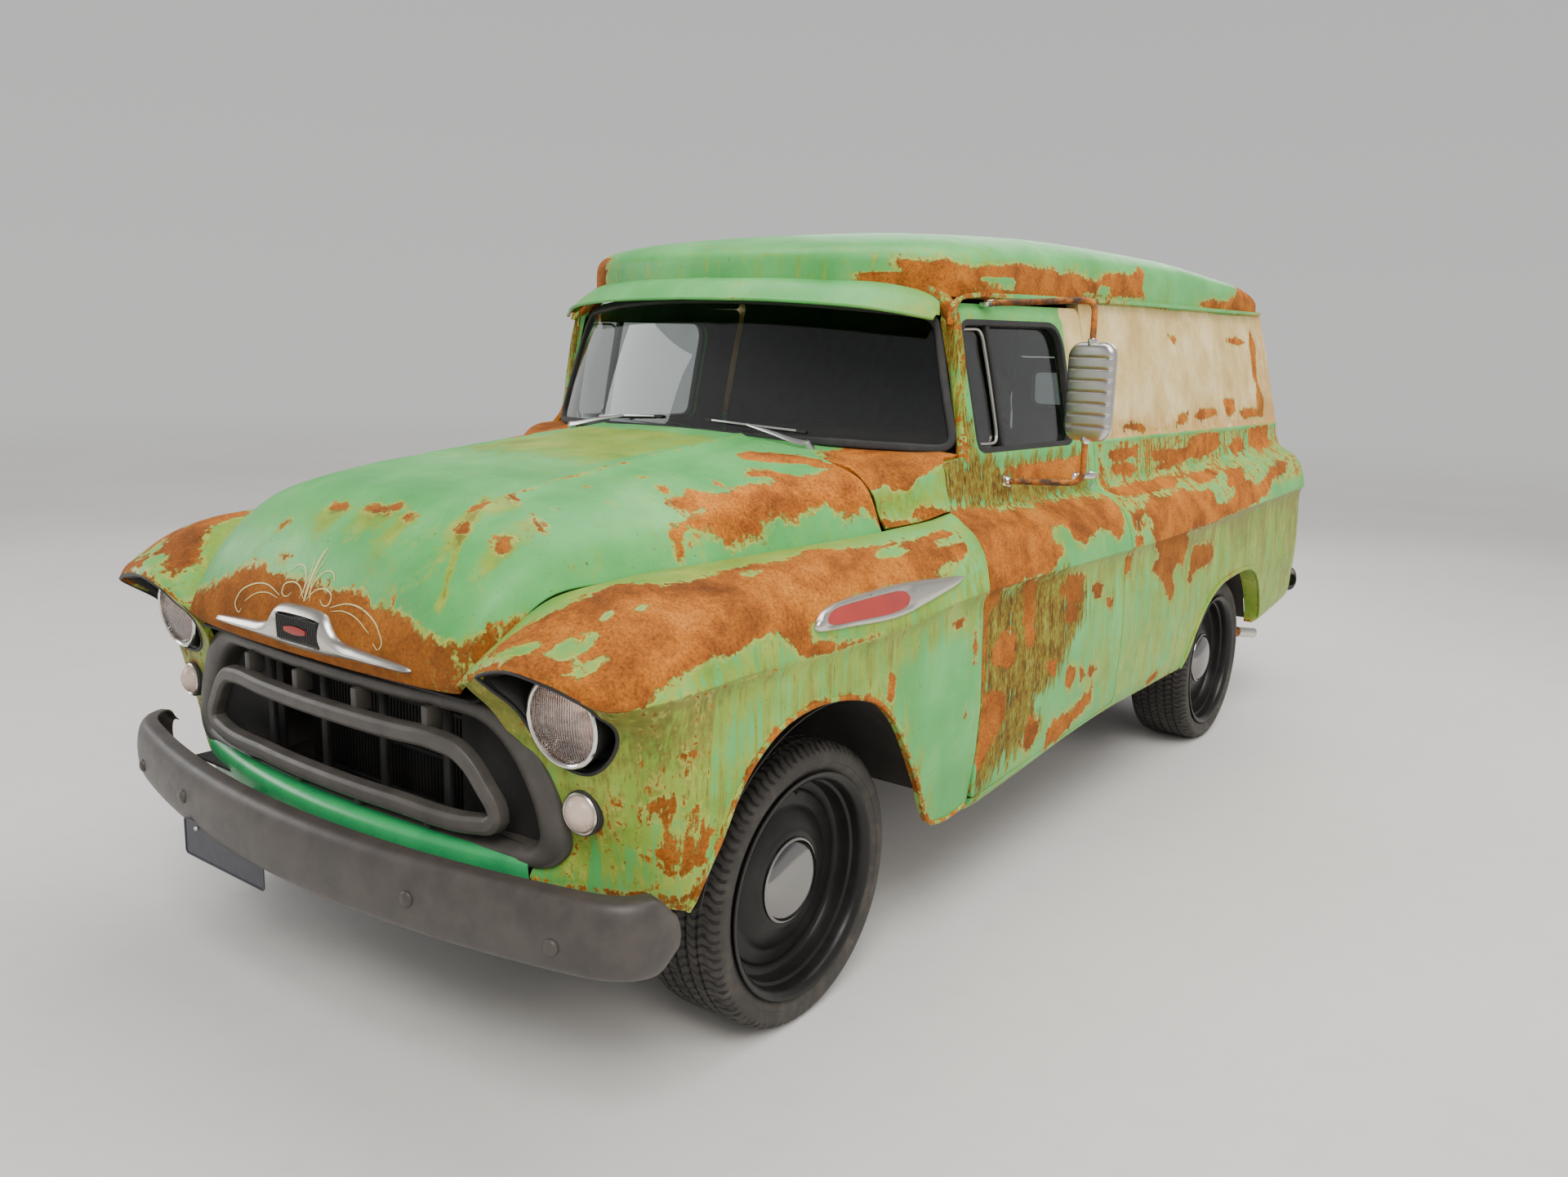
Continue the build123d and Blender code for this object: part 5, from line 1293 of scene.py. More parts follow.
chan = fillet([(-0.622, 1.294), (0.002, 1.294), (0.002, 1.650), (-0.622, 1.638)], WINDOW_R, 8)
P, N = side_path(chan, -0.004, 0.015)
seal = sweep(P, rounded(0.016, 0.024, 0.004, 3), True, up=N)
bars = []
for y0, w in ((-0.462, 0.020),):
    zz = np.linspace(1.292, 1.648, 12)
    pts, nn = zip(*[side_point(y0 - 0.012 * (z - 1.47), z, -0.008) for z in zz])
    bars.append(sweep(np.array(pts), rounded(0.020, w, 0.004, 3), up=np.array(nn)))
channel = merge(seal, *bars)
make("door_channel_left", channel, MAT["dark_trim"], "door_l")
make("door_channel_right", flip_x(channel), MAT["dark_trim"], "door_r")
vent = fillet([(-0.606, 1.312), (-0.478, 1.312), (-0.484, 1.626), (-0.606, 1.622)], 0.035, 6)
P, N = side_path(vent, -0.0095, 0.015)
vf = sweep(P, rounded(0.008, 0.009, 0.003, 3), True, up=N)
make("vent_frame_left", vf, MAT["aged_chrome"], "door_l")
make("vent_frame_right", flip_x(vf), MAT["aged_chrome"], "door_r")


def handle_part():
    """A pull handle on two posts near the door's rear edge, with its lock button."""
    ys = np.linspace(0.0, 0.155, 16)
    pts, nn = [], []
    for k, y in enumerate(ys):
        s = k / 15
        p, n = side_point(y, 1.190 - 0.012 * s, 0.012 + 0.022 * math.sin(math.pi * min(1.0, s * 1.15)) ** 0.7)
        pts.append(p)
        nn.append(n)
    sc = [(0.7 + 0.5 * math.sin(math.pi * min(1, 0.15 + k / 15)), 0.8 + 0.4 * math.sin(math.pi * min(1, 0.2 + k / 15))) for k in range(16)]
    bar = sweep(np.array(pts), circle(0.009, 12, 0.0065), up=np.array(nn), scale=np.array(sc))
    posts = []
    for y in (0.006, 0.128):
        p, n = side_point(y, 1.188, -0.002)
        posts.append(lathe([(-0.002, 0.0), (-0.002, 0.016), (0.003, 0.0155), (0.006, 0.011), (0.012, 0.008), (0.026, 0.007), (0.026, 0.0)], p, n, 20))
    p, n = side_point(0.128, 1.150, -0.001)
    posts.append(lathe([(0, 0), (0, 0.011), (0.004, 0.0105), (0.006, 0.007), (0.0055, 0.0)], p, n, 20))
    return merge(bar, *posts)


hp = handle_part()
make("door_handle_left", hp, MAT["chrome"], "door_l")
make("door_handle_right", flip_x(hp), MAT["chrome"], "door_r")

# ---------------------------------------------------------------- cargo side with the rear corner
ARCH_R = [(0.846, 0.428), (0.880, 0.478), (0.936, 0.545), (1.001, 0.622), (1.085, 0.676), (1.176, 0.707), (1.286, 0.722), (1.397, 0.729), (1.500, 0.729),
          (1.580, 0.719), (1.650, 0.692), (1.712, 0.644), (1.768, 0.572), (1.800, 0.515), (1.815, 0.474)]


def sill_line(ys):
    return np.stack([ys, tab(STATIONS, 1, ys)], 1)


def cargo_part():
    arch = through([(y, z, 0) for y, z in ARCH_R], 0.014)[:, :2]
    front = sill_line(np.linspace(-0.790, 0.846, 60))
    bottom_f = np.stack([front[:, 0], np.zeros(len(front)) + 1e-4], 1)
    a_uv = side_uv(arch)
    a_uv[0, 1] = a_uv[-1, 1] = 1e-4
    u_rear = BODY_OUT.U[-6] + (0.77 * (1 - 0.616 / 0.77))
    # opening's edge on the rear face
    edge = rear_uv([(0.619, z) for z in np.linspace(0.640, 1.548, 60)])
    edge_low = np.array([edge[0, 0], 1e-4])
    head = rear_uv([(x, 1.566) for x in (0.60, 0.45, 0.3, 0.15)])
    v_head = head[-1, 1]
    sill_u = np.linspace(1.815, edge[0, 0], 46)[1:]
    bottom_r = np.stack([sill_u, np.full(len(sill_u), 1e-4)], 1)
    loop = list(bottom_f[:-1]) + list(a_uv) + list(bottom_r)
    e2 = refine(np.vstack([[edge[0, 0], 1e-4], edge, [edge[-1, 0] + 0.004, edge[-1, 1] + 0.012]]), 0.03, False)
    loop += list(e2[1:])
    loop += list(refine(np.vstack([head, [U_END, v_head]]), 0.04, False))
    top_u = np.linspace(U_END, 0.181, 84)
    loop += [(u, V_END - 1e-4) for u in top_u]
    down = side_uv([(0.181, z) for z in np.linspace(1.70, 0.434, 56)])
    loop += list(down)
    dl = side_uv(np.stack([np.linspace(0.16, -0.790, 40), np.interp(np.linspace(0.16, -0.790, 40), [-0.797, 0.169], [0.373, 0.433])], 1))
    loop += list(dl)
    loop = np.array(loop)
    keep = [0]
    for i in range(1, len(loop)):
        if np.linalg.norm(loop[i] - loop[keep[-1]]) > 0.0025:
            keep.append(i)
    loop = loop[keep]

    def lift(uv, P):
        z = P[:, 2]
        # belt moulding and the soft ridge above the shoulder
        b = 0.0065 * np.exp(-(((z - 1.290) / 0.0085) ** 2)) + 0.004 * np.exp(-(((z - 1.268) / 0.007) ** 2))
        y = P[:, 1]
        fade = smoothstep(0.185, 0.215, y)
        # slight panel waviness
        w = 0.0012 * np.sin(y * 9.0 + 1.3) * np.sin(z * 12.0)
        return b * fade + w * smoothstep(0.25, 0.5, y)

    def open_at(L2, R):
        return L2[:, 0] > U_END - 1e-6

    vs = np.unique(np.concatenate([lines(BODY_OUT.V, 0.018)]))
    us = np.unique(np.concatenate([np.arange(-0.80, 2.2, 0.021), lines(BODY_OUT.U[14:], 0.022)]))
    p = panel(BODY_OUT, loop, [], du=0.021, dv=0.018, us=us, vs=vs, Sin=BODY_IN, hem=0.003, flip=FLIP_BODY, open_at=open_at, lift=lift)
    return both(p)


make("body_sides", cargo_part(), MAT["body_paint"], "root", ["cargo_sides"], weld=2e-5, attrs=side_masks)

# rolled lip round the rear arch
arch3 = through([(y, z, 0) for y, z in ARCH_R], 0.018)[:, :2]
P, N = side_path(arch3, 0.001, 0.03, closed=False)
C0 = np.array([0.93, 1.36, 0.42])
lip = sweep(P, [(-0.007, -0.004), (0.006, -0.004), (0.008, 0.001), (0.006, 0.0045), (-0.003, 0.0055), (-0.008, 0.003)], up=N)
make("rear_arch_lips", both(lip), MAT["body_paint"], "root", attrs=side_masks)

def housing(y0, r0, x0, x1, z_low):
    """A wheel housing: an arch strip over the wheel with a flat wall on its inner side."""
    a = np.linspace(0.0, math.pi, 36)
    path = [(y0 + r0, z_low)] + [(y0 + r0 * math.cos(t), 0.337 + r0 * math.sin(t)) for t in a] + [(y0 - r0, z_low)]
    path = np.array([p for p in path if p[1] >= z_low - 1e-9])
    n = len(path)
    t = 0.003
    c = np.array([y0, 0.337])
    d = path - c
    d /= np.linalg.norm(d, axis=1)[:, None]
    rings = []
    for x in (x0, x1):
        rings.append(np.column_stack([np.full(n, x), path]))
        rings.append(np.column_stack([np.full(n, x), path + d * t]))
    V = np.concatenate(rings)
    i0, o0, i1, o1 = 0, n, 2 * n, 3 * n
    F = []
    for k in range(n - 1):
        F += [(i0 + k, i0 + k + 1, i1 + k + 1, i1 + k), (o0 + k, o1 + k, o1 + k + 1, o0 + k + 1)]
        F += [(i0 + k, o0 + k, o0 + k + 1, i0 + k + 1), (i1 + k, i1 + k + 1, o1 + k + 1, o1 + k)]
    F += [(i0, i1, o1, o0), (i0 + n - 1, o0 + n - 1, o1 + n - 1, i1 + n - 1)]
    wall = [(x0 - t, y, z) for y, z in path + d * t] + [(x0, y, z) for y, z in path + d * t]
    W = np.array(wall)
    G = [tuple(range(n)), tuple(range(2 * n - 1, n - 1, -1))] + [(k, (k + 1) % n, n + (k + 1) % n, n + k) for k in range(n)]
    return merge((V, F), (W, G))


rear_housing = housing(1.425, 0.420, 0.577, 0.864, 0.455)
make("rear_wheel_housings", both(rear_housing), MAT["chassis_black"], "root")

# ---------------------------------------------------------------- rear doors and sill
rear_outline = fillet([(0.005, 0.637), (0.605, 0.637), (0.605, 1.555), (0.005, 1.555)], [0.004, 0.03, 0.03, 0.004], 5)
rear_window = fillet([(0.168, 1.308), (0.492, 1.308), (0.492, 1.492), (0.168, 1.492)], 0.045, 8)


def rear_lift(uv, P):
    x, z = np.abs(P[:, 0]), P[:, 2]
    dx = np.maximum(np.maximum(0.168 - x, x - 0.492), 0)
    dz = np.maximum(np.maximum(1.308 - z, z - 1.492), 0)
    d = np.hypot(dx, dz)
    frame_edge = 0.006 * smooth_down(0.016, 0.028, d)
    press = smoothstep(0.06, 0.075, x) * smooth_down(0.545, 0.56, x) * smoothstep(0.72, 0.735, z) * smooth_down(1.18, 1.195, z)
    return frame_edge - 0.005 * press


rd = panel(BODY_OUT, rear_uv(refine(rear_outline, 0.02)), [rear_uv(refine(rear_window, 0.016))], du=0.022, dv=0.018, Sin=BODY_IN, flip=FLIP_BODY, lift=rear_lift)
make("rear_door_shell_left", rd, MAT["body_paint"], "cargo_door_l", ["rear_door_left"], attrs=side_masks)
make("rear_door_shell_right", flip_x(rd), MAT["body_paint"], "cargo_door_r", ["rear_door_right"], attrs=side_masks)


def rear_path(xz, out, step=0.015):
    uv = rear_uv(refine(xz, step))
    P = BODY_OUT(uv[:, 0], uv[:, 1])
    N = normals(BODY_OUT, uv[:, 0], uv[:, 1], FLIP_BODY)
    return P + N * out, N


def disc_glass(P, N, thick):
    """A pane that fills a closed edge."""
    c = P.mean(0)
    m = len(P)
    V, F = [], []
    for off in (0.0, -thick):
        base = len(V)
        for s in (1.0, 0.66, 0.33):
            V += list(c + (P - c) * s + N * off)
        V.append(c + N.mean(0) * off)
        for k in range(2):
            for j in range(m):
                j2 = (j + 1) % m
                F.append((base + k * m + j, base + k * m + j2, base + (k + 1) * m + j2, base + (k + 1) * m + j))
        for j in range(m):
            F.append((base + 2 * m + j, base + 2 * m + (j + 1) % m, base + 3 * m))
    n1 = 3 * m + 1
    F += [(j, (j + 1) % m, n1 + (j + 1) % m, n1 + j) for j in range(m)]
    return np.array(V), F


P, N = rear_path(fillet([(0.160, 1.300), (0.500, 1.300), (0.500, 1.500), (0.160, 1.500)], 0.05, 8), -0.012)
rg = disc_glass(P, N, 0.005)
make("rear_window_left", rg, MAT["side_glass"], "cargo_door_l", ["rear_glass_left"])
make("rear_window_right", flip_x(rg), MAT["side_glass"], "cargo_door_r", ["rear_glass_right"])
P, N = rear_path(fillet([(0.172, 1.312), (0.488, 1.312), (0.488, 1.488), (0.172, 1.488)], 0.042, 8), 0.000)
rs = sweep(P, rounded(0.014, 0.016, 0.004, 3), True, up=N)
make("rear_window_seal_left", rs, MAT["rubber"], "cargo_door_l")
make("rear_window_seal_right", flip_x(rs), MAT["rubber"], "cargo_door_r")

hinge_parts = []
for z in (0.74, 1.02, 1.26, 1.47):
    xs = np.linspace(0.540, 0.604, 6)
    uv = rear_uv([(x, z) for x in xs])
    Pq = BODY_OUT(uv[:, 0], uv[:, 1])
    Nq = normals(BODY_OUT, uv[:, 0], uv[:, 1], FLIP_BODY)
    hinge_parts.append(sweep(Pq + Nq * 0.003, rounded(0.036, 0.007, 0.003, 3), up=Nq))
    q = Pq[-1] + Nq[-1] * 0.008
    hinge_parts.append(lathe([(-0.026, 0), (-0.026, 0.006), (-0.024, 0.0075), (0.024, 0.0075), (0.026, 0.006), (0.026, 0)], q, (0, 0, 1), 16))
hinges = merge(*hinge_parts)
make("rear_hinges_left", hinges, MAT["body_paint"], "cargo_door_l", attrs=side_masks)
make("rear_hinges_right", flip_x(hinges), MAT["body_paint"], "cargo_door_r", attrs=side_masks)
hx = 0.055
uv = rear_uv([(hx, 1.02)])
p0 = BODY_OUT(uv[:, 0], uv[:, 1])[0]
handle = merge(lathe([(0.0, 0.0), (0.0, 0.026), (0.004, 0.025), (0.008, 0.018), (0.012, 0.010), (0.040, 0.008), (0.040, 0.0)], p0, (0, 1, 0), 28),
               sweep(through([(hx, p0[1] + 0.040, 1.085), (hx, p0[1] + 0.046, 1.05), (hx, p0[1] + 0.046, 1.0), (hx, p0[1] + 0.040, 0.955)], 0.01), circle(0.010, 12, 0.007), up=(0, 1, 0)))
make("rear_door_handle", handle, MAT["chrome"], "cargo_door_l")


def sill_masks(P, N):
    m = side_masks(P, N)
    m["rust"] = np.full(len(P), 0.44)
    m["olive"] = np.zeros(len(P))
    m["cream"] = np.zeros(len(P))
    return m


make("rear_sill_panel", box_part(-0.698, 0.698, 2.404, 2.4175, 0.474, 0.623, 0.004), MAT["body_paint"], "root", attrs=sill_masks)

# ---------------------------------------------------------------- roof
ROOF_EDGE = [(0, -0.840, 1.748), (0.20, -0.832, 1.747), (0.40, -0.790, 1.742), (0.53, -0.725, 1.738), (0.62, -0.665, 1.728), (0.672, -0.600, 1.715),
             (0.697, -0.50, 1.714), (0.703, -0.15, 1.722), (0.703, 0.5, 1.740), (0.703, 1.2, 1.752), (0.700, 1.9, 1.764), (0.690, 2.12, 1.768),
             (0.660, 2.24, 1.771), (0.60, 2.315, 1.773), (0.50, 2.355, 1.775), (0.30, 2.368, 1.776), (0, 2.372, 1.776)]
ROOF_TOP = [(-0.84, 1.870), (-0.60, 1.895), (-0.41, 1.912), (-0.23, 1.926), (0.25, 1.957), (0.47, 1.963), (0.98, 1.969), (1.24, 1.969), (1.64, 1.948), (1.94, 1.932),
            (2.16, 1.896), (2.37, 1.860)]


def roof_surface(edge, drop, steps=30):
    O = edge
    Q = np.stack([np.zeros(len(O)), np.clip(O[:, 1], -0.05, 1.6), np.zeros(len(O))], 1)
    rows = []
    for s in np.linspace(0, 1, steps):
        phi = s**3 * math.pi / 2
        rho, h = math.cos(phi), math.sin(phi) ** 0.34
        if s == 1:
            rho, h = 0.0, 1.0
        P = Q + (O - Q) * rho
        P[:, 2] = O[:, 2] + (tab(ROOF_TOP, 1, P[:, 1]) - drop - O[:, 2]) * h
        rows.append(P)
    return rows


def roof_part():
    E = through(ROOF_EDGE, 0.03)
    E[0, 0] = E[-1, 0] = 0.0
    T = np.gradient(E, axis=0)
    side = np.stack([T[:, 1], -T[:, 0], np.zeros(len(E))], 1)
    side /= np.linalg.norm(side, axis=1)[:, None]
    outer = roof_surface(E, 0.0)
    inward = E - side * 0.042
    inward[0, 0] = inward[-1, 0] = 0.0
    inward[:, 0] = np.maximum(inward[:, 0], 0)
    inward[:, 2] = E[:, 2] - 0.004
    inner = roof_surface(inward, 0.034)
    lip = E.copy()
    lip[:, 2] -= 0.008
    lip_in = inward.copy()
    lip_in[:, 2] -= 0.006
    seq = outer[::-1] + [lip] + [lip_in] + inner
    m = len(E)
    V = np.concatenate(seq)
    F = grid_faces(len(seq), m)
    return V, F


def roof_masks(P, N):
    x, y, z = P[:, 0], P[:, 1], P[:, 2]
    n = len(P)
    left = x > 0
    outer = np.abs(x) > 0.52
    rust = np.full(n, 0.16)
    worn = patches(y, z, ROOF_RUST, soft=0.075) * outer
    worn = np.where(left, worn, patches(y * 0.9 - 0.35, z + 0.012 * np.sin(5 * y), ROOF_RUST, soft=0.075) * outer)
    rust = np.maximum(rust, worn)
    isle = patches(y, z, ROOF_ISLES, soft=0.07) * left
    rust = np.where((isle > 0.40) & (rust > 0.3), np.minimum(rust, 0.92 - isle), rust)
    corner = ellipse_mask(P, -0.60, -0.66, 0.20, 0.14, 1.0, 0.5, axes=(0, 1)) * smooth_down(1.815, 1.845, z)
    rust = np.maximum(rust, 0.64 * corner)
    rust = np.maximum(rust, 0.60 * ellipse_mask(P, 0.52, -0.72, 0.16, 0.05, 1.0, 0.5, axes=(0, 1)) * smooth_down(1.76, 1.78, z))
    rust = np.maximum(rust, 0.47 * smooth_down(0.0, 0.014, z - 1.752) * outer * (y < 1.2))
    stain = 0.22 + 0.20 * smooth_down(1.83, 1.88, z) + 0.20 * smoothstep(0.2, 0.45, rust)
    return {"rust": rust, "cream": np.zeros(n), "stain": stain, "streak": np.full(n, 0.16), "vert": 1 - 0.7 * np.abs(N[:, 2]), "olive": np.zeros(n)}


make("roof_skin", both(roof_part()), MAT["body_paint"], "root", ["roof_panel"], weld=3e-5, attrs=roof_masks)

GUTTER = [(0.722, -0.672, 1.630), (0.716, -0.660, 1.668), (0.7125, -0.625, 1.697), (0.713, -0.56, 1.709), (0.716, -0.40, 1.716), (0.717, -0.15, 1.724), (0.7175, 0.2, 1.734),
          (0.7175, 0.5, 1.742), (0.7175, 1.2, 1.755), (0.714, 1.9, 1.767), (0.702, 2.12, 1.772), (0.672, 2.25, 1.775), (0.610, 2.326, 1.777), (0.50, 2.370, 1.779), (0.30, 2.383, 1.780), (0, 2.387, 1.780)]
gut = through(GUTTER, 0.03)
gut[-1, 0] = 0.0
gutter_sec = [(-0.014, -0.004), (0.004, -0.0055), (0.0085, -0.003), (0.0095, 0.003), (0.0085, 0.0085), (0.0062, 0.0085), (0.0058, 0.001), (-0.004, -0.001), (-0.012, 0.002)]


def gutter_masks(P, N):
    n = len(P)
    y = P[:, 1]
    rust = 0.27 + 0.20 * smoothstep(0.3, 0.8, np.sin(y * 3.1 + 0.8)) + 0.22 * smooth_down(-0.40, -0.20, y)
    return {"rust": rust, "cream": np.zeros(n), "stain": np.full(n, 0.42), "streak": np.full(n, 0.1), "vert": np.full(n, 0.3), "olive": np.zeros(n)}


make("drip_rails", both(sweep(gut, gutter_sec, up=(0, 0, 1))), MAT["body_paint"], "root", weld=2e-5, attrs=gutter_masks)

# ---------------------------------------------------------------- pillars and header round the windshield
PILLAR = [  # glass side, door side
    ((0.772, -0.700, 1.270), (0.800, -0.700, 1.270)), ((0.772, -0.700, 1.285), (0.800, -0.700, 1.285)), ((0.765, -0.688, 1.310), (0.792, -0.680, 1.310)),
    ((0.728, -0.667, 1.450), (0.762, -0.670, 1.450)), ((0.690, -0.652, 1.600), (0.730, -0.667, 1.600)), ((0.670, -0.648, 1.660), (0.712, -0.662, 1.660)),
    ((0.640, -0.652, 1.686), (0.694, -0.648, 1.700)), ((0.600, -0.668, 1.700), (0.655, -0.652, 1.724)), ((0.450, -0.752, 1.712), (0.500, -0.726, 1.742)),
    ((0.250, -0.815, 1.706), (0.250, -0.812, 1.750)), ((0.0, -0.846, 1.702), (0.0, -0.840, 1.752))]


def ribbon(A, B, bulge, thick, wrap=0.0, n=7):
    """A strip of metal between two edges, slightly crowned, with a back."""
    A, B = np.asarray(A), np.asarray(B)
    T = np.gradient((A + B) / 2, axis=0)
    W = B - A
    Nn = np.cross(W, T)
    Nn /= np.linalg.norm(Nn, axis=1)[:, None]
    s = np.linspace(0, 1, n)
    front = [A + W * t + Nn * (bulge * math.sin(math.pi * t)) for t in s]
    back = [A + W * t - Nn * thick for t in s[::-1]]
    rows = front + back
    m = len(A)
    V = np.stack(rows, 1).reshape(-1, 3)
    k = len(rows)
    F = grid_faces(m, k, False, True)
    F += [tuple(range(k)), tuple((m - 1) * k + j for j in range(k))[::-1]]
    return V, F


pa = through([p[0] for p in PILLAR], 0.02)
m_ = len(pa)
pk = np.concatenate([[0], np.cumsum(np.linalg.norm(np.diff(np.array([p[0] for p in PILLAR]), axis=0), axis=1))])
pb = curve(pk, np.array([p[1] for p in PILLAR]), np.linspace(0, pk[-1], m_))
pa = curve(pk, np.array([p[0] for p in PILLAR]), np.linspace(0, pk[-1], m_))
pa[-1, 0] = pb[-1, 0] = 0.0
strip = ribbon(pa, pb, 0.006, 0.028)
d0 = np.cross(pb - pa, np.gradient((pa + pb) / 2, axis=0))
if (d0[len(d0) // 3] @ np.array([0.6, -1.0, 0.1])) < 0:
    strip = ribbon(pb, pa, 0.006, 0.028)


def pillar_masks(P, N):
    n = len(P)
    x, y, z = np.abs(P[:, 0]), P[:, 1], P[:, 2]
    rust = 0.40 + 0.16 * smoothstep(1.58, 1.68, z) * (x > 0.3) + 0.14 * smooth_down(1.30, 1.36, z)
    return {"rust": rust, "cream": np.zeros(n), "stain": np.full(n, 0.62), "streak": np.full(n, 0.30), "vert": np.ones(n), "olive": 0.50 + 0.10 * np.sin(z * 17.0)}


# ---------------------------------------------------------------- cowl
COWL = [
    (-0.978, [(0, 1.318), (0.30, 1.308), (0.56, 1.268), (0.640, 1.243), (0.690, 1.198), (0.712, 1.145), (0.735, 1.112)]),
    (-0.900, [(0, 1.316), (0.30, 1.307), (0.60, 1.276), (0.700, 1.262), (0.748, 1.225), (0.768, 1.165), (0.790, 1.128)]),
    (-0.812, [(0, 1.312), (0.30, 1.304), (0.65, 1.288), (0.756, 1.284), (0.790, 1.262), (0.806, 1.200), (0.822, 1.150)]),
    (-0.750, [(0, 1.309), (0.30, 1.302), (0.66, 1.290), (0.772, 1.288), (0.798, 1.268), (0.812, 1.205), (0.830, 1.155)]),
    (-0.660, [(0, 1.306), (0.30, 1.300), (0.67, 1.292), (0.778, 1.290), (0.800, 1.270), (0.812, 1.205), (0.830, 1.155)])]
COWL_S = Sheet([[(x, y, z) for x, z in row] for y, row in COWL], [y for y, _ in COWL])
cv = COWL_S.V
flip_cowl = bool(normals(COWL_S, np.array([-0.9]), np.array([0.2]))[0, 2] < 0)


def glass_foot(a, dy=0.0):
    return (0.765 * a, -0.930 + 0.245 * abs(a) ** 2.4 + dy)


def cowl_part():
    front = [(-0.978, v) for v in np.linspace(0, cv[6], 44)]
    side = [(u, cv[6]) for u in np.linspace(-0.978, -0.806, 12)[1:]]
    door = [(-0.806, v) for v in np.linspace(cv[6], cv[4] - 0.002, 9)[1:]]
    dog = [(-0.795, cv[4] - 0.012), (-0.775, cv[3] + 0.010), (-0.75, cv[3] + 0.008), (-0.72, cv[3] + 0.006), (-0.705, cv[3] + 0.002)]
    foot = on_sheet(COWL_S, [glass_foot(a, -0.006) for a in np.linspace(0.955, 0.0, 46)], [0, 1])
    foot[-1, 1] = 0.0
    loop = np.array(front + side + door + dog + list(foot))
    loop = np.vstack([loop, [(-0.945, 0.0), (-0.962, 0.0)]])
    holes = []
    for k in range(12):
        x = 0.030 + 0.0405 * k
        c = on_sheet(COWL_S, [(x, -0.9605)], [0, 1])[0]
        holes.append(c + fillet([(-0.0145, -0.0058), (0.0145, -0.0058), (0.0145, 0.0058), (-0.0145, 0.0058)], 0.004, 3))
    return both(panel(COWL_S, loop, holes, du=0.018, dv=0.016, hem=0.002, flange=0.010, flip=flip_cowl,
                      open_at=lambda L2, R: L2[:, 1] < 1e-6))


def cowl_masks(P, N):
    x, y, z = np.abs(P[:, 0]), P[:, 1], P[:, 2]
    n = len(P)
    rust = np.full(n, 0.17)
    rust = np.maximum(rust, 0.52 + 0.20 * smoothstep(0.50, 0.60, x) - 0.40 * smooth_down(0.44, 0.52, x))
    zc = np.interp(y, [-0.98, -0.949, -0.924, -0.873, -0.821, -0.787], [1.200, 1.224, 1.196, 1.236, 1.262, 1.272])
    below = smooth_down(-0.012, 0.012, z - zc) * (x > 0.62)
    rust = rust * (1 - below) + below * 0.26
    rust = np.maximum(rust, 0.60 * ellipse_mask(P, -0.86, 1.140, 0.065, 0.030, 1.0, 0.5) * (x > 0.62))
    rust = np.maximum(rust, 0.50 * smooth_down(0.0, 0.014, z - 1.128) * (x > 0.7))
    stain = np.where(x > 0.62, 0.62, 0.28)
    return {"rust": rust, "cream": np.zeros(n), "stain": stain, "streak": np.where(x > 0.62, 0.30, 0.12), "vert": 1 - 0.8 * np.abs(N[:, 2]), "olive": np.zeros(n)}


def cab_masks(P, N):
    a, b = cowl_masks(P, N), pillar_masks(P, N)
    up = (P[:, 2] > 1.262) & (P[:, 1] > -0.86) & ((P[:, 2] > 1.335) | (np.abs(P[:, 0]) > 0.755) & (P[:, 1] > -0.71))
    return {k: np.where(up, b[k], a[k]) for k in a}


firewall = merge(box_part(-0.54, 0.54, -0.972, -0.964, 0.565, 1.244, 0.003), both(box_part(0.54, 0.62, -0.972, -0.964, 0.565, 1.180, 0.003)),
                 both(box_part(0.62, 0.70, -0.972, -0.964, 0.565, 1.090, 0.003)), both(box_part(0.694, 0.785, -0.962, -0.814, 0.562, 1.048, 0.003)))
make("firewall", firewall, MAT["inner_green"], "root")
make("cab_skin", merge(cowl_part(), both(strip)), MAT["body_paint"], "root", ["cab_frame"], weld=2e-5, attrs=cab_masks)
# a near-black box under the vent slots: painted shade seen through the vents
make("cowl_plenum", box_part(-0.53, 0.53, -0.976, -0.942, 1.245, 1.262, 0.002), MAT["vent_shade_black"], "root")

# ---------------------------------------------------------------- windshield
def shield(a, b):
    a = np.asarray(a, float)
    lo = np.stack([0.765 * a, -0.930 + 0.245 * np.abs(a) ** 2.4, 1.308 - 0.015 * a * a + 0 * a], -1)
    hi = np.stack([0.660 * a, -0.835 + 0.195 * np.abs(a) ** 2.4, 1.692 - 0.035 * a * a + 0 * a], -1)
    p = lo + (hi - lo) * b
    p[..., 1] -= 0.008 * math.sin(math.pi * b)
    return p


A_ = np.linspace(-1, 1, 25)
GLASS = Sheet([[shield(np.array([a]), b)[0] for b in np.linspace(0, 1, 7)] for a in A_])
gu, gv = GLASS.U[-1], GLASS.V[-1]
flip_glass = bool(normals(GLASS, np.array([gu / 2]), np.array([gv / 2]))[0, 1] > 0)
gl = refine(fillet([(0.0, 0.0), (gu, 0.0), (gu, gv), (0.0, gv)], 0.055, 8), 0.03)
make("windshield", panel(GLASS, gl, [], du=0.05, dv=0.05, thick=0.006, hem=0.001, flange=0.004, flip=flip_glass,
                         Sin=lambda u, v: GLASS(u, v) - normals(GLASS, u, v, flip_glass) * 0.006),
     MAT["window_glass"], "root", ["windshield_glass"])
gr = refine(fillet([(0.004, 0.004), (gu - 0.004, 0.004), (gu - 0.004, gv - 0.004), (0.004, gv - 0.004)], 0.055, 8), 0.02)
Pg = GLASS(gr[:, 0], gr[:, 1])
Ng = normals(GLASS, gr[:, 0], gr[:, 1], flip_glass)
make("windshield_rubber", sweep(Pg, rounded(0.024, 0.020, 0.007, 4), True, up=Ng), MAT["rubber"], "root")

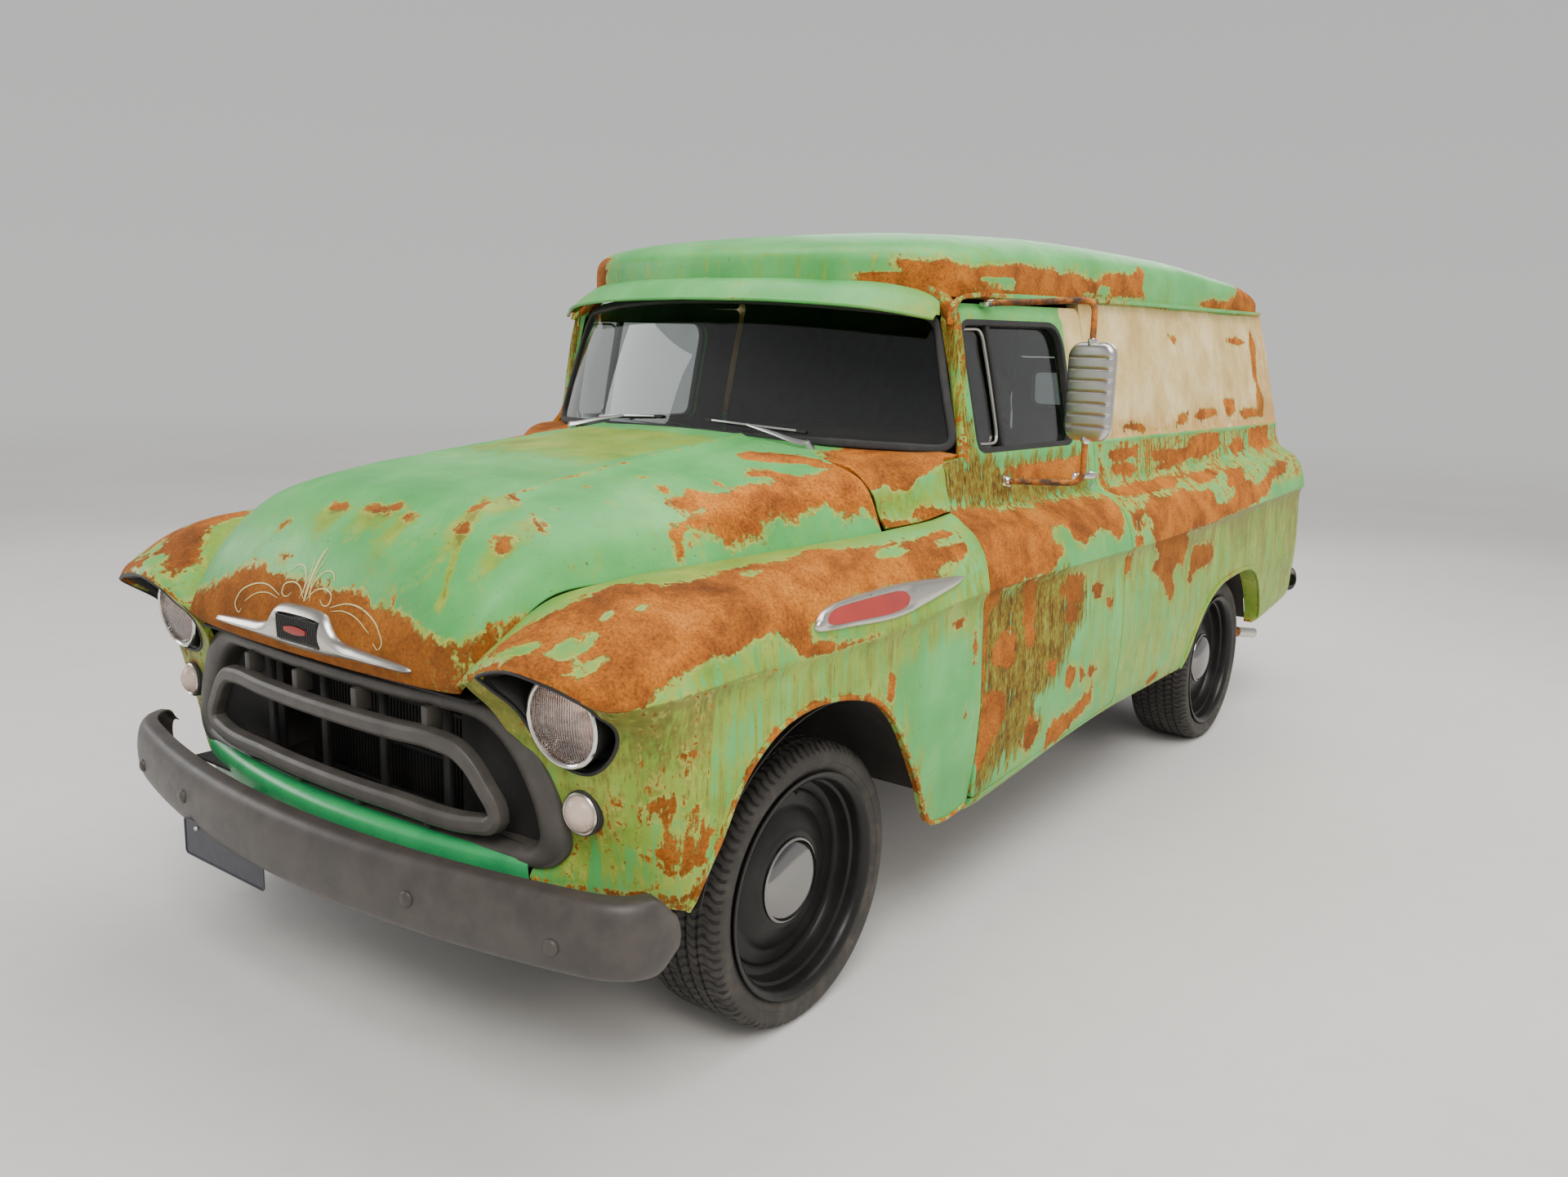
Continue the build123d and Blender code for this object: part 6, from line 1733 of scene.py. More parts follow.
# ---------------------------------------------------------------- sun visor
VLIP = through([(0, -0.950, 1.687), (0.35, -0.905, 1.6805), (0.58, -0.812, 1.664), (0.693, -0.723, 1.643)], 0.025)
VROOT0 = [(0, -0.836, 1.750), (0.35, -0.782, 1.747), (0.584, -0.672, 1.733), (0.662, -0.650, 1.700), (0.693, -0.690, 1.655)]
kr = np.concatenate([[0], np.cumsum(np.linalg.norm(np.diff(np.array(VROOT0), axis=0), axis=1))])
sl = np.linspace(0, 1, len(VLIP))
VROOT = curve(kr, np.array(VROOT0), kr[-1] * sl)
VLIP[0, 0] = VROOT[0, 0] = 0.0


def visor_part():
    rows = []
    t = np.linspace(0, 1, 9)
    up = np.array([0, -0.3, 1.0])
    for side in (0.0, -0.003):
        for s in (t if side == 0 else t[::-1]):
            P = VLIP * (1 - s) + VROOT * s
            P = P + up * (0.016 * math.sin(math.pi * s) * (1 - 0.6 * sl[:, None] ** 3)) + up * side
            P[0, 0] = 0.0
            rows.append(P)
    V = np.stack(rows, 1).reshape(-1, 3)
    F = grid_faces(len(VLIP), len(rows), False, True)
    n, k = len(VLIP), len(rows)
    F.append(tuple((n - 1) * k + j for j in range(k))[::-1])
    bead = sweep(VLIP, circle(0.0055, 10), up=(0, 0, 1))
    return both(merge((V, F), bead))


def visor_masks(P, N):
    n = len(P)
    x = P[:, 0]
    rust = 0.22 + 0.10 * np.sin(x * 7.0 + 0.6) + 0.12 * smoothstep(0.50, 0.66, np.abs(x))
    return {"rust": rust, "cream": np.zeros(n), "stain": np.full(n, 0.34) + 0.2 * smoothstep(0.45, 0.66, np.abs(x)), "streak": np.full(n, 0.12), "vert": np.full(n, 0.35), "olive": np.zeros(n)}


make("visor", visor_part(), MAT["body_paint"], "root", ["sun_visor"], weld=2e-5, attrs=visor_masks)
# ---------------------------------------------------------------- front fenders
# the brow line, then the crown columns out to the shut line with the hood
FEND = [
    dict(T=(0.953, -0.806, 0.955), c=[(0.936, -0.806, 1.030), (0.905, -0.806, 1.085), (0.862, -0.806, 1.120), (0.840, -0.806, 1.136)], H=(0.824, -0.806, 1.143)),
    dict(T=(0.950, -0.985, 0.948), c=[(0.930, -0.985, 1.020), (0.893, -0.985, 1.083), (0.835, -0.985, 1.120), (0.780, -0.985, 1.118)], H=(0.738, -0.985, 1.099)),
    dict(T=(0.947, -1.138, 0.932), c=[(0.926, -1.138, 1.010), (0.888, -1.138, 1.070), (0.822, -1.138, 1.110), (0.760, -1.138, 1.108)], H=(0.705, -1.138, 1.089)),
    dict(T=(0.946, -1.320, 0.925), c=[(0.928, -1.320, 1.005), (0.884, -1.320, 1.066), (0.802, -1.320, 1.107), (0.730, -1.320, 1.102)], H=(0.672, -1.320, 1.084)),
    dict(T=(0.945, -1.498, 0.922), c=[(0.930, -1.498, 1.000), (0.880, -1.498, 1.060), (0.780, -1.498, 1.100), (0.700, -1.498, 1.094)], H=(0.640, -1.498, 1.079)),
    dict(T=(0.948, -1.813, 0.926), c=[(0.927, -1.813, 0.990), (0.865, -1.813, 1.050), (0.745, -1.813, 1.086), (0.665, -1.813, 1.083)], H=(0.585, -1.813, 1.064)),
    dict(T=(0.948, -1.950, 0.922), c=[(0.925, -1.950, 0.985), (0.850, -1.950, 1.040), (0.720, -1.950, 1.075), (0.640, -1.950, 1.070)], H=(0.560, -1.950, 1.045)),
    dict(T=(0.930, -2.050, 0.915), c=[(0.905, -2.040, 0.972), (0.838, -2.030, 1.020), (0.720, -2.025, 1.050), (0.632, -2.020, 1.045)], H=(0.549, -2.012, 1.016)),
    dict(T=(0.885, -2.130, 0.911), c=[(0.868, -2.118, 0.950), (0.820, -2.100, 0.985), (0.720, -2.090, 1.008), (0.620, -2.083, 1.004)], H=(0.537, -2.070, 0.974)),
    dict(T=(0.780, -2.168, 0.945), c=[(0.765, -2.160, 0.965), (0.720, -2.145, 0.985), (0.650, -2.130, 0.990), (0.580, -2.115, 0.975)], H=(0.524, -2.100, 0.947)),
    dict(T=(0.676, -2.179, 0.957), c=[(0.665, -2.173, 0.964), (0.640, -2.165, 0.970), (0.600, -2.150, 0.966), (0.560, -2.140, 0.950)], H=(0.514, -2.125, 0.922)),
    dict(T=(0.600, -2.172, 0.937), c=[(0.590, -2.168, 0.941), (0.575, -2.163, 0.939), (0.550, -2.155, 0.931), (0.530, -2.148, 0.921)], H=(0.507, -2.140, 0.906)),
    dict(T=(0.530, -2.155, 0.900), c=[(0.526, -2.154, 0.900), (0.520, -2.153, 0.899), (0.514, -2.152, 0.897), (0.508, -2.151, 0.895)], H=(0.502, -2.150, 0.893)),
]
LOWX = [(0.915, 0.352), (0.935, 0.50), (0.939, 0.56), (0.943, 0.65), (0.940, 0.76), (0.937, 0.86)]
FLOW = {
    6: [(0.915, -1.862, 0.445), (0.926, -1.868, 0.50), (0.931, -1.875, 0.56), (0.936, -1.887, 0.65), (0.938, -1.905, 0.76), (0.937, -1.925, 0.86), (0.938, -1.942, 0.898)],
    7: [(0.885, -1.91, 0.455), (0.897, -1.918, 0.50), (0.903, -1.925, 0.56), (0.910, -1.937, 0.65), (0.914, -1.958, 0.76), (0.918, -1.992, 0.86), (0.921, -2.025, 0.893)],
    8: [(0.815, -1.955, 0.46), (0.825, -1.965, 0.50), (0.832, -1.972, 0.56), (0.845, -1.985, 0.65), (0.852, -2.005, 0.76), (0.862, -2.045, 0.86), (0.872, -2.092, 0.888)],
    9: [(0.755, -1.985, 0.465), (0.765, -1.995, 0.50), (0.770, -2.000, 0.56), (0.780, -2.018, 0.65), (0.785, -2.045, 0.76), (0.785, -2.085, 0.86), (0.783, -2.130, 0.905)],
    10: [(0.700, -2.012, 0.470), (0.708, -2.020, 0.50), (0.710, -2.014, 0.56), (0.712, -2.026, 0.65), (0.705, -2.046, 0.76), (0.695, -2.090, 0.86), (0.683, -2.140, 0.915)],
    11: [(0.655, -2.032, 0.470), (0.658, -2.040, 0.50), (0.664, -2.022, 0.56), (0.655, -2.032, 0.65), (0.635, -2.050, 0.76), (0.615, -2.098, 0.86), (0.607, -2.144, 0.905)],
    12: [(0.604, -2.052, 0.470), (0.605, -2.060, 0.50), (0.622, -2.032, 0.56), (0.596, -2.040, 0.65), (0.570, -2.062, 0.76), (0.545, -2.110, 0.85), (0.535, -2.138, 0.88)],
}


def fender_rows():
    C = []
    for k, row in enumerate(FEND):
        T = np.array(row["T"])
        if k in FLOW:
            low = [np.array(p) for p in FLOW[k]]
        else:
            low = [np.array((x, T[1], z)) for x, z in LOWX] + [np.array((0.938, T[1], T[2] - 0.027))]
        a = T + 0.36 * (low[-1] - T)
        c0 = np.array(row["c"][0])
        b = T + 0.13 * (c0 - T)
        C.append(low + [a, T, b] + [np.array(p) for p in row["c"]] + [np.array(row["H"])])
    return np.array(C)


FC = fender_rows()
FEN = Sheet(FC, U=np.concatenate([[0], np.cumsum(np.linalg.norm(np.diff(FC[:, 5:9], axis=0), axis=2).mean(1))]))
fu, fv = FEN.U, FEN.V
V_T = fv[8]
flip_fen = bool(normals(FEN, np.array([fu[3]]), np.array([fv[3]]))[0, 0] < 0)
ARCH_F = [(-1.905, 0.452), (-1.901, 0.497), (-1.874, 0.587), (-1.815, 0.696), (-1.751, 0.752), (-1.677, 0.790), (-1.586, 0.808), (-1.495, 0.808), (-1.397, 0.792), (-1.311, 0.763), (-1.246, 0.712),
          (-1.170, 0.610), (-1.103, 0.509), (-1.032, 0.403), (-1.000, 0.372), (-0.977, 0.3625)]
arch_f = through([(y, z, 0) for y, z in ARCH_F], 0.014)[:, :2]
arch_uv = on_sheet(FEN, arch_f, [1, 2], (0.0, fu[8]), (0.0, V_T))
arch_uv[0, 1] = 1e-4
POCKET = [(0.578, 0.925), (0.594, 0.890), (0.607, 0.850), (0.618, 0.808), (0.640, 0.768), (0.676, 0.743), (0.715, 0.735), (0.757, 0.742), (0.793, 0.763), (0.820, 0.800), (0.833, 0.842), (0.833, 0.878)]


def pocket_loop():
    body = through([(x, 0, z) for x, z in POCKET], 0.011)
    uv = on_sheet(FEN, body[:, [0, 2]], [0, 2], (fu[7], fu[12]), (fv[2], V_T))
    x_t = np.linspace(0.842, 0.588, 26)
    tu = []
    for x in x_t:
        lo, hi = fu[7], fu[12]
        for _ in range(40):
            m = (lo + hi) / 2
            if FEN(m, V_T)[0, 0] > x:
                lo = m
            else:
                hi = m
        tu.append(lo)
    top = np.stack([tu, np.full(len(tu), V_T - 0.004)], 1)
    uv[:, 1] = np.minimum(uv[:, 1], V_T - 0.004)
    loop = np.vstack([uv, top])
    keep = [0]
    for i in range(1, len(loop)):
        if np.linalg.norm(loop[i] - loop[keep[-1]]) > 0.003:
            keep.append(i)
    return loop[keep]


def fender_part():
    bottom = [(u, 1e-4) for u in np.linspace(fu[12], arch_uv[0, 0], 26)[:-1]]
    edge = on_sheet(FEN, [(y, np.interp(y, [-0.977, -0.904, -0.811], [0.3625, 0.356, 0.369])) for y in np.linspace(-0.965, -0.812, 10)], [1, 2], (0, fu[2]), (0, V_T))
    rear = [(0.0004, v) for v in np.linspace(edge[-1, 1] + 0.01, fv[-1], 56)]
    top = [(u, fv[-1]) for u in np.linspace(0.02, fu[12], 76)]
    front = [(fu[12], v) for v in np.linspace(fv[-1], fv[5], 16)[1:]]
    under = refine([(0.546, 0.838), (0.548, 0.816), (0.554, 0.802), (0.576, 0.784), (0.598, 0.763), (0.634, 0.712), (0.661, 0.653), (0.673, 0.600), (0.673, 0.566), (0.660, 0.546), (0.640, 0.531), (0.620, 0.522),
                    (0.609, 0.512), (0.606, 0.495)], 0.012, False)
    front += list(on_sheet(FEN, under, [0, 2], (fu[9], fu[12]), (0.0, V_T)))
    loop = np.array(bottom + list(arch_uv) + list(edge) + rear + top + front)
    keep = [0]
    for i in range(1, len(loop)):
        if np.linalg.norm(loop[i] - loop[keep[-1]]) > 0.0025:
            keep.append(i)
    loop = loop[keep]
    pk = pocket_loop()
    return panel(FEN, loop, [pk], du=0.021, dv=0.016, hem=0.003, flange=0.013, flip=flip_fen), pk


(fen_part, pocket_uv) = fender_part()


def fender_masks(P, N):
    x, y, z = np.abs(P[:, 0]), P[:, 1], P[:, 2]
    left = P[:, 0] > 0
    n = len(P)
    brow_y = [r["T"][1] for r in FEND[:8]][::-1]
    zt = np.interp(y, brow_y, [r["T"][2] for r in FEND[:8]][::-1])
    zt = np.where(y < -2.05, np.interp(x, [r["T"][0] for r in FEND[::-1][:6]], [r["T"][2] for r in FEND[::-1][:6]]), zt)
    top = smoothstep(-0.004, 0.004, z - zt)
    side = 1 - top
    w = x - z + np.where(left, 0.0, 0.02 * np.sin(9 * y))
    rust = np.maximum(0.15, patches(y, w, FEN_TOP, soft=0.10) * smoothstep(-0.014, 0.0, z - zt))
    rust = np.maximum(rust, top * smooth_down(0.0, 0.05, z - zt) * (y < -2.03) * 0.56)
    hole = spots(y, w, FEN_ISLES)
    rust = np.where(hole > 0.30, np.minimum(rust, 0.52 - 0.75 * (hole - 0.30)), rust)
    d = np.full(n, 9.0)
    for ay, az in arch_f:
        d = np.minimum(d, np.hypot(y - ay, z - az))
    onside = side * (y > -1.93)
    rust = np.maximum(rust, onside * 0.515 * smooth_down(0.004, 0.030, d))
    rust = np.maximum(rust, onside * 0.53 * smooth_down(0.006, 0.022, z - 0.362))
    rust = np.maximum(rust, side * 0.54 * ellipse_mask(P, -1.925, 0.61, 0.050, 0.095, 1.0, 0.5))
    rust = np.maximum(rust, side * 0.55 * ellipse_mask(P, -1.885, 0.505, 0.035, 0.060, 1.0, 0.5))
    rust = np.maximum(rust, side * 0.50 * ellipse_mask(P, -1.965, 0.675, 0.030, 0.055, 1.0, 0.5))
    rust = np.maximum(rust, side * 0.52 * smooth_down(0.485, 0.52, z) * (y < -1.90))
    rust = np.maximum(rust, side * 0.47 * smooth_down(0.0, 0.030, zt - z) * (y > -2.0))
    rust = np.maximum(rust, side * 0.53 * ellipse_mask(P, -1.255, 0.790, 0.030, 0.050, 1.0, 0.5))
    rust = np.maximum(rust, side * 0.50 * ellipse_mask(P, -0.835, 0.82, 0.022, 0.075, 1.0, 0.5))
    rust = np.maximum(rust, side * 0.53 * ellipse_mask(P, -0.93, 0.885, 0.05, 0.016, 1.0, 0.5))
    rust = np.maximum(rust, side * 0.49 * ellipse_mask(P, -0.88, 0.65, 0.015, 0.03, 1.0, 0.5))
    stain = 0.40 + 0.34 * smooth_down(0.0, 0.16, zt - z) * side + 0.22 * smooth_down(0.0, 0.10, d) + 0.20 * top + 0.14 * side * smooth_down(-1.93, -1.80, y) * (z > 0.6)
    stain = stain - 0.16 * side * smoothstep(-1.10, -1.0, y) * smooth_down(0.82, 0.86, z)
    # grime and specks round the two lamps and on the nose corner
    lamp = np.minimum(np.hypot(x - 0.727, z - 0.654) / 0.11, np.hypot(x - 0.713, z - 0.843) / 0.19)
    near = side * (y < -1.86) * np.exp(-(lamp**2))
    stain = stain + 0.34 * near + 0.12 * side * (y < -1.90)
    rust = np.maximum(rust, side * (y < -1.90) * (0.30 + 0.16 * np.exp(-((np.hypot(x - 0.745, z - 0.640) / 0.085) ** 2))))
    streak = np.where(top > 0.5, 0.14, np.where(y < -1.86, 0.95, 0.45))
    return {"rust": rust, "cream": np.zeros(n), "stain": stain, "streak": streak, "vert": 1 - np.abs(N[:, 2]), "olive": np.zeros(n)}


make("fender_skins", both(fen_part), MAT["body_paint"], "root", ["front_fenders"], attrs=fender_masks)

# rolled lip round the front arch and along the fender's rear foot
lipuv = np.vstack([arch_uv[::2], on_sheet(FEN, [(y, np.interp(y, [-0.977, -0.904, -0.811], [0.3625, 0.356, 0.369])) for y in (-0.95, -0.90, -0.85, -0.82)], [1, 2], (0, fu[2]), (0, V_T))])
Pl = FEN(lipuv[:, 0], lipuv[:, 1])
Nl = normals(FEN, lipuv[:, 0], lipuv[:, 1], flip_fen)
make("front_arch_lips", both(sweep(Pl + Nl * 0.001, circle(0.0062, 10, 0.0048), up=Nl)), MAT["body_paint"], "root", attrs=fender_masks)

front_housing = housing(-1.448, 0.452, 0.442, 0.905, 0.455)
FHV = front_housing[0].copy()
sel = FHV[:, 2] > 0.455
FHV[:, 2] = np.where(sel, 0.337 + (FHV[:, 2] - 0.337) * 0.985, FHV[:, 2])
make("front_wheel_housings", both((FHV, front_housing[1])), MAT["chassis_black"], "root")

# ---------------------------------------------------------------- headlamps in their pockets
LAMP = np.array([0.713, -2.066, 0.843])
LAMP_AX = np.array([0.03, -1.0, -0.10])
LAMP_AX = LAMP_AX / np.linalg.norm(LAMP_AX)


def bucket_part():
    P = FEN(pocket_uv[:, 0], pocket_uv[:, 1])
    N = normals(FEN, pocket_uv[:, 0], pocket_uv[:, 1], flip_fen)
    c = np.array([0.713, -1.990, 0.843])
    rings = []
    start = P - N * 0.0025
    # the lining stands a little off the opening's edge, so that none of the skin's own thickness shows
    T = np.roll(P, -1, 0) - np.roll(P, 1, 0)
    off = np.column_stack([T[:, 2], 0 * T[:, 0], -T[:, 0]])
    off /= np.linalg.norm(off, axis=1)[:, None] + 1e-9
    off *= np.sign(np.median((off * (c - P)).sum(1)))
    prof = [(0.0, 0.0), (0.004, 0.02), (0.02, 0.20), (0.05, 0.55), (0.10, 0.85), (0.30, 0.99), (0.62, 1.0), (1.0, 1.0)]
    for inward, deep in prof:
        q = start * (1 - inward) + c * inward
        yb = start[:, 1] * (1 - deep) + c[1] * deep
        q = np.column_stack([q[:, 0], yb, q[:, 2]]) + off * (0.0075 * min(1.0, deep / 0.1) * (deep < 0.97))
        rings.append(q)
    V = np.stack(rings, 0).reshape(-1, 3)
    F = grid_faces(len(rings), len(P), False, True)
    # its back, so that it is a closed shell
    back = [r + np.array([0, 0.003, 0]) for r in rings]
    V = np.concatenate([V, np.stack(back, 0).reshape(-1, 3)])
    n = len(rings) * len(P)
    F += [tuple(i + n for i in f[::-1]) for f in grid_faces(len(rings), len(P), False, True)]
    m = len(P)
    F += [(j, (j + 1) % m, n + (j + 1) % m, n + j) for j in range(m)]
    return V, F


def black_walls():
    """The skin's own edge inside each lamp pocket is painted black like the pocket: painted shade on the green skin."""
    me = bpy.data.objects["fender_skins"].data
    n = len(me.polygons)
    no, ce = np.empty(n * 3, np.float32), np.empty(n * 3, np.float32)
    me.polygons.foreach_get("normal", no)
    me.polygons.foreach_get("center", ce)
    no, ce = no.reshape(-1, 3) * np.sign(ce.reshape(-1, 3)[:, :1]) ** np.array([1, 0, 0]), ce.reshape(-1, 3)
    ce = np.column_stack([np.abs(ce[:, 0]), ce[:, 1], ce[:, 2]])
    P = FEN(pocket_uv[:, 0], pocket_uv[:, 1])
    d = np.linalg.norm(ce[:, None, :] - P[None], axis=2)
    to = np.array([0.713, -1.990, 0.843]) - ce
    to /= np.linalg.norm(to, axis=1)[:, None] + 1e-9
    wall = (d.min(1) < 0.026) & ((no * to).sum(1) > 0.30)
    me.materials.append(MAT["pocket_shade_black"])
    me.polygons.foreach_set("material_index", wall.astype(np.int32))
    me.update()


black_walls()
# the pocket linings are near-black: painted shade round the lamps
make("lamp_pockets", both(bucket_part()), MAT["pocket_shade_black"], "root", weld=1e-5)
# a thin dark edge round each pocket: painted shade at the pocket's rim
Pp = FEN(pocket_uv[:, 0], pocket_uv[:, 1])
Np_ = normals(FEN, pocket_uv[:, 0], pocket_uv[:, 1], flip_fen)
make("pocket_edges", both(sweep(through(Pp - Np_ * 0.0006, 0.012, True), circle(0.0042, 8, 0.0036), True, up=Np_[0])), MAT["pocket_shade_black"], "root")

bucket = [(-0.078, 0.0), (-0.078, 0.050), (-0.050, 0.085), (-0.012, 0.091), (-0.002, 0.0925), (0.006, 0.0925), (0.006, 0.088), (-0.006, 0.086), (-0.045, 0.080), (-0.070, 0.046), (-0.072, 0.0)]
ring = [(0.004, 0.0915), (0.0085, 0.0930), (0.0120, 0.0905), (0.0125, 0.0865), (0.0100, 0.0832), (0.0050, 0.0825), (0.0030, 0.0845), (0.0030, 0.0905)]
bowl = [(-0.052, 0.0), (-0.050, 0.018), (-0.043, 0.036), (-0.031, 0.054), (-0.014, 0.070), (0.003, 0.0815), (0.0045, 0.0830), (0.0025, 0.0840), (-0.016, 0.0725), (-0.034, 0.0560), (-0.046, 0.0370), (-0.054, 0.018), (-0.056, 0.0)]
lens = [(0.0205, 0.0), (0.0200, 0.016), (0.0185, 0.032), (0.0155, 0.050), (0.0118, 0.066), (0.0085, 0.078), (0.0060, 0.0826), (0.0035, 0.0826), (0.0060, 0.077), (0.0092, 0.066), (0.0129, 0.050), (0.0158, 0.032), (0.0173, 0.016), (0.0178, 0.0)]
bulb = [(-0.052, 0.0), (-0.052, 0.008), (-0.030, 0.0085), (-0.024, 0.012), (-0.016, 0.012), (-0.010, 0.008), (-0.007, 0.0)]


def turned(profile, n=64, centre=LAMP, axis=LAMP_AX):
    return lathe(profile, centre, axis, n)


# the lamp shells share the pockets' near-black: painted shade round each lamp
make("headlamp_shells", both(turned(bucket, 56)), MAT["pocket_shade_black"], "root", ["front_lamps"], weld=1e-6)
make("headlamp_rings", both(spin(ring, LAMP, LAMP_AX, 96)), MAT["chrome"], "root")
make("headlamp_bowls", both(turned(bowl, 72)), MAT["lamp_bowl"], "root", weld=1e-6)
make("headlamp_bulbs", both(turned(bulb, 24)), MAT["bulb"], "root", weld=1e-6)
make("headlamp_lenses", both(turned(lens, 96)), MAT["lamp_glass"], "root", weld=1e-6)

PARK = np.array([0.727, -2.036, 0.654])
PARK_AX = np.array([0.10, -1.0, 0.02])
PARK_AX = PARK_AX / np.linalg.norm(PARK_AX)
cup = [(-0.034, 0.0), (-0.034, 0.028), (-0.006, 0.037), (0.002, 0.0425), (0.006, 0.0425), (0.009, 0.0395), (0.007, 0.0370), (0.002, 0.0360), (-0.020, 0.026), (-0.028, 0.0)]
dome = [(0.0300, 0.0), (0.0292, 0.007), (0.0262, 0.016), (0.0208, 0.0255), (0.0140, 0.0325), (0.0070, 0.0362), (0.0045, 0.0364), (0.0045, 0.0346), (0.0120, 0.0310), (0.0188, 0.0238), (0.0240, 0.0145), (0.0268, 0.0)]
make("parking_lamp_cups", both(lathe(cup, PARK, PARK_AX, 56)), MAT["aged_chrome"], "root", weld=1e-6)
make("parking_lamp_domes", both(lathe(dome, PARK, PARK_AX, 64)), MAT["milky_lens"], "root", weld=1e-6)
seat = lathe([(-0.036, 0.046), (0.001, 0.046), (0.004, 0.0435), (0.001, 0.040), (-0.036, 0.040)], PARK, PARK_AX, 48)
make("parking_lamp_seats", both(seat), MAT["rubber"], "root", weld=1e-6)
screws = merge(*[lathe([(0.006, 0.0), (0.006, 0.0025), (0.0085, 0.002), (0.0095, 0.0)], PARK + s * 0.0395 * np.cross(PARK_AX, (0, 0, 1.0)), PARK_AX, 14) for s in (-1, 1)])
make("parking_lamp_screws", both(screws), MAT["chrome"], "root")

# ---------------------------------------------------------------- hood
HOODC = [
    (-2.146, [(0, 0.858), (0.16, 0.858), (0.300, 0.860), (0.420, 0.863), (0.468, 0.866), (0.490, 0.869)]),
    (-2.156, [(0, 0.885), (0.16, 0.884), (0.300, 0.882), (0.420, 0.880), (0.472, 0.879), (0.4965, 0.880)]),
    (-2.161, [(0, 0.925), (0.16, 0.923), (0.300, 0.918), (0.420, 0.908), (0.478, 0.898), (0.500, 0.886)]),
    (-2.158, [(0, 0.970), (0.16, 0.968), (0.300, 0.961), (0.420, 0.945), (0.481, 0.922), (0.502, 0.897)]),
    (-2.140, [(0, 1.022), (0.16, 1.019), (0.300, 1.010), (0.420, 0.990), (0.486, 0.952), (0.506, 0.910)]),
    (-2.105, [(0, 1.080), (0.16, 1.077), (0.300, 1.068), (0.422, 1.044), (0.494, 1.000), (0.515, 0.940)]),
    (-2.050, [(0, 1.136), (0.16, 1.133), (0.300, 1.124), (0.426, 1.098), (0.504, 1.052), (0.534, 0.988)]),
    (-1.960, [(0, 1.190), (0.16, 1.188), (0.300, 1.181), (0.435, 1.158), (0.515, 1.110), (0.5515, 1.046)]),
    (-1.813, [(0, 1.226), (0.16, 1.224), (0.300, 1.219), (0.450, 1.194), (0.540, 1.140), (0.577, 1.062)]),
    (-1.640, [(0, 1.248), (0.17, 1.246), (0.305, 1.241), (0.463, 1.214), (0.562, 1.156), (0.608, 1.070)]),
    (-1.498, [(0, 1.264), (0.18, 1.262), (0.310, 1.257), (0.476, 1.230), (0.582, 1.172), (0.633, 1.077)]),
    (-1.320, [(0, 1.282), (0.18, 1.280), (0.315, 1.274), (0.500, 1.246), (0.612, 1.187), (0.665, 1.083)]),
    (-1.138, [(0, 1.300), (0.18, 1.298), (0.320, 1.291), (0.526, 1.260), (0.642, 1.202), (0.6975, 1.087)]),
    (-0.988, [(0, 1.317), (0.18, 1.314), (0.320, 1.306), (0.556, 1.268), (0.676, 1.210), (0.7285, 1.097)]),
]


def hood_plan(x, y):
    """The nose bows back a little towards its corners."""
    return 0.010 * (x / 0.45) ** 2 * smooth_down(-2.16, -1.95, y)


HC = np.array([[(x, y + float(hood_plan(x, np.array(y))), z) for x, z in row] for y, row in HOODC])
HOOD_S = Sheet(HC, U=np.concatenate([[0], np.cumsum(np.linalg.norm(np.diff(HC[:, :4], axis=0), axis=2).mean(1))]))
hu, hv = HOOD_S.U, HOOD_S.V
flip_hood = bool(normals(HOOD_S, np.array([hu[9]]), np.array([0.1]))[0, 2] < 0)


def hood_lift(uv, P):
    x, y = np.abs(P[:, 0]), P[:, 1]
    xr = np.interp(y, [-2.05, -1.915, -1.123, -0.985], [0.325, 0.313, 0.269, 0.262])
    fade = smoothstep(-2.03, -1.90, y)
    return fade * (0.009 * smooth_down(0.0, 0.045, x - xr) + 0.0035 * np.exp(-(((x - xr) / 0.011) ** 2)))


def hood_part():
    rear = [(hu[-1], v) for v in np.linspace(0, hv[-1], 50)]
    edge = [(u, hv[-1]) for u in np.linspace(hu[-1], 0, 96)[1:]]
    low = [(0, v) for v in np.linspace(hv[-1], 0, 40)[1:]]
    mid = [(u, 0) for u in np.linspace(0, hu[-1], 84)[1:-1]]
    return both(panel(HOOD_S, np.array(rear + edge + low + mid), [], du=0.017, dv=0.0145, hem=0.003, flange=0.012, flip=flip_hood, lift=hood_lift,
                      inner_flange=0.022, open_at=lambda L2, R: L2[:, 1] < 1e-9))


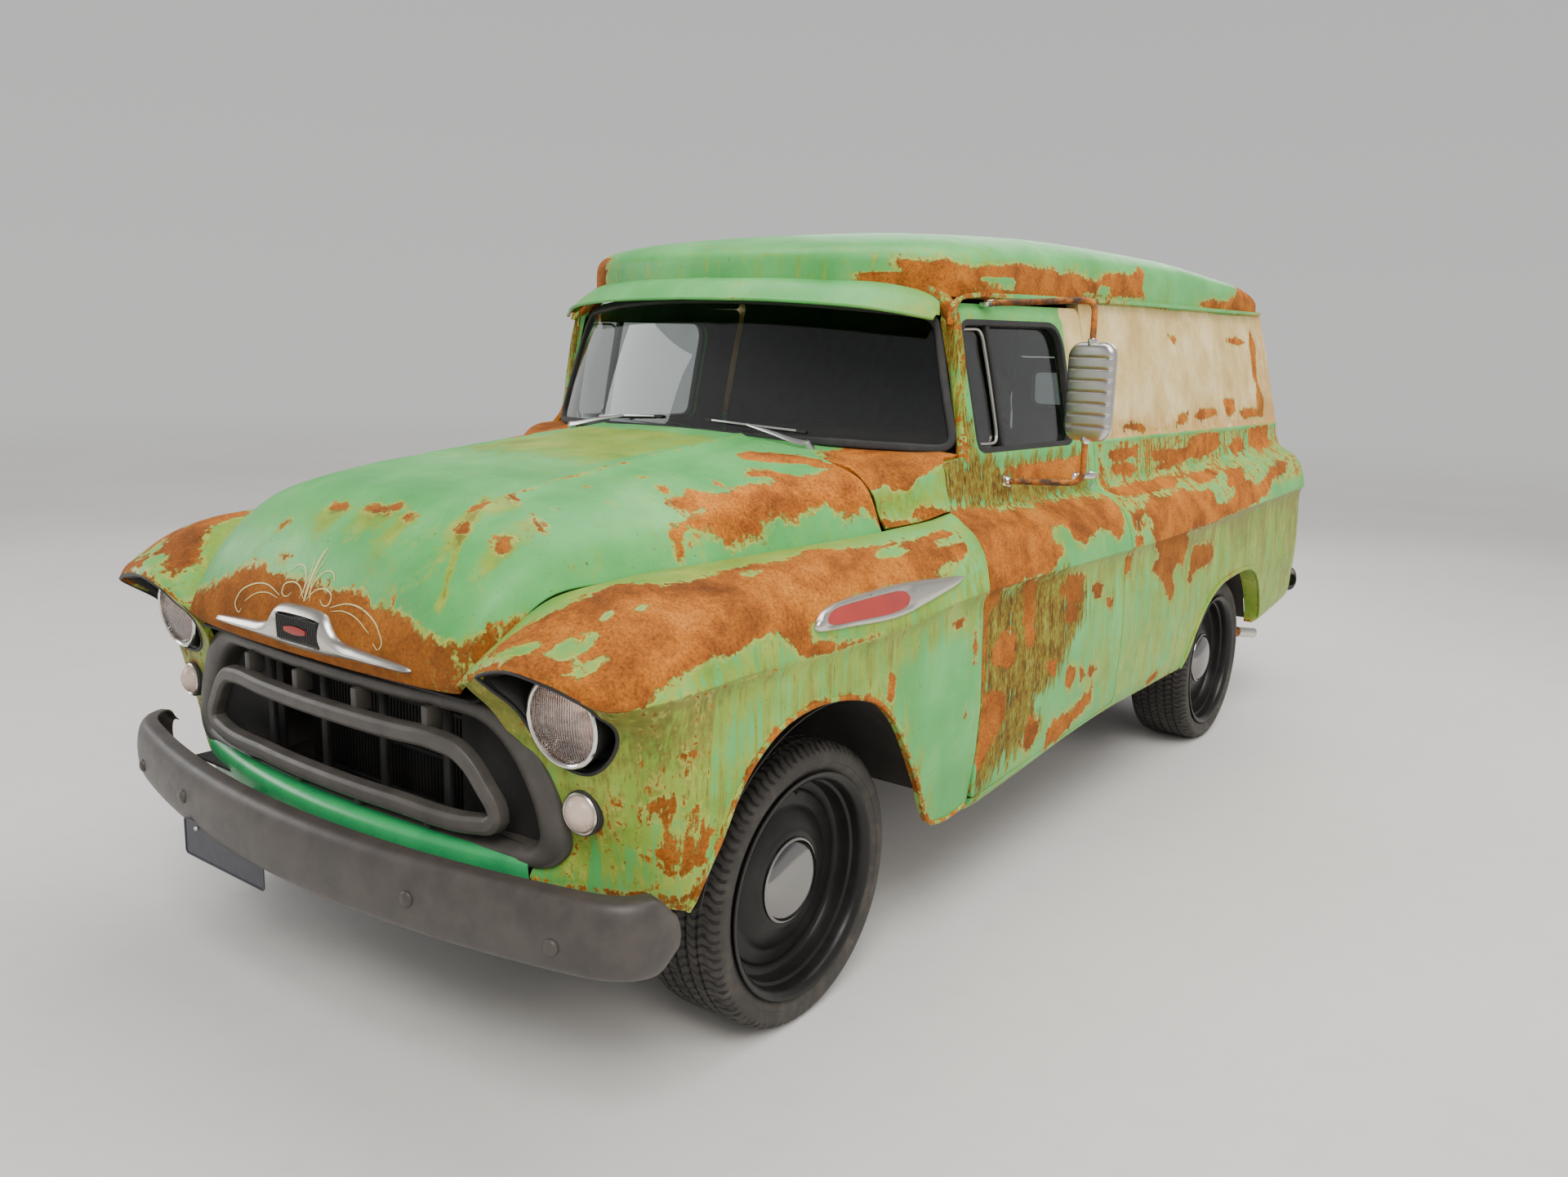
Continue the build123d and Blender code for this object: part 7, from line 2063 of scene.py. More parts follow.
def hood_masks(P, N):
    x, y, z = P[:, 0], P[:, 1], P[:, 2]
    n = len(P)
    rust = np.full(n, 0.17)
    # brown band over the nose, its upper edge as it climbs to the corner
    zb = np.interp(x, [-0.50, -0.354, -0.281, -0.208, -0.10, 0.032, 0.161, 0.280, 0.327, 0.375, 0.476, 0.535], [0.930, 0.972, 1.010, 1.024, 1.026, 1.020, 1.014, 1.018, 1.006, 0.996, 0.985, 1.030])
    band = np.clip(0.52 + (zb - z) / 0.10, 0, 0.80) * (y < -1.98)
    thin = 0.16 * smoothstep(0.17, 0.26, x) + 0.11 * smoothstep(0.36, 0.46, x)
    rust = np.maximum(rust, band - thin * (band > 0.3))
    rust = np.maximum(rust, patches(x, y, HOOD_RUST, soft=0.075))
    rust = np.maximum(rust, patches(-x - 0.01, y + 0.03, HOOD_RUST, soft=0.075) * 0.95)
    rust = np.maximum(rust, spots(x, y, HOOD_SPOTS) * (z > 1.03))
    xr = np.interp(y, [-2.05, -1.915, -1.123, -0.985], [0.325, 0.313, 0.269, 0.262])
    ridge = np.exp(-(((np.abs(x) - xr - 0.006) / 0.010) ** 2)) * (y > -1.93)
    rust = np.maximum(rust, (0.40 + 0.11 * smoothstep(-1.9, -1.7, y) * smooth_down(-1.30, -1.15, y)) * ridge * (x > 0))
    rust = np.maximum(rust, 0.40 * ridge)
    stain = 0.30 + 0.40 * smoothstep(-1.72, -1.35, y) * smooth_down(0.22, 0.30, np.abs(x)) * smooth_down(-1.10, -1.02, y) + 0.22 * smoothstep(0.28, 0.50, rust)
    under = np.zeros(n)
    for sx, sy, ra, rb in HOOD_SPOTS[:9]:
        under = np.maximum(under, np.exp(-(((x - sx) / (ra * 0.9 + 0.004)) ** 2)) * smoothstep(-0.13, -0.03, y - sy) * smooth_down(-0.01, 0.0, y - sy))
    dy = [-2.098, -2.080, -2.054, -2.018, -1.978, -1.927, -1.878]
    drip = np.exp(-(((x - np.interp(y, dy, [0.405, 0.392, 0.378, 0.355, 0.335, 0.306, 0.274])) / 0.011) ** 2)) * (y > -2.12) * (y < -1.87)
    stain = stain + 0.45 * under + 0.60 * drip + 0.34 * smooth_down(-2.03, -1.90, y) * smoothstep(0.35, 0.55, rust)
    streak = np.where(z < 1.16, 0.22, 0.10)
    streak = np.where(rust > 0.3, streak + 0.16, streak)
    return {"rust": rust, "cream": np.zeros(n), "stain": stain, "streak": streak, "vert": 1 - 0.75 * np.abs(N[:, 2]), "olive": np.zeros(n)}


make("hood_skin", hood_part(), MAT["body_paint"], "hood", ["hood_panel"], weld=2e-5, attrs=hood_masks)


def hood_pts(x, y=None, z=None, out=0.0):
    """Points on the hood's skin at (x, y) or (x, z), with their normals."""
    x = np.atleast_1d(np.asarray(x, float))
    other = np.broadcast_to(np.asarray(y if z is None else z, float), x.shape)
    uv = on_sheet(HOOD_S, np.stack([np.abs(x), other], 1), [0, 1] if z is None else [0, 2])
    p = HOOD_S(uv[:, 0], uv[:, 1])
    nn = normals(HOOD_S, uv[:, 0], uv[:, 1], flip_hood)
    p = p + nn * (hood_lift(uv, p)[:, None] + out)
    s = np.where(x >= 0, 1.0, -1.0)[:, None] * np.array([1.0, 0, 0]) + np.array([0, 1.0, 1.0])
    return p * s, nn * s


# stiffening under the hood
def rib(u_list, v_list, width=0.055, height=0.014):
    uu, vv = np.array(u_list), np.array(v_list)
    p = HOOD_S(uu, vv)
    nn = normals(HOOD_S, uu, vv, flip_hood)
    return sweep(p - nn * (0.004 + height / 2), rounded(width, height, 0.005, 3), up=nn)


ue, ve = hu[-1], hv[-1]
ribs = merge(rib(np.linspace(hu[6], ue - 0.05, 30), np.full(30, 0.30)), rib(np.linspace(hu[6], ue - 0.05, 30), np.full(30, ve - 0.15)), rib(np.full(20, hu[6] + 0.02), np.linspace(0.0, ve - 0.12, 20)),
             rib(np.full(20, ue - 0.06), np.linspace(0.0, ve - 0.12, 20)), rib(np.full(20, hu[9] + 0.1), np.linspace(0.0, ve - 0.12, 20)))
make("hood_ribs", both(ribs), MAT["inner_green"], "hood")

# ---------------------------------------------------------------- badge on the nose
#  x, top z, bottom z, depth
WING = [(0.000, 0.977, 0.875, 0.030), (0.040, 0.976, 0.8752, 0.030), (0.070, 0.973, 0.8760, 0.029), (0.092, 0.966, 0.8775, 0.027), (0.106, 0.953, 0.8790, 0.024), (0.117, 0.938, 0.8800, 0.022),
        (0.132, 0.9265, 0.8815, 0.021), (0.155, 0.920, 0.8830, 0.021), (0.200, 0.9165, 0.8850, 0.021), (0.260, 0.9125, 0.8860, 0.019), (0.310, 0.9085, 0.8865, 0.016), (0.345, 0.9045, 0.8875, 0.011),
        (0.360, 0.9010, 0.8895, 0.006), (0.3655, 0.8970, 0.8925, 0.002)]


def wing_part():
    s = np.linspace(0, 1, 13)
    kx = np.array([w[0] for w in WING])
    xs = np.concatenate([np.linspace(0, 0.13, 22), np.linspace(0.137, 0.3655, 34)])
    top, low, dep = [curve(kx, np.array([w[c] for w in WING]), xs)[:, None] for c in (1, 2, 3)]
    z = low + (top - low) * s[None, :]
    X = np.broadcast_to(xs[:, None], z.shape)
    q, _ = hood_pts(X.ravel(), z=z.ravel())
    q = q.reshape(len(xs), len(s), 3)
    h = dep * (np.sin(np.pi * s)[None, :] ** 0.55) * 0.82
    h = h + 0.0035 * np.exp(-(((s[None, :] - 0.42) / 0.16) ** 2)) * smoothstep(0.12, 0.17, X)
    h = h - 0.0135 * smooth_down(0.080, 0.088, X) * smoothstep(0.17, 0.23, s)[None, :] * smooth_down(0.76, 0.82, s)[None, :]
    rows = q.copy()
    rows[:, :, 1] -= h + 0.0005
    back = q.copy()
    back[:, :, 1] += 0.004
    rows[0, :, 0] = back[0, :, 0] = 0.0
    n, m = rows.shape[:2]
    V = np.concatenate([rows.reshape(-1, 3), back.reshape(-1, 3)])
    k = n * m
    F = grid_faces(n, m) + [tuple(i + k for i in f[::-1]) for f in grid_faces(n, m)]
    F += [(i * m, (i + 1) * m, k + (i + 1) * m, k + i * m) for i in range(n - 1)]
    F += [(i * m + m - 1, k + i * m + m - 1, k + (i + 1) * m + m - 1, (i + 1) * m + m - 1) for i in range(n - 1)]
    F += [((n - 1) * m + j, (n - 1) * m + j + 1, k + (n - 1) * m + j + 1, k + (n - 1) * m + j) for j in range(m - 1)]
    return both((V, F))


make("nose_wing", wing_part(), MAT["aged_chrome"], "hood", ["hood_emblem"], weld=2e-5, smooth=50)


def field_part():
    """The dark field in the badge, with fine upright ribs."""
    out = []
    xs = np.linspace(-0.078, 0.078, 27)
    lo, hi = hood_pts(xs, z=np.full(27, 0.897))[0], hood_pts(xs, z=np.full(27, 0.952))[0]
    V, F = [], []
    for a, b in zip(lo, hi):
        V += [a + np.array([0, -0.0175, 0]), b + np.array([0, -0.0175, 0]), a + np.array([0, -0.010, 0]), b + np.array([0, -0.010, 0])]
    for k in range(26):
        a, b = 4 * k, 4 * (k + 1)
        F += [(a, b, b + 1, a + 1), (a + 2, a + 3, b + 3, b + 2), (a, a + 2, b + 2, b), (a + 1, b + 1, b + 3, a + 3)]
    F += [(0, 1, 3, 2), (len(V) - 4, len(V) - 2, len(V) - 1, len(V) - 3)]
    out.append((np.array(V), F))
    xs = np.linspace(-0.074, 0.074, 23)
    lo, hi = hood_pts(xs, z=np.full(23, 0.899))[0], hood_pts(xs, z=np.full(23, 0.950))[0]
    for a, b in zip(lo, hi):
        out.append(sweep(np.linspace(a, b, 4) + np.array([0, -0.0180, 0]), circle(0.0013, 6), up=(0, -1, 0)))
    return merge(*out)


make("nose_badge_field", field_part(), MAT["badge_black"], "hood")
bar = []
P = hood_pts(np.linspace(-0.040, 0.040, 9), z=np.full(9, 0.924))[0] + np.array([0, -0.0200, 0])
sc = np.array([[0.55, 1], [0.8, 1], [1.0, 1], [1.1, 1], [1.15, 1], [1.1, 1], [1.0, 1], [0.8, 1], [0.55, 1]])
make("nose_badge_bar", sweep(P, rounded(0.016, 0.004, 0.0015, 2), up=(0, -1, 0), scale=sc), MAT["red_insert"], "hood")

# pale scrolls painted on the nose, an own layout
def scroll(points, width=0.0032, mirror_it=True):
    pts = through([(a, 0, b) for a, b in points], 0.008)
    P, N = hood_pts(pts[:, 0], z=pts[:, 2], out=0.0009)
    s = np.linspace(0, 1, len(P))
    w = 0.25 + 0.75 * np.sin(np.pi * np.clip(s, 0, 1)) ** 0.5
    part = sweep(P, [(-width / 2, -0.0006), (width / 2, -0.0006), (width / 2, 0.0004), (-width / 2, 0.0004)], up=N, scale=np.stack([w, np.ones(len(P))], 1))
    return merge(part, flip_x(part)) if mirror_it else part


lines_ = [scroll([(0.006, 0.990), (0.030, 1.012), (0.062, 1.018), (0.090, 1.006), (0.088, 0.990), (0.068, 0.986), (0.054, 0.996)]),
          scroll([(0.010, 1.000), (0.018, 1.030), (0.040, 1.052), (0.070, 1.050), (0.082, 1.036)]),
          scroll([(0.095, 0.985), (0.150, 1.000), (0.215, 0.992), (0.262, 0.965), (0.276, 0.935), (0.262, 0.922), (0.248, 0.934)]),
          scroll([(0.100, 0.978), (0.140, 0.984), (0.190, 0.976), (0.235, 0.952)], 0.0022),
          scroll([(0.0015, 0.985), (0.0015, 1.02), (0.0015, 1.06), (0.0015, 1.095)], 0.0040),
          scroll([(0.020, 0.988), (0.012, 1.010), (0.008, 1.040), (0.020, 1.075)], 0.0024)]
make("nose_pinstripes", merge(*lines_), MAT["pale_line"], "hood")

# ---------------------------------------------------------------- fender spear with its plain red field
def fen_pts(y, z):
    y, z = np.asarray(y, float).ravel(), np.asarray(z, float).ravel()
    uv = on_sheet(FEN, np.stack([y, z], 1), [1, 2], (0.0, fu[6]), (fv[5], fv[12]))
    return FEN(uv[:, 0], uv[:, 1]), normals(FEN, uv[:, 0], uv[:, 1], flip_fen)


SPEAR = [  # y, z centre, half height
    (-1.571, 0.979, 0.002), (-1.565, 0.9800, 0.009), (-1.545, 0.9840, 0.018), (-1.500, 0.9885, 0.0260), (-1.430, 0.9895, 0.0310), (-1.35, 0.9880, 0.0350), (-1.27, 0.9870, 0.0372),
    (-1.19, 0.9885, 0.0350), (-1.11, 0.9925, 0.0280), (-1.03, 0.9975, 0.0190), (-0.965, 1.0020, 0.0105), (-0.927, 1.0050, 0.0020)]


def spear_part():
    ky = np.array([s[0] for s in SPEAR])
    ys = np.linspace(-1.571, -0.927, 64)
    zc = curve(ky, np.array([s[1] for s in SPEAR]), ys)
    hh = np.maximum(0.0012, curve(ky, np.array([s[2] for s in SPEAR]), ys))
    t = np.linspace(-1, 1, 17)
    Z = zc[:, None] + hh[:, None] * t[None, :]
    Y = np.broadcast_to(ys[:, None], Z.shape)
    p, nn = fen_pts(Y, Z)
    rise = 0.013 * (1 - np.abs(t)[None, :] ** 2.2) ** 0.6 * np.minimum(1.0, hh / 0.014)[:, None] ** 0.8
    rise = rise - 0.0065 * smoothstep(-1.545, -1.522, Y) * smooth_down(-1.195, -1.165, Y) * smooth_down(0.56, 0.68, np.abs(t))[None, :]
    rows = (p + nn * (rise.ravel()[:, None] + 0.0008)).reshape(64, 17, 3)
    back = (p - nn * 0.002).reshape(64, 17, 3)
    n, m = rows.shape[:2]
    V = np.concatenate([rows.reshape(-1, 3), back.reshape(-1, 3)])
    k = n * m
    F = grid_faces(n, m) + [tuple(i + k for i in f[::-1]) for f in grid_faces(n, m)]
    F += [(i * m, (i + 1) * m, k + (i + 1) * m, k + i * m) for i in range(n - 1)]
    F += [(i * m + m - 1, k + i * m + m - 1, k + (i + 1) * m + m - 1, (i + 1) * m + m - 1) for i in range(n - 1)]
    for e in (0, (n - 1) * m):
        F += [(e + j, e + j + 1, k + e + j + 1, k + e + j) for j in range(m - 1)]
    return V, F


def insert_part():
    ky = np.array([s[0] for s in SPEAR])
    ys = np.linspace(-1.530, -1.190, 30)
    zc = curve(ky, np.array([s[1] for s in SPEAR]), ys)
    hh = curve(ky, np.array([s[2] for s in SPEAR]), ys)
    t = np.linspace(-1, 1, 5)
    w = 0.58 * np.minimum(1.0, np.sqrt(np.maximum(0.02, 1 - (2 * np.arange(30) / 29 - 1) ** 8)))
    Z = zc[:, None] + (hh * w)[:, None] * t[None, :]
    p, nn = fen_pts(np.broadcast_to(ys[:, None], Z.shape), Z)
    V = np.concatenate([(p + nn * 0.0090).reshape(30, 5, 3), (p + nn * 0.0050).reshape(30, 5, 3)], 1).reshape(-1, 3)
    m = 10
    F = []
    for i in range(len(ys) - 1):
        a, b = i * m, (i + 1) * m
        for j in range(4):
            F += [(a + j, b + j, b + j + 1, a + j + 1), (a + 5 + j, a + 6 + j, b + 6 + j, b + 5 + j)]
        F += [(a, a + 5, b + 5, b), (a + 4, b + 4, b + 9, a + 9)]
    F += [(0, 1, 2, 3, 4, 9, 8, 7, 6, 5), tuple((len(ys) - 1) * m + q for q in (0, 5, 6, 7, 8, 9, 4, 3, 2, 1))]
    return V, F


make("fender_spears", both(spear_part()), MAT["aged_chrome"], "root", smooth=50)
make("fender_spear_fields", both(insert_part()), MAT["red_insert"], "root")

# ---------------------------------------------------------------- grille
def arc_y(x, mid, side, xs):
    """Distance along Y of a bowed face at x."""
    return mid + (side - mid) * (np.abs(x) / xs) ** 2


GR_OUT = [(0.0, 0.836), (0.28, 0.836), (0.430, 0.836), (0.505, 0.830), (0.560, 0.808), (0.606, 0.768), (0.642, 0.716), (0.670, 0.655), (0.683, 0.600), (0.683, 0.562), (0.668, 0.536), (0.642, 0.520), (0.58, 0.512), (0.28, 0.510), (0.0, 0.510)]
GR_IN = [(0.0, 0.798), (0.27, 0.798), (0.408, 0.797), (0.466, 0.788), (0.508, 0.764), (0.543, 0.730), (0.573, 0.686), (0.598, 0.636), (0.610, 0.592), (0.610, 0.574), (0.600, 0.558), (0.580, 0.550), (0.52, 0.547), (0.27, 0.546), (0.0, 0.546)]


def surround_part():
    ko = np.linspace(0, 1, len(GR_OUT))
    tt = np.linspace(0, 1, 90)
    O = curve(ko, np.array(GR_OUT), tt)
    I = curve(ko, np.array(GR_IN), tt)
    prof = [  # share from outer to inner, depth behind the face
        (0.00, 0.034), (0.00, 0.012), (0.05, 0.005), (0.15, 0.001), (0.35, 0.0), (0.60, 0.002), (0.82, 0.008), (0.95, 0.018), (1.0, 0.030), (1.0, 0.066), (0.96, 0.066), (0.94, 0.034), (0.5, 0.012), (0.06, 0.022), (0.05, 0.034)]
    rows = []
    for s, d in prof:
        xz = O * (1 - s) + I * s
        y = arc_y(xz[:, 0], -2.116, -2.047, 0.68) + d
        # leans back a little with height, like the nose above it
        y = y + 0.02 * (0.62 - xz[:, 1]) * -1.0
        rows.append(np.column_stack([xz[:, 0], y, xz[:, 1]]))
    V = np.stack(rows, 1)
    V[0, :, 0] = V[-1, :, 0] = 0.0
    n, k = V.shape[:2]
    return both((V.reshape(-1, 3), grid_faces(n, k, False, True)))


RING = [(0.0, 0.742), (0.24, 0.742), (0.380, 0.741), (0.434, 0.731), (0.472, 0.704), (0.504, 0.664), (0.530, 0.628), (0.535, 0.607), (0.520, 0.591), (0.485, 0.584), (0.24, 0.583), (0.0, 0.583)]


def ring_part():
    P = through([(x, 0, z) for x, z in RING], 0.014)
    P[:, 1] = arc_y(P[:, 0], -2.130, -2.056, 0.66)
    P[0, 0] = P[-1, 0] = 0.0
    sec = fillet([(-0.022, 0.017), (-0.019, -0.010), (-0.010, -0.017), (0.010, -0.017), (0.019, -0.010), (0.022, 0.017)], 0.006, 3)
    return both(sweep(P, sec, up=(0, 1, 0), caps=False))


STUBS = (-0.335, -0.112, 0.112, 0.335)


def stub_part(x, z0, z1, w=0.020):
    y = float(arc_y(np.array(x), -2.120, -2.050, 0.68))
    return box_part(x - w / 2, x + w / 2, y - 0.002, y + 0.040, z0, z1, 0.004)


stubs = merge(*[stub_part(x, 0.752, 0.806) for x in STUBS], *[stub_part(x, 0.540, 0.574) for x in STUBS])
back_frame = merge(box_part(-0.62, 0.62, -2.040, -2.030, 0.800, 0.850, 0.004), box_part(-0.60, 0.60, -2.045, -2.035, 0.512, 0.548, 0.004),
                   *[box_part(x - 0.011, x + 0.011, -2.050, -2.035, 0.545, 0.810, 0.004) for x in (-0.335, -0.112, 0.112, 0.335)])
make("grille_bars", merge(surround_part(), ring_part(), stubs), MAT["grille_charcoal"], "root", ["grille"], weld=2e-5, smooth=40)
make("grille_backing", back_frame, MAT["radiator_black"], "root")


def baffle():
    """Dark sheet metal behind the grille, closing the nose round the radiator."""
    parts = [box_part(-0.655, -0.34, -2.012, -2.004, 0.50, 0.86, 0.003), box_part(0.34, 0.655, -2.012, -2.004, 0.50, 0.86, 0.003),
             box_part(-0.50, 0.50, -2.120, -1.945, 0.845, 0.853, 0.003), box_part(-0.62, 0.62, -2.10, -1.93, 0.478, 0.486, 0.003)]
    return merge(*parts)


make("nose_baffles", baffle(), MAT["radiator_black"], "root")


def fins_part():
    """Fine upright fins and flat tubes on the radiator's face."""
    out = []
    for x in np.linspace(-0.318, 0.318, 54):
        out.append(box_part(x - 0.0018, x + 0.0018, -1.9445, -1.9385, 0.512, 0.948, 0.0006))
    for z in (0.505, 0.62, 0.73, 0.84, 0.955):
        out.append(box_part(-0.33, 0.33, -1.9465, -1.939, z - 0.005, z + 0.005, 0.002))
    return merge(*out)


make("radiator_fins", fins_part(), MAT["radiator_black"], "root")


def valance_part():
    xs = np.linspace(-0.602, 0.602, 62)
    prof = [(0.078, 0.540), (0.045, 0.538), (0.020, 0.535), (0.006, 0.528), (0.000, 0.518), (0.001, 0.500), (0.006, 0.470), (0.012, 0.432), (0.015, 0.432), (0.009, 0.470), (0.004, 0.500), (0.003, 0.517), (0.009, 0.5255), (0.022, 0.532), (0.078, 0.537)]
    rows = []
    for x in xs:
        y0 = float(arc_y(np.array(x), -2.150, -2.052, 0.65))
        rows.append([(x, y0 + a, z) for a, z in prof])
    V = np.array(rows)
    n, k = V.shape[:2]
    F = grid_faces(n, k, False, True) + [tuple(range(k)), tuple((n - 1) * k + j for j in range(k))[::-1]]
    return V.reshape(-1, 3), F


make("nose_valance", valance_part(), MAT["fresh_green"], "root", ["front_valance"])


# ---------------------------------------------------------------- bumpers
def bumper_path(mid, side, xs, y_end, x_end):
    """Plan line of a bumper: a long bow and two tight returns."""
    pts = [(x, mid + (side - mid) * (x / xs) ** 2) for x in np.linspace(0, xs, 34)]
    a = np.array(pts[-1])
    slope = 2 * (side - mid) / xs
    b = np.array((x_end, y_end))
    c1 = a + np.array([1.0, slope]) / math.hypot(1, slope) * 0.105
    c2 = b + np.array([0.0, (side - y_end) * 0.55])
    for t in np.linspace(0, 1, 20)[1:]:
        p = (1 - t) ** 3 * a + 3 * (1 - t) ** 2 * t * c1 + 3 * (1 - t) * t * t * c2 + t**3 * b
        pts.append(tuple(p))
    half = np.array(pts)
    full = np.vstack([half[:0:-1] * np.array([-1, 1]), half])
    return full


def bumper_part(mid, side, xs, y_end, x_end, z_mid, h, depth, sign):
    path = bumper_path(mid, side, xs, y_end, x_end)
    P = np.column_stack([path, np.full(len(path), z_mid)])
    L = np.concatenate([[0], np.cumsum(np.linalg.norm(np.diff(P, axis=0), axis=1))])
    d = np.minimum(L, L[-1] - L)
    hs = np.sqrt(np.clip(1 - np.clip(1 - d / 0.060, 0, 1) ** 2.4, 0.26, 1))
    t = np.linspace(-math.pi / 2, math.pi / 2, 19)
    outer = [(-(depth) + depth * abs(math.cos(a)) ** 0.55, h / 2 * math.sin(a)) for a in t]
    inner = [(-(depth) + (depth - 0.005) * abs(math.cos(a)) ** 0.55, (h / 2 - 0.005) * math.sin(a)) for a in t[::-1]]
    sec = np.array(outer + [(-depth - 0.006, h / 2), (-depth - 0.006, h / 2 - 0.005)] + inner + [(-depth - 0.006, -h / 2 + 0.005), (-depth - 0.006, -h / 2)])
    if sign > 0:
        sec = sec * np.array([-1, 1])
    V, F = sweep(P, sec, up=(0, 0, 1), scale=np.stack([0.55 + 0.45 * hs, hs], 1), caps=False)
    # the channel's two ends, closed along its wall only
    m, last = len(sec), (len(P) - 1) * len(sec)
    ends = [(i, i + 1, 38 - i, 39 - i) for i in range(18)] + [(18, 19, 20, 21), (0, 39, 40, 41)]
    return V, F + [q[::-1] for q in ends] + [tuple(last + k for k in q) for q in ends]


def bolt(at, axis, r=0.017, h=0.009):
    return lathe([(-0.004, 0.0), (-0.004, r), (h * 0.15, r), (h * 0.45, r * 0.92), (h * 0.8, r * 0.6), (h, 0.0)], at, axis, 28)


def bumper_y(path, x):
    k = np.argsort(path[:, 0])
    return float(np.interp(x, path[k, 0], path[k, 1]))


fp = bumper_path(-2.262, -2.152, 0.80, -1.992, 0.948)
bolts = []
for x, z in ((0.432, 0.456), (0.772, 0.437), (-0.432, 0.456), (-0.772, 0.437), (0.130, 0.468), (-0.130, 0.468)):
    if abs(x) < 0.2:
        continue
    y = bumper_y(fp, x)
    g = (bumper_y(fp, x + 0.01) - bumper_y(fp, x - 0.01)) / 0.02
    ax = np.array([g, -1.0, 0.0]) / math.hypot(g, 1)
    bolts.append(bolt(np.array([x, y, z]), ax))
brackets = both(merge(box_part(0.386, 0.424, -2.203, -2.033, 0.394, 0.426, 0.003), box_part(0.380, 0.430, -2.206, -2.196, 0.385, 0.50, 0.003)))
make("front_bumper_bar", merge(bumper_part(-2.262, -2.152, 0.80, -1.992, 0.948, 0.454, 0.163, 0.047, -1), *bolts), MAT["bumper_charcoal"], "root", ["front_bumper"], smooth=40)
make("front_bumper_brackets", brackets, MAT["chassis_black"], "root")
rp = bumper_path(2.532, 2.500, 0.74, 2.402, 0.928)
rb = bumper_part(2.532, 2.500, 0.74, 2.402, 0.928, 0.5575, 0.114, 0.034, 1)
rbolts = []
for x in (-0.62, -0.40, 0.40, 0.62):
    rbolts.append(bolt(np.array([x, bumper_y(rp, x), 0.56]), np.array([0, 1.0, 0]), 0.014, 0.008))
rbr = both(box_part(0.386, 0.424, 2.418, 2.503, 0.508, 0.554, 0.003))
make("rear_bumper_bar", merge(rb, *rbolts, rbr), MAT["bumper_charcoal"], "root", ["rear_bumper"], smooth=40)

# ---------------------------------------------------------------- tyres and wheels
def tyre_part(n=276):
    """A low-profile tyre with round grooves and cross cuts in its shoulders, about the X axis."""
    pts = [(-0.093, 0.2555, 0), (-0.0985, 0.262, 0), (-0.1030, 0.2705, 0), (-0.1085, 0.279, 0), (-0.1135, 0.289, 0), (-0.1160, 0.2905, 0), (-0.1168, 0.2935, 0), (-0.1160, 0.2965, 0), (-0.1165, 0.302, 0),
           (-0.1155, 0.311, 0), (-0.1120, 0.3200, 0), (-0.1075, 0.3262, 2), (-0.1010, 0.3312, 2), (-0.0930, 0.3342, 2), (-0.0840, 0.3358, 2), (-0.0770, 0.3362, 2), (-0.0720, 0.3364, 0)]
    for c in (-0.0640, -0.0330, 0.0, 0.0330, 0.0640):
        pts += [(c - 0.0048, 0.3367, 0), (c - 0.0034, 0.3367, 1), (c + 0.0034, 0.3367, 1), (c + 0.0048, 0.3367, 0)]
        if c < 0.06:
            pts += [(c + 0.0125, 0.3368, 3), (c + 0.0205, 0.3368, 3)]
    pts += [(-x, r, k) for x, r, k in pts[16::-1]]
    pts += [(0.080, 0.2585, 0), (-0.080, 0.2585, 0)]
    pts = np.array(pts)
    m = len(pts)
    a = np.arange(n) * 2 * math.pi / n
    R = np.repeat(pts[None, :, 1], n, 0)
    kind = pts[:, 2]
    R[:, kind == 1] -= 0.0062
    cut = (np.arange(n) % 4) == 0
    cut2 = (np.arange(n) % 4) == 2
    lef, rig = (kind == 2) & (pts[:, 0] < 0), (kind == 2) & (pts[:, 0] > 0)
    R[np.ix_(cut, lef)] -= 0.0045
    R[np.ix_(cut2, rig)] -= 0.0045
    R[np.ix_((np.arange(n) % 6) == 0, kind == 3)] -= 0.0035
    X = np.repeat(pts[None, :, 0], n, 0)
    V = np.stack([X, R * np.cos(a)[:, None], R * np.sin(a)[:, None]], 2).reshape(-1, 3)
    return V, grid_faces(n, m, True, True)


RIM = [(0.1040, 0.2530), (0.1070, 0.2600), (0.1085, 0.2670), (0.1110, 0.2682), (0.1132, 0.2662), (0.1130, 0.2620), (0.1100, 0.2570), (0.1060, 0.2515), (0.1010, 0.2470), (0.0900, 0.2445), (0.0740, 0.2435),
       (0.0715, 0.2405), (0.0690, 0.2370), (0.0560, 0.2355), (0.0420, 0.2345), (0.0350, 0.2310), (0.0320, 0.2250), (0.0300, 0.2170), (0.0305, 0.2110), (0.0340, 0.2070), (0.0352, 0.2020), (0.0350, 0.1760),
       (0.0362, 0.1700), (0.0400, 0.1640), (0.0440, 0.1560), (0.0500, 0.1400), (0.0545, 0.1260), (0.0570, 0.1180), (0.0600, 0.1120), (0.0600, 0.0), (-0.0180, 0.0), (-0.0180, 0.1180), (-0.0040, 0.1400), (-0.0040, 0.2140),
       (-0.0200, 0.2240), (-0.0900, 0.2360), (-0.0985, 0.2420), (-0.1060, 0.2570), (-0.1110, 0.2675), (-0.1125, 0.2650), (-0.1080, 0.2560), (-0.1010, 0.2520), (-0.0950, 0.2535), (-0.0300, 0.2450), (0.0300, 0.2460), (0.0950, 0.2530)]
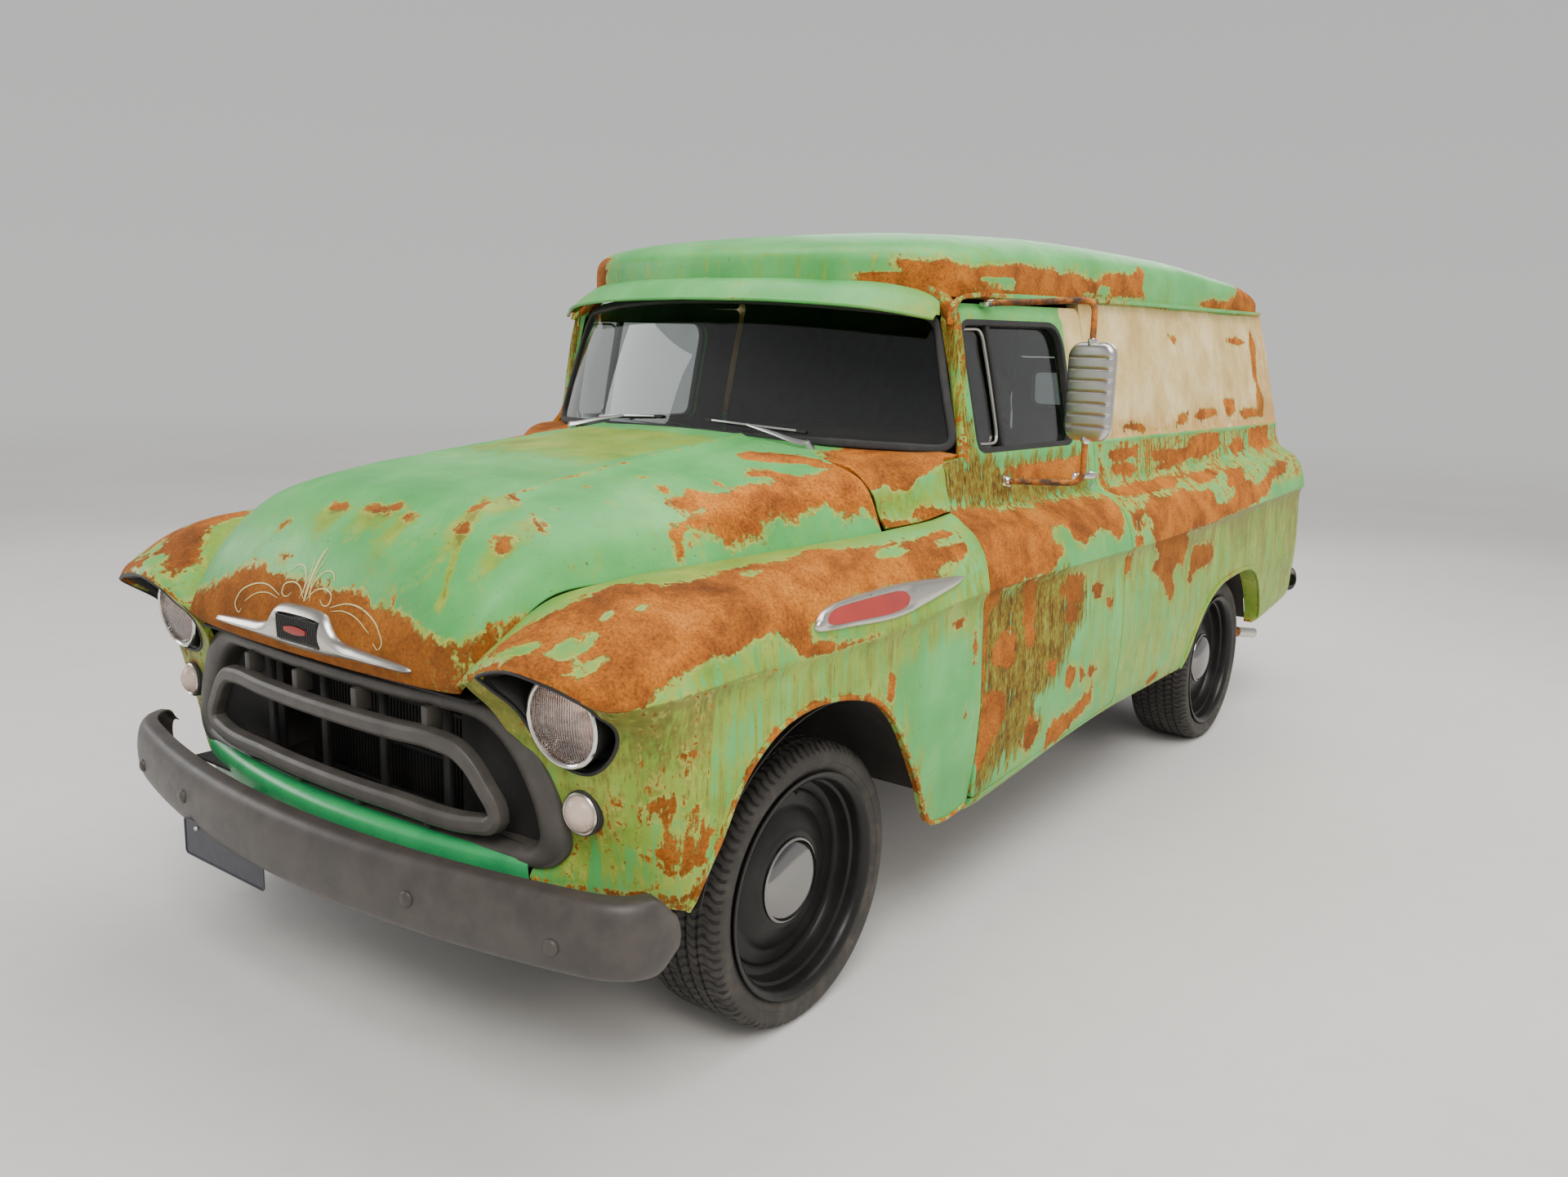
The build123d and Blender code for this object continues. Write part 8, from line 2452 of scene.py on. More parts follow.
CAP = [(0.0585, 0.0), (0.0585, 0.0985), (0.0600, 0.1018), (0.0625, 0.1026), (0.0652, 0.1015), (0.0668, 0.0990), (0.0672, 0.0955), (0.0705, 0.0925), (0.0760, 0.0845), (0.0815, 0.0725), (0.0855, 0.0590), (0.0882, 0.0440),
       (0.0898, 0.0280), (0.0905, 0.0140), (0.0907, 0.0)]
FIT = [("front_left", 1, -1.448, "fl"), ("front_right", -1, -1.448, "fr"), ("rear_left", 1, 1.448, "rl"), ("rear_right", -1, 1.448, "rr")]
tyre_v, tyre_f = tyre_part(276)


def wheel_frame(part, side, y):
    V = np.array(part[0], float)
    V = V * np.array([side, 1, 1]) + np.array([0.745 * side, y, 0.337])
    return V, (part[1] if side > 0 else [tuple(f[::-1]) for f in part[1]])


wheel_bodies = [b for b in frame["bodies"]]
for name, side, y, short in FIT:
    body = "road_wheel_" + short
    make("tyre_tread_" + short, wheel_frame((tyre_v, tyre_f), side, y), MAT["tyre_rubber"], body, ["tyre_" + name], smooth=28)
    rim = lathe(RIM + [RIM[0]], (0, 0, 0), (1, 0, 0), 112)
    make("wheel_rim_" + short, wheel_frame(spin(RIM, (0, 0, 0), (1, 0, 0), 112), side, y), MAT["wheel_black"], body, ["wheel_" + name], weld=1e-6, smooth=30)
    make("wheel_cap_" + short, wheel_frame(lathe(CAP, (0, 0, 0), (1, 0, 0), 96), side, y), MAT["cap_chrome"], body, weld=1e-6, smooth=35)
    stem = lathe([(0.0, 0.0), (0.0, 0.0045), (0.020, 0.004), (0.024, 0.0045), (0.034, 0.0045), (0.036, 0.0)], (0.050, 0.0, 0.2365), (0.75, 0.0, -0.66), 12)
    make("valve_" + short, wheel_frame(stem, side, y), MAT["rubber"], body, weld=1e-6)

# brake drums behind the front wheels are part of the hubs; the rear ones sit on the axle

# ---------------------------------------------------------------- mirror on the driver's door
MC = np.array([1.020, -0.430, 1.462])
MX = np.array([0.985, -0.174, 0.0])
MN = np.array([-0.174, -0.985, 0.0])
MZ = np.array([0.0, 0.0, 1.0])


def head_part():
    t = np.linspace(-1, 1, 25)
    b = np.linspace(-1, 1, 121)
    hw, hh, r = 0.0725, 0.1305, 0.040
    rows, back = [], []
    for bb in b:
        zb = bb * hh
        over = max(0.0, abs(zb) - (hh - r))
        w = hw - (r - math.sqrt(max(0.0, r * r - over * over)))
        w = max(w, 0.012)
        col, bc = [], []
        for tt in t:
            edge = (1 - abs(tt) ** 5) ** 0.5 * (1 - abs(bb) ** 14) ** 0.5
            d = 0.0145 * edge
            if abs(tt) < 0.96 and abs(zb) < 0.104:
                for g in np.linspace(-0.092, 0.092, 7):
                    d -= 0.0042 * math.exp(-(((zb - g) / 0.0032) ** 2)) * edge
            col.append(MC + MX * (w * tt) + MZ * zb + MN * d)
            bc.append(MC + MX * (w * tt) + MZ * zb - MN * (0.010 * edge))
        rows.append(col)
        back.append(bc)
    rows, back = np.array(rows), np.array(back)
    n, m = rows.shape[:2]
    V = np.concatenate([rows.reshape(-1, 3), back.reshape(-1, 3)])
    k = n * m
    F = grid_faces(n, m) + [tuple(i + k for i in f[::-1]) for f in grid_faces(n, m)]
    return V, F


make("mirror_head", head_part(), MAT["mirror_steel"], "door_l", ["mirror_left"], weld=3e-4, smooth=40)
ml = rounded(0.132, 0.250, 0.036, 6)
P = np.array([MC + MX * a + MZ * b_ - MN * 0.0100 for a, b_ in refine(ml, 0.015)])
make("mirror_pane", disc_glass(P, np.repeat(-MN[None], len(P), 0) * -1.0, 0.0025), MAT["mirror_pane"], "door_l")
P = np.array([MC + MX * a + MZ * b_ - MN * 0.0085 for a, b_ in refine(rounded(0.140, 0.256, 0.038, 6), 0.012)])
make("mirror_rim", sweep(P, circle(0.0048, 8), True, up=-MN), MAT["aged_chrome"], "door_l")


def bent(foot, knee, head, r=0.036):
    f, k, h = (np.array(p, float) for p in (foot, knee, head))
    d0, d1 = (f - k) / np.linalg.norm(f - k), (h - k) / np.linalg.norm(h - k)
    out = [f + (k + d0 * r - f) * s for s in np.linspace(0, 1, 10)]
    out += [(1 - s) ** 2 * (k + d0 * r) + 2 * s * (1 - s) * k + s * s * (k + d1 * r) for s in np.linspace(0, 1, 10)[1:]]
    out += [k + d1 * r + (h - k - d1 * r) * s for s in np.linspace(0, 1, 6)[1:]]
    return np.array(out)


arm_u = bent((0.727, -0.480, 1.694), (1.020, -0.430, 1.706), (1.020, -0.430, 1.588))
arm_l = bent((0.809, -0.470, 1.204), (1.020, -0.430, 1.214), (1.020, -0.430, 1.338))
arms = [sweep(arm_u, circle(0.0085, 14), up=(0.1, 1, 0)), sweep(arm_l, circle(0.0085, 14), up=(0.1, 1, 0))]
clamp = []
for z0, z1 in ((1.583, 1.604), (1.322, 1.343)):
    clamp.append(lathe([(z0 - 1.46, 0.0), (z0 - 1.46, 0.011), (z0 - 1.457, 0.0125), (z1 - 1.463, 0.0125), (z1 - 1.46, 0.011), (z1 - 1.46, 0.0)], (1.020, -0.430, 1.46), (0, 0, 1), 18))
make("mirror_arms", merge(*arms), MAT["rusty_steel"], "door_l", weld=1e-6)
fl, fn = side_point(-0.470, 1.204, 0.002)
fu_, fnu = side_point(-0.480, 1.672, 0.010)
foot_l = merge(sweep(np.array([fl + np.array([0, -0.024, 0.004]), fl, fl + np.array([0, 0.024, -0.004])]), rounded(0.030, 0.007, 0.003, 3), up=fn),
               lathe([(-0.004, 0.0), (-0.004, 0.013), (0.008, 0.0125), (0.013, 0.009), (0.013, 0.0)], fl, (1, 0.15, 0.05), 18),
               lathe([(0.004, 0.0), (0.004, 0.0075), (0.009, 0.006), (0.0095, 0.0)], fl + np.array([0.001, -0.017, 0.003]), fn, 8), lathe([(0.004, 0.0), (0.004, 0.0075), (0.009, 0.006), (0.0095, 0.0)], fl + np.array([0.001, 0.017, -0.003]), fn, 8))
foot_u = merge(sweep(np.array([(0.722, -0.508, 1.690), (0.724, -0.480, 1.692), (0.724, -0.452, 1.694)]), rounded(0.018, 0.010, 0.003, 3), up=(0, 0, 1)),
               lathe([(-0.010, 0.0), (-0.010, 0.011), (0.014, 0.0115), (0.014, 0.0)], (0.727, -0.480, 1.694), (1, 0.17, 0.03), 18))
make("mirror_feet", merge(foot_l, foot_u, *clamp), MAT["chrome"], "door_l", weld=1e-6)

# ---------------------------------------------------------------- wipers
def glass_pts(x, z, out):
    uv = on_sheet(GLASS, np.stack([np.asarray(x, float), np.asarray(z, float)], 1), [0, 2])
    return GLASS(uv[:, 0], uv[:, 1]) + normals(GLASS, uv[:, 0], uv[:, 1], flip_glass) * np.asarray(out)[:, None], normals(GLASS, uv[:, 0], uv[:, 1], flip_glass)


def wiper_part():
    s = np.linspace(0, 1, 14)
    B, nb = glass_pts(0.400 - 0.315 * s, 1.3300 + 0.018 * s, np.full(14, 0.0075))
    blade = sweep(B, [(-0.0035, -0.0075), (0.0035, -0.0075), (0.0022, 0.0), (0.0040, 0.003), (-0.0040, 0.003), (-0.0022, 0.0)], up=nb)
    S_, ns = glass_pts(0.375 - 0.265 * s, 1.3315 + 0.015 * s, 0.012 + 0.009 * np.sin(math.pi * s))
    bridge = sweep(S_, rounded(0.006, 0.0035, 0.0012, 2), up=ns)
    piv = np.array([0.452, -0.936, 1.296])
    mid, nm = glass_pts([0.235], [1.3395], np.array([0.023]))
    arm = through([piv + np.array([0, -0.012, 0.010]), piv + np.array([-0.03, -0.016, 0.014]), (piv + mid[0]) / 2 + np.array([0, -0.014, 0.006]), mid[0]], 0.012)
    sc = np.linspace(1.35, 0.7, len(arm))
    arm_p = sweep(arm, rounded(0.011, 0.0045, 0.0018, 2), up=np.array([0, -0.92, 0.38]), scale=np.stack([sc, np.ones(len(arm))], 1))
    knob = lathe([(-0.014, 0.0), (-0.014, 0.016), (-0.006, 0.017), (0.002, 0.013), (0.014, 0.0105), (0.018, 0.008), (0.019, 0.0)], piv, (0.0, -0.55, 0.83), 22)
    return merge(bridge, arm_p, knob), blade


wm, wb = wiper_part()
make("wiper_arms", both(wm), MAT["mirror_steel"], "root", weld=1e-6)
make("wiper_blades", both(wb), MAT["rubber"], "root")

# ---------------------------------------------------------------- blank number plates
def plate_part(cx, y, z, w, h, face):
    loop = fillet([(-w / 2, -h / 2), (w / 2, -h / 2), (w / 2, h / 2), (-w / 2, h / 2)], 0.009, 4)
    P = np.array([(cx + a, y, z + b_) for a, b_ in refine(loop, 0.03)])
    N = np.repeat(np.array([[0.0, face, 0.0]]), len(P), 0)
    body = disc_glass(P, N, 0.0018)
    edge = sweep(P + N * 0.0006, rounded(0.004, 0.0026, 0.001, 2), True, up=N)
    return merge(body, edge)


make("front_number_plate", plate_part(-0.256, -2.232, 0.362, 0.340, 0.090, -1.0), MAT["plate_black"], "root")
hangers = merge(*[box_part(x - 0.009, x + 0.009, -2.2305, -2.2275, 0.372, 0.405, 0.001) for x in (-0.37, -0.14)],
                *[lathe([(0, 0), (0, 0.006), (0.003, 0.005), (0.0035, 0)], (x, -2.2340, 0.392), (0, -1, 0), 12) for x in (-0.37, -0.14)])
make("plate_hangers", hangers, MAT["aged_chrome"], "root")
make("rear_number_plate", plate_part(-0.30, 2.436, 0.735, 0.340, 0.090, 1.0), MAT["plate_black"], "cargo_door_r")
make("rear_plate_bracket", merge(box_part(-0.42, -0.40, 2.414, 2.434, 0.70, 0.77, 0.002), box_part(-0.20, -0.18, 2.414, 2.434, 0.70, 0.77, 0.002)), MAT["chassis_black"], "cargo_door_r")

# ---------------------------------------------------------------- tail lamps and tail pipe
TL = np.array([0.735, 2.392, 0.850])
TA = np.array([0.10, 1.0, 0.0]) / math.hypot(0.10, 1.0)
make("tail_lamp_cups", both(lathe([(-0.010, 0.0), (-0.010, 0.040), (0.004, 0.0460), (0.012, 0.0475), (0.017, 0.0465), (0.018, 0.0435), (0.015, 0.0415), (0.008, 0.040), (0.004, 0.0)], TL, TA, 48)), MAT["aged_chrome"], "root", ["tail_lamps"], weld=1e-6)
make("tail_lamp_lenses", both(lathe([(0.008, 0.0), (0.008, 0.0400), (0.016, 0.0412), (0.022, 0.0385), (0.0275, 0.030), (0.0300, 0.019), (0.0312, 0.008), (0.0315, 0.0)], TL, TA, 48)), MAT["tail_red"], "root", weld=1e-6)
PIPE = [(-0.27, 0.40, 0.372), (-0.262, 0.60, 0.385), (-0.200, 0.72, 0.420), (-0.050, 0.86, 0.465), (0.100, 0.98, 0.475), (0.220, 1.15, 0.490), (0.260, 1.40, 0.503), (0.280, 1.56, 0.485), (0.330, 1.72, 0.425), (0.430, 1.87, 0.375),
        (0.600, 1.99, 0.352), (0.710, 2.12, 0.325), (0.770, 2.28, 0.300)]
pp = through(PIPE, 0.03)
tail = sweep(pp, circle(0.020, 16), up=(0, 0, 1))
tip_c = pp[-1]
tip_d = pp[-1] - pp[-2]
tip = lathe([(-0.10, 0.0205), (-0.10, 0.0235), (0.03, 0.0235), (0.03, 0.0205), (-0.02, 0.0205), (-0.02, 0.0)], tip_c, tip_d, 22)
make("tail_pipe", tail, MAT["rusty_steel"], "root")
make("tail_pipe_tip", tip, MAT["aged_chrome"], "root", weld=1e-6)

# ---------------------------------------------------------------- inside the cab
dash = fillet([(-0.806, 1.262), (-0.700, 1.246), (-0.640, 1.195), (-0.648, 1.062), (-0.690, 1.052), (-0.712, 1.180), (-0.806, 1.198)], [0.004, 0.03, 0.035, 0.012, 0.01, 0.03, 0.004], 6)
xs = np.linspace(-0.682, 0.682, 30)
P = np.column_stack([xs, np.zeros(30), np.zeros(30)])
sec = np.array([(-a, b_) for a, b_ in dash])
make("dash_panel", sweep(P, sec, up=(0, 0, 1)), MAT["interior_paint"], "root", ["dashboard"])
gauges = []
for x, z, r in ((0.380, 1.130, 0.062), (0.270, 1.118, 0.026), (0.490, 1.118, 0.026)):
    y = -0.6435 + (1.195 - z) * -0.05
    gauges.append(lathe([(-0.004, r + 0.008), (0.006, r + 0.008), (0.009, r + 0.004), (0.007, r)], (x, y, z), (0, 1, 0.08), 40))
make("gauge_rings", merge(*gauges), MAT["chrome"], "root")
faces_ = [lathe([(0.0, 0.0), (0.0, r), (0.004, r), (0.004, 0.0)], (x, -0.6435 + (1.195 - z) * -0.05, z), (0, 1, 0.08), 40) for x, z, r in ((0.380, 1.130, 0.062), (0.270, 1.118, 0.026), (0.490, 1.118, 0.026))]
make("gauge_faces", merge(*faces_), MAT["badge_black"], "root", weld=1e-6)
knobs = [lathe([(0, 0), (0, 0.006), (0.010, 0.006), (0.012, 0.011), (0.020, 0.011), (0.023, 0.007), (0.0235, 0)], (x, -0.649, 1.085), (0, 1, 0.05), 18) for x in (-0.25, -0.15, -0.05, 0.05, 0.15)]
glovebox = sweep(np.array([(-0.57 + 0.02 * k, -0.6405, 1.135) for k in range(15)]), rounded(0.006, 0.105, 0.003, 2), up=(0, 0, 1))
make("dash_knobs", merge(*knobs), MAT["wheel_plastic"], "root", weld=1e-6)
make("glove_box_lid", glovebox, MAT["interior_paint"], "root")

CO = np.array([0.380, -0.470, 1.150])
CZ = np.array([0.0, 0.60, 0.80])
make("column_tube", merge(lathe([(-0.560, 0.0), (-0.560, 0.020), (-0.060, 0.020), (-0.050, 0.0235), (-0.012, 0.0235), (-0.008, 0.018), (-0.008, 0.0)], CO, CZ, 28),
                          lathe([(-0.150, 0.026), (-0.145, 0.031), (-0.120, 0.031), (-0.115, 0.026)], CO, CZ, 28)), MAT["interior_paint"], "root", ["steering_column"], weld=1e-6)


def ring_path(r, off, n=72):
    a = np.linspace(0, 2 * math.pi, n, endpoint=False)
    X = np.array([1.0, 0, 0])
    Y = np.cross(CZ, X)
    return CO + CZ * off + r * (np.cos(a)[:, None] * X + np.sin(a)[:, None] * Y)


sw = [sweep(ring_path(0.211, 0.025), circle(0.0115, 12), True, up=CZ)]
X_, Y_ = np.array([1.0, 0, 0]), np.cross(CZ, np.array([1.0, 0, 0]))
for ang in (90, 210, 330):
    a = math.radians(ang)
    d = math.cos(a) * X_ + math.sin(a) * Y_
    pts = np.array([CO + CZ * (0.024 + 0.010 * math.sin(math.pi * s)) + d * (0.030 + 0.176 * s) for s in np.linspace(0, 1, 12)])
    sw.append(sweep(pts, rounded(0.017, 0.009, 0.004, 3), up=CZ, scale=np.stack([np.linspace(1.25, 0.8, 12), np.ones(12)], 1)))
sw.append(lathe([(-0.002, 0.0), (-0.002, 0.038), (0.012, 0.041), (0.026, 0.039), (0.034, 0.031), (0.037, 0.018), (0.038, 0.0)], CO, CZ, 40))
make("steering_wheel_rim", merge(*sw), MAT["wheel_brown"], "steering", ["steering_wheel"], weld=1e-6)
make("horn_button", lathe([(0.033, 0.0), (0.033, 0.022), (0.037, 0.0225), (0.041, 0.018), (0.043, 0.008), (0.0435, 0.0)], CO, CZ, 36), MAT["chrome"], "steering", weld=1e-6)
lever = merge(sweep(through([(0.395, -0.512, 1.108), (0.470, -0.505, 1.125), (0.560, -0.490, 1.150)], 0.02), circle(0.005, 10), up=(0, 0, 1)),
              lathe([(-0.004, 0), (-0.004, 0.008), (0.004, 0.012), (0.014, 0.012), (0.022, 0.007), (0.023, 0)], (0.560, -0.490, 1.150), (0.96, 0.16, 0.25), 18))
make("column_lever", lever, MAT["wheel_plastic"], "root", weld=1e-6)
pedals = merge(*[merge(sweep(through([(x, -0.930, 0.86), (x, -0.87, 0.74), (x, -0.80, 0.70)], 0.03), rounded(0.012, 0.012, 0.003, 2), up=(1, 0, 0)),
                       box_part(x - 0.032, x + 0.032, -0.812, -0.800, 0.660, 0.740, 0.004)) for x in (0.30, 0.46)], box_part(0.175, 0.225, -0.842, -0.830, 0.575, 0.70, 0.004))
make("pedals", pedals, MAT["chassis_black"], "root")
make("seat_base", merge(box_part(-0.60, 0.60, -0.300, 0.160, 0.566, 0.706, 0.012), both(box_part(0.605, 0.625, -0.28, 0.28, 0.600, 0.86, 0.006))), MAT["dark_trim"], "root")
make("cargo_boards", box_part(-0.540, 0.540, 0.36, 2.34, 0.562, 0.572, 0.002), MAT["boards"], "root")
make("cab_mat", merge(box_part(-0.68, 0.68, -0.780, -0.305, 0.5615, 0.568, 0.002)), MAT["rubber"], "root")


# ---------------------------------------------------------------- bench seat, filled like cushions
def pad_cage(section, x0, x1, crown, nx=28):
    """A closed block with softened edges from a side section (y, z)."""
    sec = refine(section, 0.045)
    c = sec.mean(0)
    rows = []
    for k, x in enumerate(np.linspace(x0, x1, nx)):
        s = 2 * k / (nx - 1) - 1
        shrink = 1.0 - 0.05 * abs(s) ** 12
        p = c + (sec - c) * shrink
        rows.append(np.column_stack([np.full(len(p), x), p]))
    V = np.concatenate(rows)
    m = len(sec)
    F = grid_faces(nx, m, False, True)
    V = np.vstack([V, [x0, c[0], c[1]], [x1, c[0], c[1]]])
    a, b = len(V) - 2, len(V) - 1
    F += [(a, (j + 1) % m, j) for j in range(m)] + [(b, (nx - 1) * m + j, (nx - 1) * m + (j + 1) % m) for j in range(m)]
    return V, F


def stuff(ob, voxel, cap, seams):
    """Fills a pad by a short pressure simulation, then keeps it near its cage and presses its seams in."""
    bpy.context.view_layer.objects.active = ob
    for o in bpy.data.objects:
        o.select_set(False)
    ob.select_set(True)
    m = ob.modifiers.new("remesh", "REMESH")
    m.mode = "VOXEL"
    m.voxel_size = voxel
    bpy.ops.object.modifier_apply(modifier=m.name)
    rest = np.array([v.co[:] for v in ob.data.vertices])
    c = ob.modifiers.new("cloth", "CLOTH")
    st = c.settings
    st.quality = 4
    st.use_pressure = True
    st.uniform_pressure_force = 4.0
    st.effector_weights.gravity = 0.0
    st.tension_stiffness = st.compression_stiffness = 40.0
    st.bending_stiffness = 2.0
    st.mass = 0.3
    c.collision_settings.use_collision = False
    c.point_cache.frame_start, c.point_cache.frame_end = 1, 20
    for f in range(1, 21):
        scene.frame_set(f)
    dg = bpy.context.evaluated_depsgraph_get()
    ev = ob.evaluated_get(dg)
    me = ev.to_mesh()
    now = np.array([v.co[:] for v in me.vertices])
    ev.to_mesh_clear()
    ob.modifiers.remove(c)
    scene.frame_set(1)
    if now.shape == rest.shape and np.isfinite(now).all():
        d = now - rest
        L = np.linalg.norm(d, axis=1)[:, None]
        rest = rest + d * np.minimum(1.0, cap / np.maximum(L, 1e-9))
    ob.data.vertices.foreach_set("co", rest.ravel())
    ob.data.update()
    m = ob.modifiers.new("finer", "SUBSURF")
    m.levels = m.render_levels = 1
    bpy.ops.object.modifier_apply(modifier=m.name)
    co = np.empty(len(ob.data.vertices) * 3, np.float32)
    ob.data.vertices.foreach_get("co", co)
    ob.data.vertices.foreach_set("co", seams(co.reshape(-1, 3).astype(float)).astype(np.float32).ravel())
    ob.data.update()
    for p in ob.data.polygons:
        p.use_smooth = True


def cushion_seams(P):
    y, z, x = P[:, 1], P[:, 2], P[:, 0]
    top = smoothstep(0.80, 0.83, z)
    d = 0.007 * np.exp(-(((x - np.round(x / 0.16) * 0.16) / 0.007) ** 2)) * top * (np.abs(x) < 0.57) * smoothstep(-0.27, -0.245, y) * smooth_down(0.13, 0.15, y)
    d = d + 0.006 * np.exp(-(((y + 0.245) / 0.007) ** 2)) * top
    out = P.copy()
    out[:, 2] -= d
    front = np.exp(-(((z - 0.795) / 0.006) ** 2)) * smooth_down(-0.31, -0.29, y)
    out[:, 1] += 0.006 * front
    return out


def back_seams(P):
    x, z = P[:, 0], P[:, 2]
    face = P[:, 1] < (0.19 + (z - 0.85) * 0.22)
    d = 0.007 * np.exp(-(((x - np.round(x / 0.16) * 0.16) / 0.007) ** 2)) * face * (np.abs(x) < 0.57) * smoothstep(0.90, 0.93, z) * smooth_down(1.225, 1.25, z)
    d = d + 0.006 * np.exp(-(((z - 1.235) / 0.007) ** 2)) * face
    out = P.copy()
    out[:, 1] += d
    return out


cush = make("seat_cushion_pad", pad_cage(fillet([(-0.322, 0.712), (-0.322, 0.842), (-0.27, 0.860), (0.168, 0.830), (0.168, 0.712)], 0.045, 5), -0.628, 0.628, 0.01),
            MAT["seat_vinyl"], "root", ["seat_cushion"])
backr = make("seat_back_pad", pad_cage(fillet([(0.104, 0.866), (0.186, 0.862), (0.278, 1.286), (0.206, 1.294)], 0.032, 5), -0.628, 0.628, 0.01),
             MAT["seat_vinyl"], "root", ["seat_back"])
VOX = 0.0105
stuff(cush, VOX, 0.007, cushion_seams)
stuff(backr, VOX, 0.006, back_seams)


# ---------------------------------------------------------------- frame pieces that stay as they are
for node, mat in {"frame_rails": "chassis_black", "front_axle": "chassis_black", "rear_axle": "chassis_black", "leaf_springs": "rusty_steel", "drive_shaft": "rusty_steel",
                  "engine_block": "engine_grey", "exhaust_pipe": "rusty_steel", "fuel_tank": "chassis_black", "floor_pan": "chassis_black", "radiator_core": "radiator_black",
                  "knuckle_left": "chassis_black", "knuckle_right": "chassis_black"}.items():
    data = frame["nodes"][node].data
    data.materials.clear()
    data.materials.append(MAT[mat])

# ---------------------------------------------------------------- inner faces carry plain dark paint, not the worn outside
def inner_faces(name, along=None):
    """Faces looking in towards the van's middle line, or forward on a rear door, get the inside's paint."""
    me = bpy.data.objects[name].data
    n = len(me.polygons)
    no, ce = np.empty(n * 3, np.float32), np.empty(n * 3, np.float32)
    me.polygons.foreach_get("normal", no)
    me.polygons.foreach_get("center", ce)
    no, ce = no.reshape(-1, 3), ce.reshape(-1, 3)
    if along is None:
        out = np.stack([ce[:, 0], 0 * ce[:, 0], np.maximum(ce[:, 2] - 1.35, 0) * 1.6], -1)
        out /= np.linalg.norm(out, axis=1, keepdims=True) + 1e-6
        inward = (no * out).sum(1) < -0.35
    else:
        inward = (no * np.array(along)).sum(1) < -0.35
    me.materials.append(MAT["bare_inside"])
    me.polygons.foreach_set("material_index", inward.astype(np.int32))
    me.update()


for name in ("body_sides", "door_shell_left", "door_shell_right", "roof_skin"):
    inner_faces(name)
for name in ("rear_door_shell_left", "rear_door_shell_right"):
    inner_faces(name, (0, 1, 0))

# ---------------------------------------------------------------- floor and light
HORIZON = (0.66, 0.655, 0.645, 1)


def floor_material():
    m = Mat("floor_pale")
    a = m.noise(0.35, 5, 0.5)
    b = m.noise(9.0, 5, 0.6)
    col = m.mix(m.step(0.3, 0.7, a), (0.60, 0.59, 0.57), (0.66, 0.65, 0.63))
    m.set("Base Color", m.mix(m.math("MULTIPLY", m.step(0.45, 0.75, b), 0.25), col, (0.54, 0.53, 0.51)))
    m.set("Roughness", m.math("MULTIPLY_ADD", b, 0.12, 0.55))
    m.set("Normal", m.bump(b, 0.04, 0.001))
    # far off, the floor turns into the backdrop
    far = m.math("SQRT", m.math("ADD", m.math("POWER", m.xyz(0), 2.0), m.math("POWER", m.xyz(1), 2.0)))
    glow = m.t.nodes.new("ShaderNodeEmission")
    glow.inputs[0].default_value = HORIZON
    both_ = m.t.nodes.new("ShaderNodeMixShader")
    m.t.links.new(m.step(5.0, 26.0, far), both_.inputs[0])
    m.t.links.new(m.b.outputs[0], both_.inputs[1])
    m.t.links.new(glow.outputs[0], both_.inputs[2])
    m.t.links.new(both_.outputs[0], m.out.inputs[0])
    return m.m


def floor_part():
    r = [0.0, 3.0, 8.0, 20.0, 60.0]
    V, F = [(0.0, 0.0, 0.0)], []
    k = 48
    for q in r[1:]:
        V += [(q * math.cos(2 * math.pi * j / k), q * math.sin(2 * math.pi * j / k), 0.0) for j in range(k)]
    F += [(0, 1 + j, 1 + (j + 1) % k) for j in range(k)]
    for i in range(len(r) - 2):
        a, b = 1 + i * k, 1 + (i + 1) * k
        F += [(a + j, b + j, b + (j + 1) % k, a + (j + 1) % k) for j in range(k)]
    return V, F


me = bpy.data.meshes.new("studio_floor")
V, F = floor_part()
me.from_pydata(V, [], F)
me.materials.append(floor_material())
floor = bpy.data.objects.new("studio_floor", me)
scene.collection.objects.link(floor)

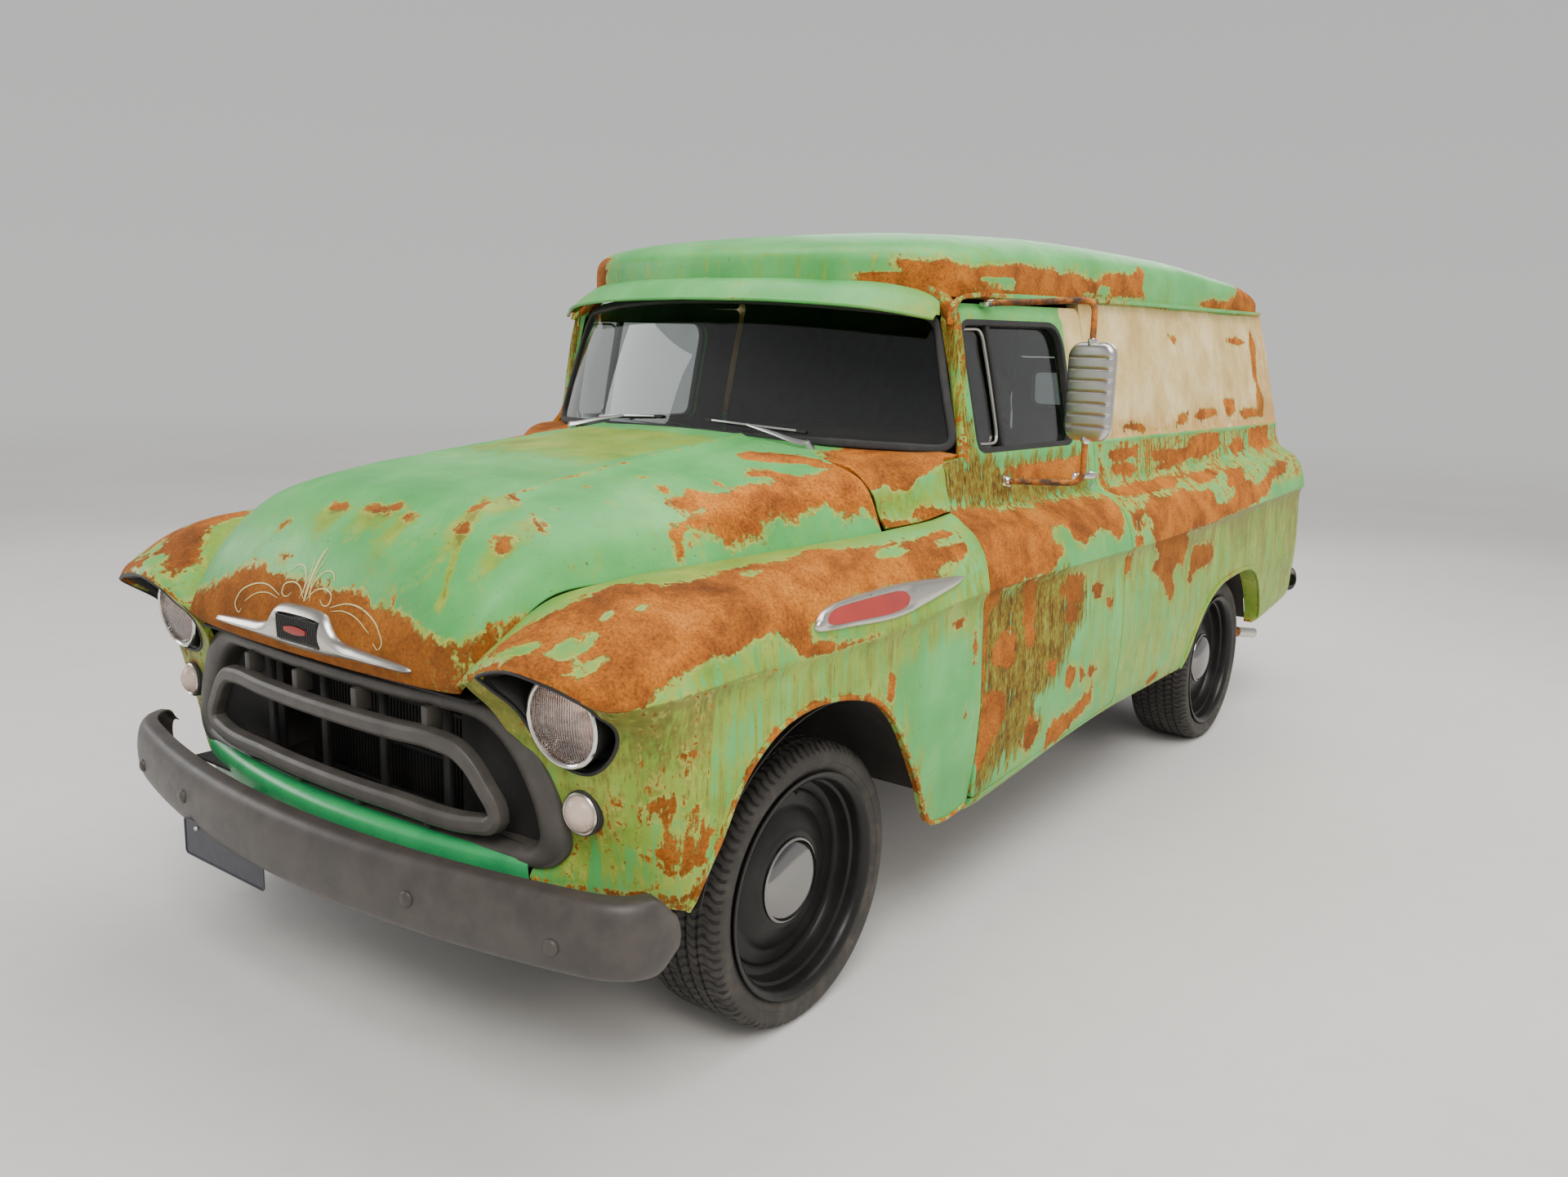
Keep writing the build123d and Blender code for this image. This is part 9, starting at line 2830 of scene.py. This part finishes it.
world = bpy.data.worlds.new("studio")
scene.world = world
world.use_nodes = True
wt = world.node_tree
bg = wt.nodes["Background"]
tc = wt.nodes.new("ShaderNodeTexCoord")
sep = wt.nodes.new("ShaderNodeSeparateXYZ")
wt.links.new(tc.outputs["Generated"], sep.inputs[0])
rampw = wt.nodes.new("ShaderNodeValToRGB")
wt.links.new(sep.outputs[2], rampw.inputs[0])
sky = rampw.color_ramp
sky.elements[0].position, sky.elements[0].color = 0.0, HORIZON
sky.elements[1].position, sky.elements[1].color = 1.0, (0.30, 0.30, 0.31, 1)
for at, c in ((0.04, HORIZON), (0.32, (0.60, 0.60, 0.595, 1)), (0.52, (0.30, 0.30, 0.305, 1)), (0.75, (0.22, 0.22, 0.225, 1))):
    k = sky.elements.new(at)
    k.color = c
wt.links.new(rampw.outputs[0], bg.inputs[0])
bg.inputs[1].default_value = 1.0

sun = bpy.data.lights.new("soft_sun", "SUN")
sun.energy = 2.25
sun.angle = 0.55
sun.color = (1.0, 0.975, 0.94)
sun_at = bpy.data.objects.new("soft_sun", sun)
scene.collection.objects.link(sun_at)
sun_at.matrix_world = Vector((0.55, -0.62, 1.15)).normalized().to_track_quat("Z", "Y").to_matrix().to_4x4()


def area(name, at, to, sx, sy, power, colour=(1, 1, 1), mirrored=True):
    d = bpy.data.lights.new(name, "AREA")
    d.shape = "RECTANGLE"
    d.size, d.size_y = sx, sy
    d.energy = power
    d.color = colour
    o = bpy.data.objects.new(name, d)
    scene.collection.objects.link(o)
    z = (Vector(at) - Vector(to)).normalized()
    o.matrix_world = Matrix.Translation(at) @ z.to_track_quat("Z", "Y").to_matrix().to_4x4()
    o.visible_camera = False
    o.visible_glossy = mirrored
    o.visible_transmission = False
    return o


area("key_light", (4.5, -5.5, 4.6), (0, -0.6, 0.8), 5.0, 3.6, 235, (1.0, 0.95, 0.88), False)
area("top_light", (0.5, 0.4, 6.0), (0, 0.3, 0.5), 3.4, 7.0, 300, (1.0, 0.985, 0.96))
area("side_light", (6.5, 2.5, 3.2), (0, 0.6, 0.9), 6.0, 2.6, 190, (1.0, 0.97, 0.93), False)
area("fill_light", (-6.0, -4.0, 3.2), (0, -0.5, 0.8), 4.0, 2.0, 125, (0.98, 0.985, 1.0))
area("back_light", (-2.5, 7.0, 4.0), (0, 1.0, 1.0), 5.0, 2.0, 140, (1.0, 0.99, 0.97))
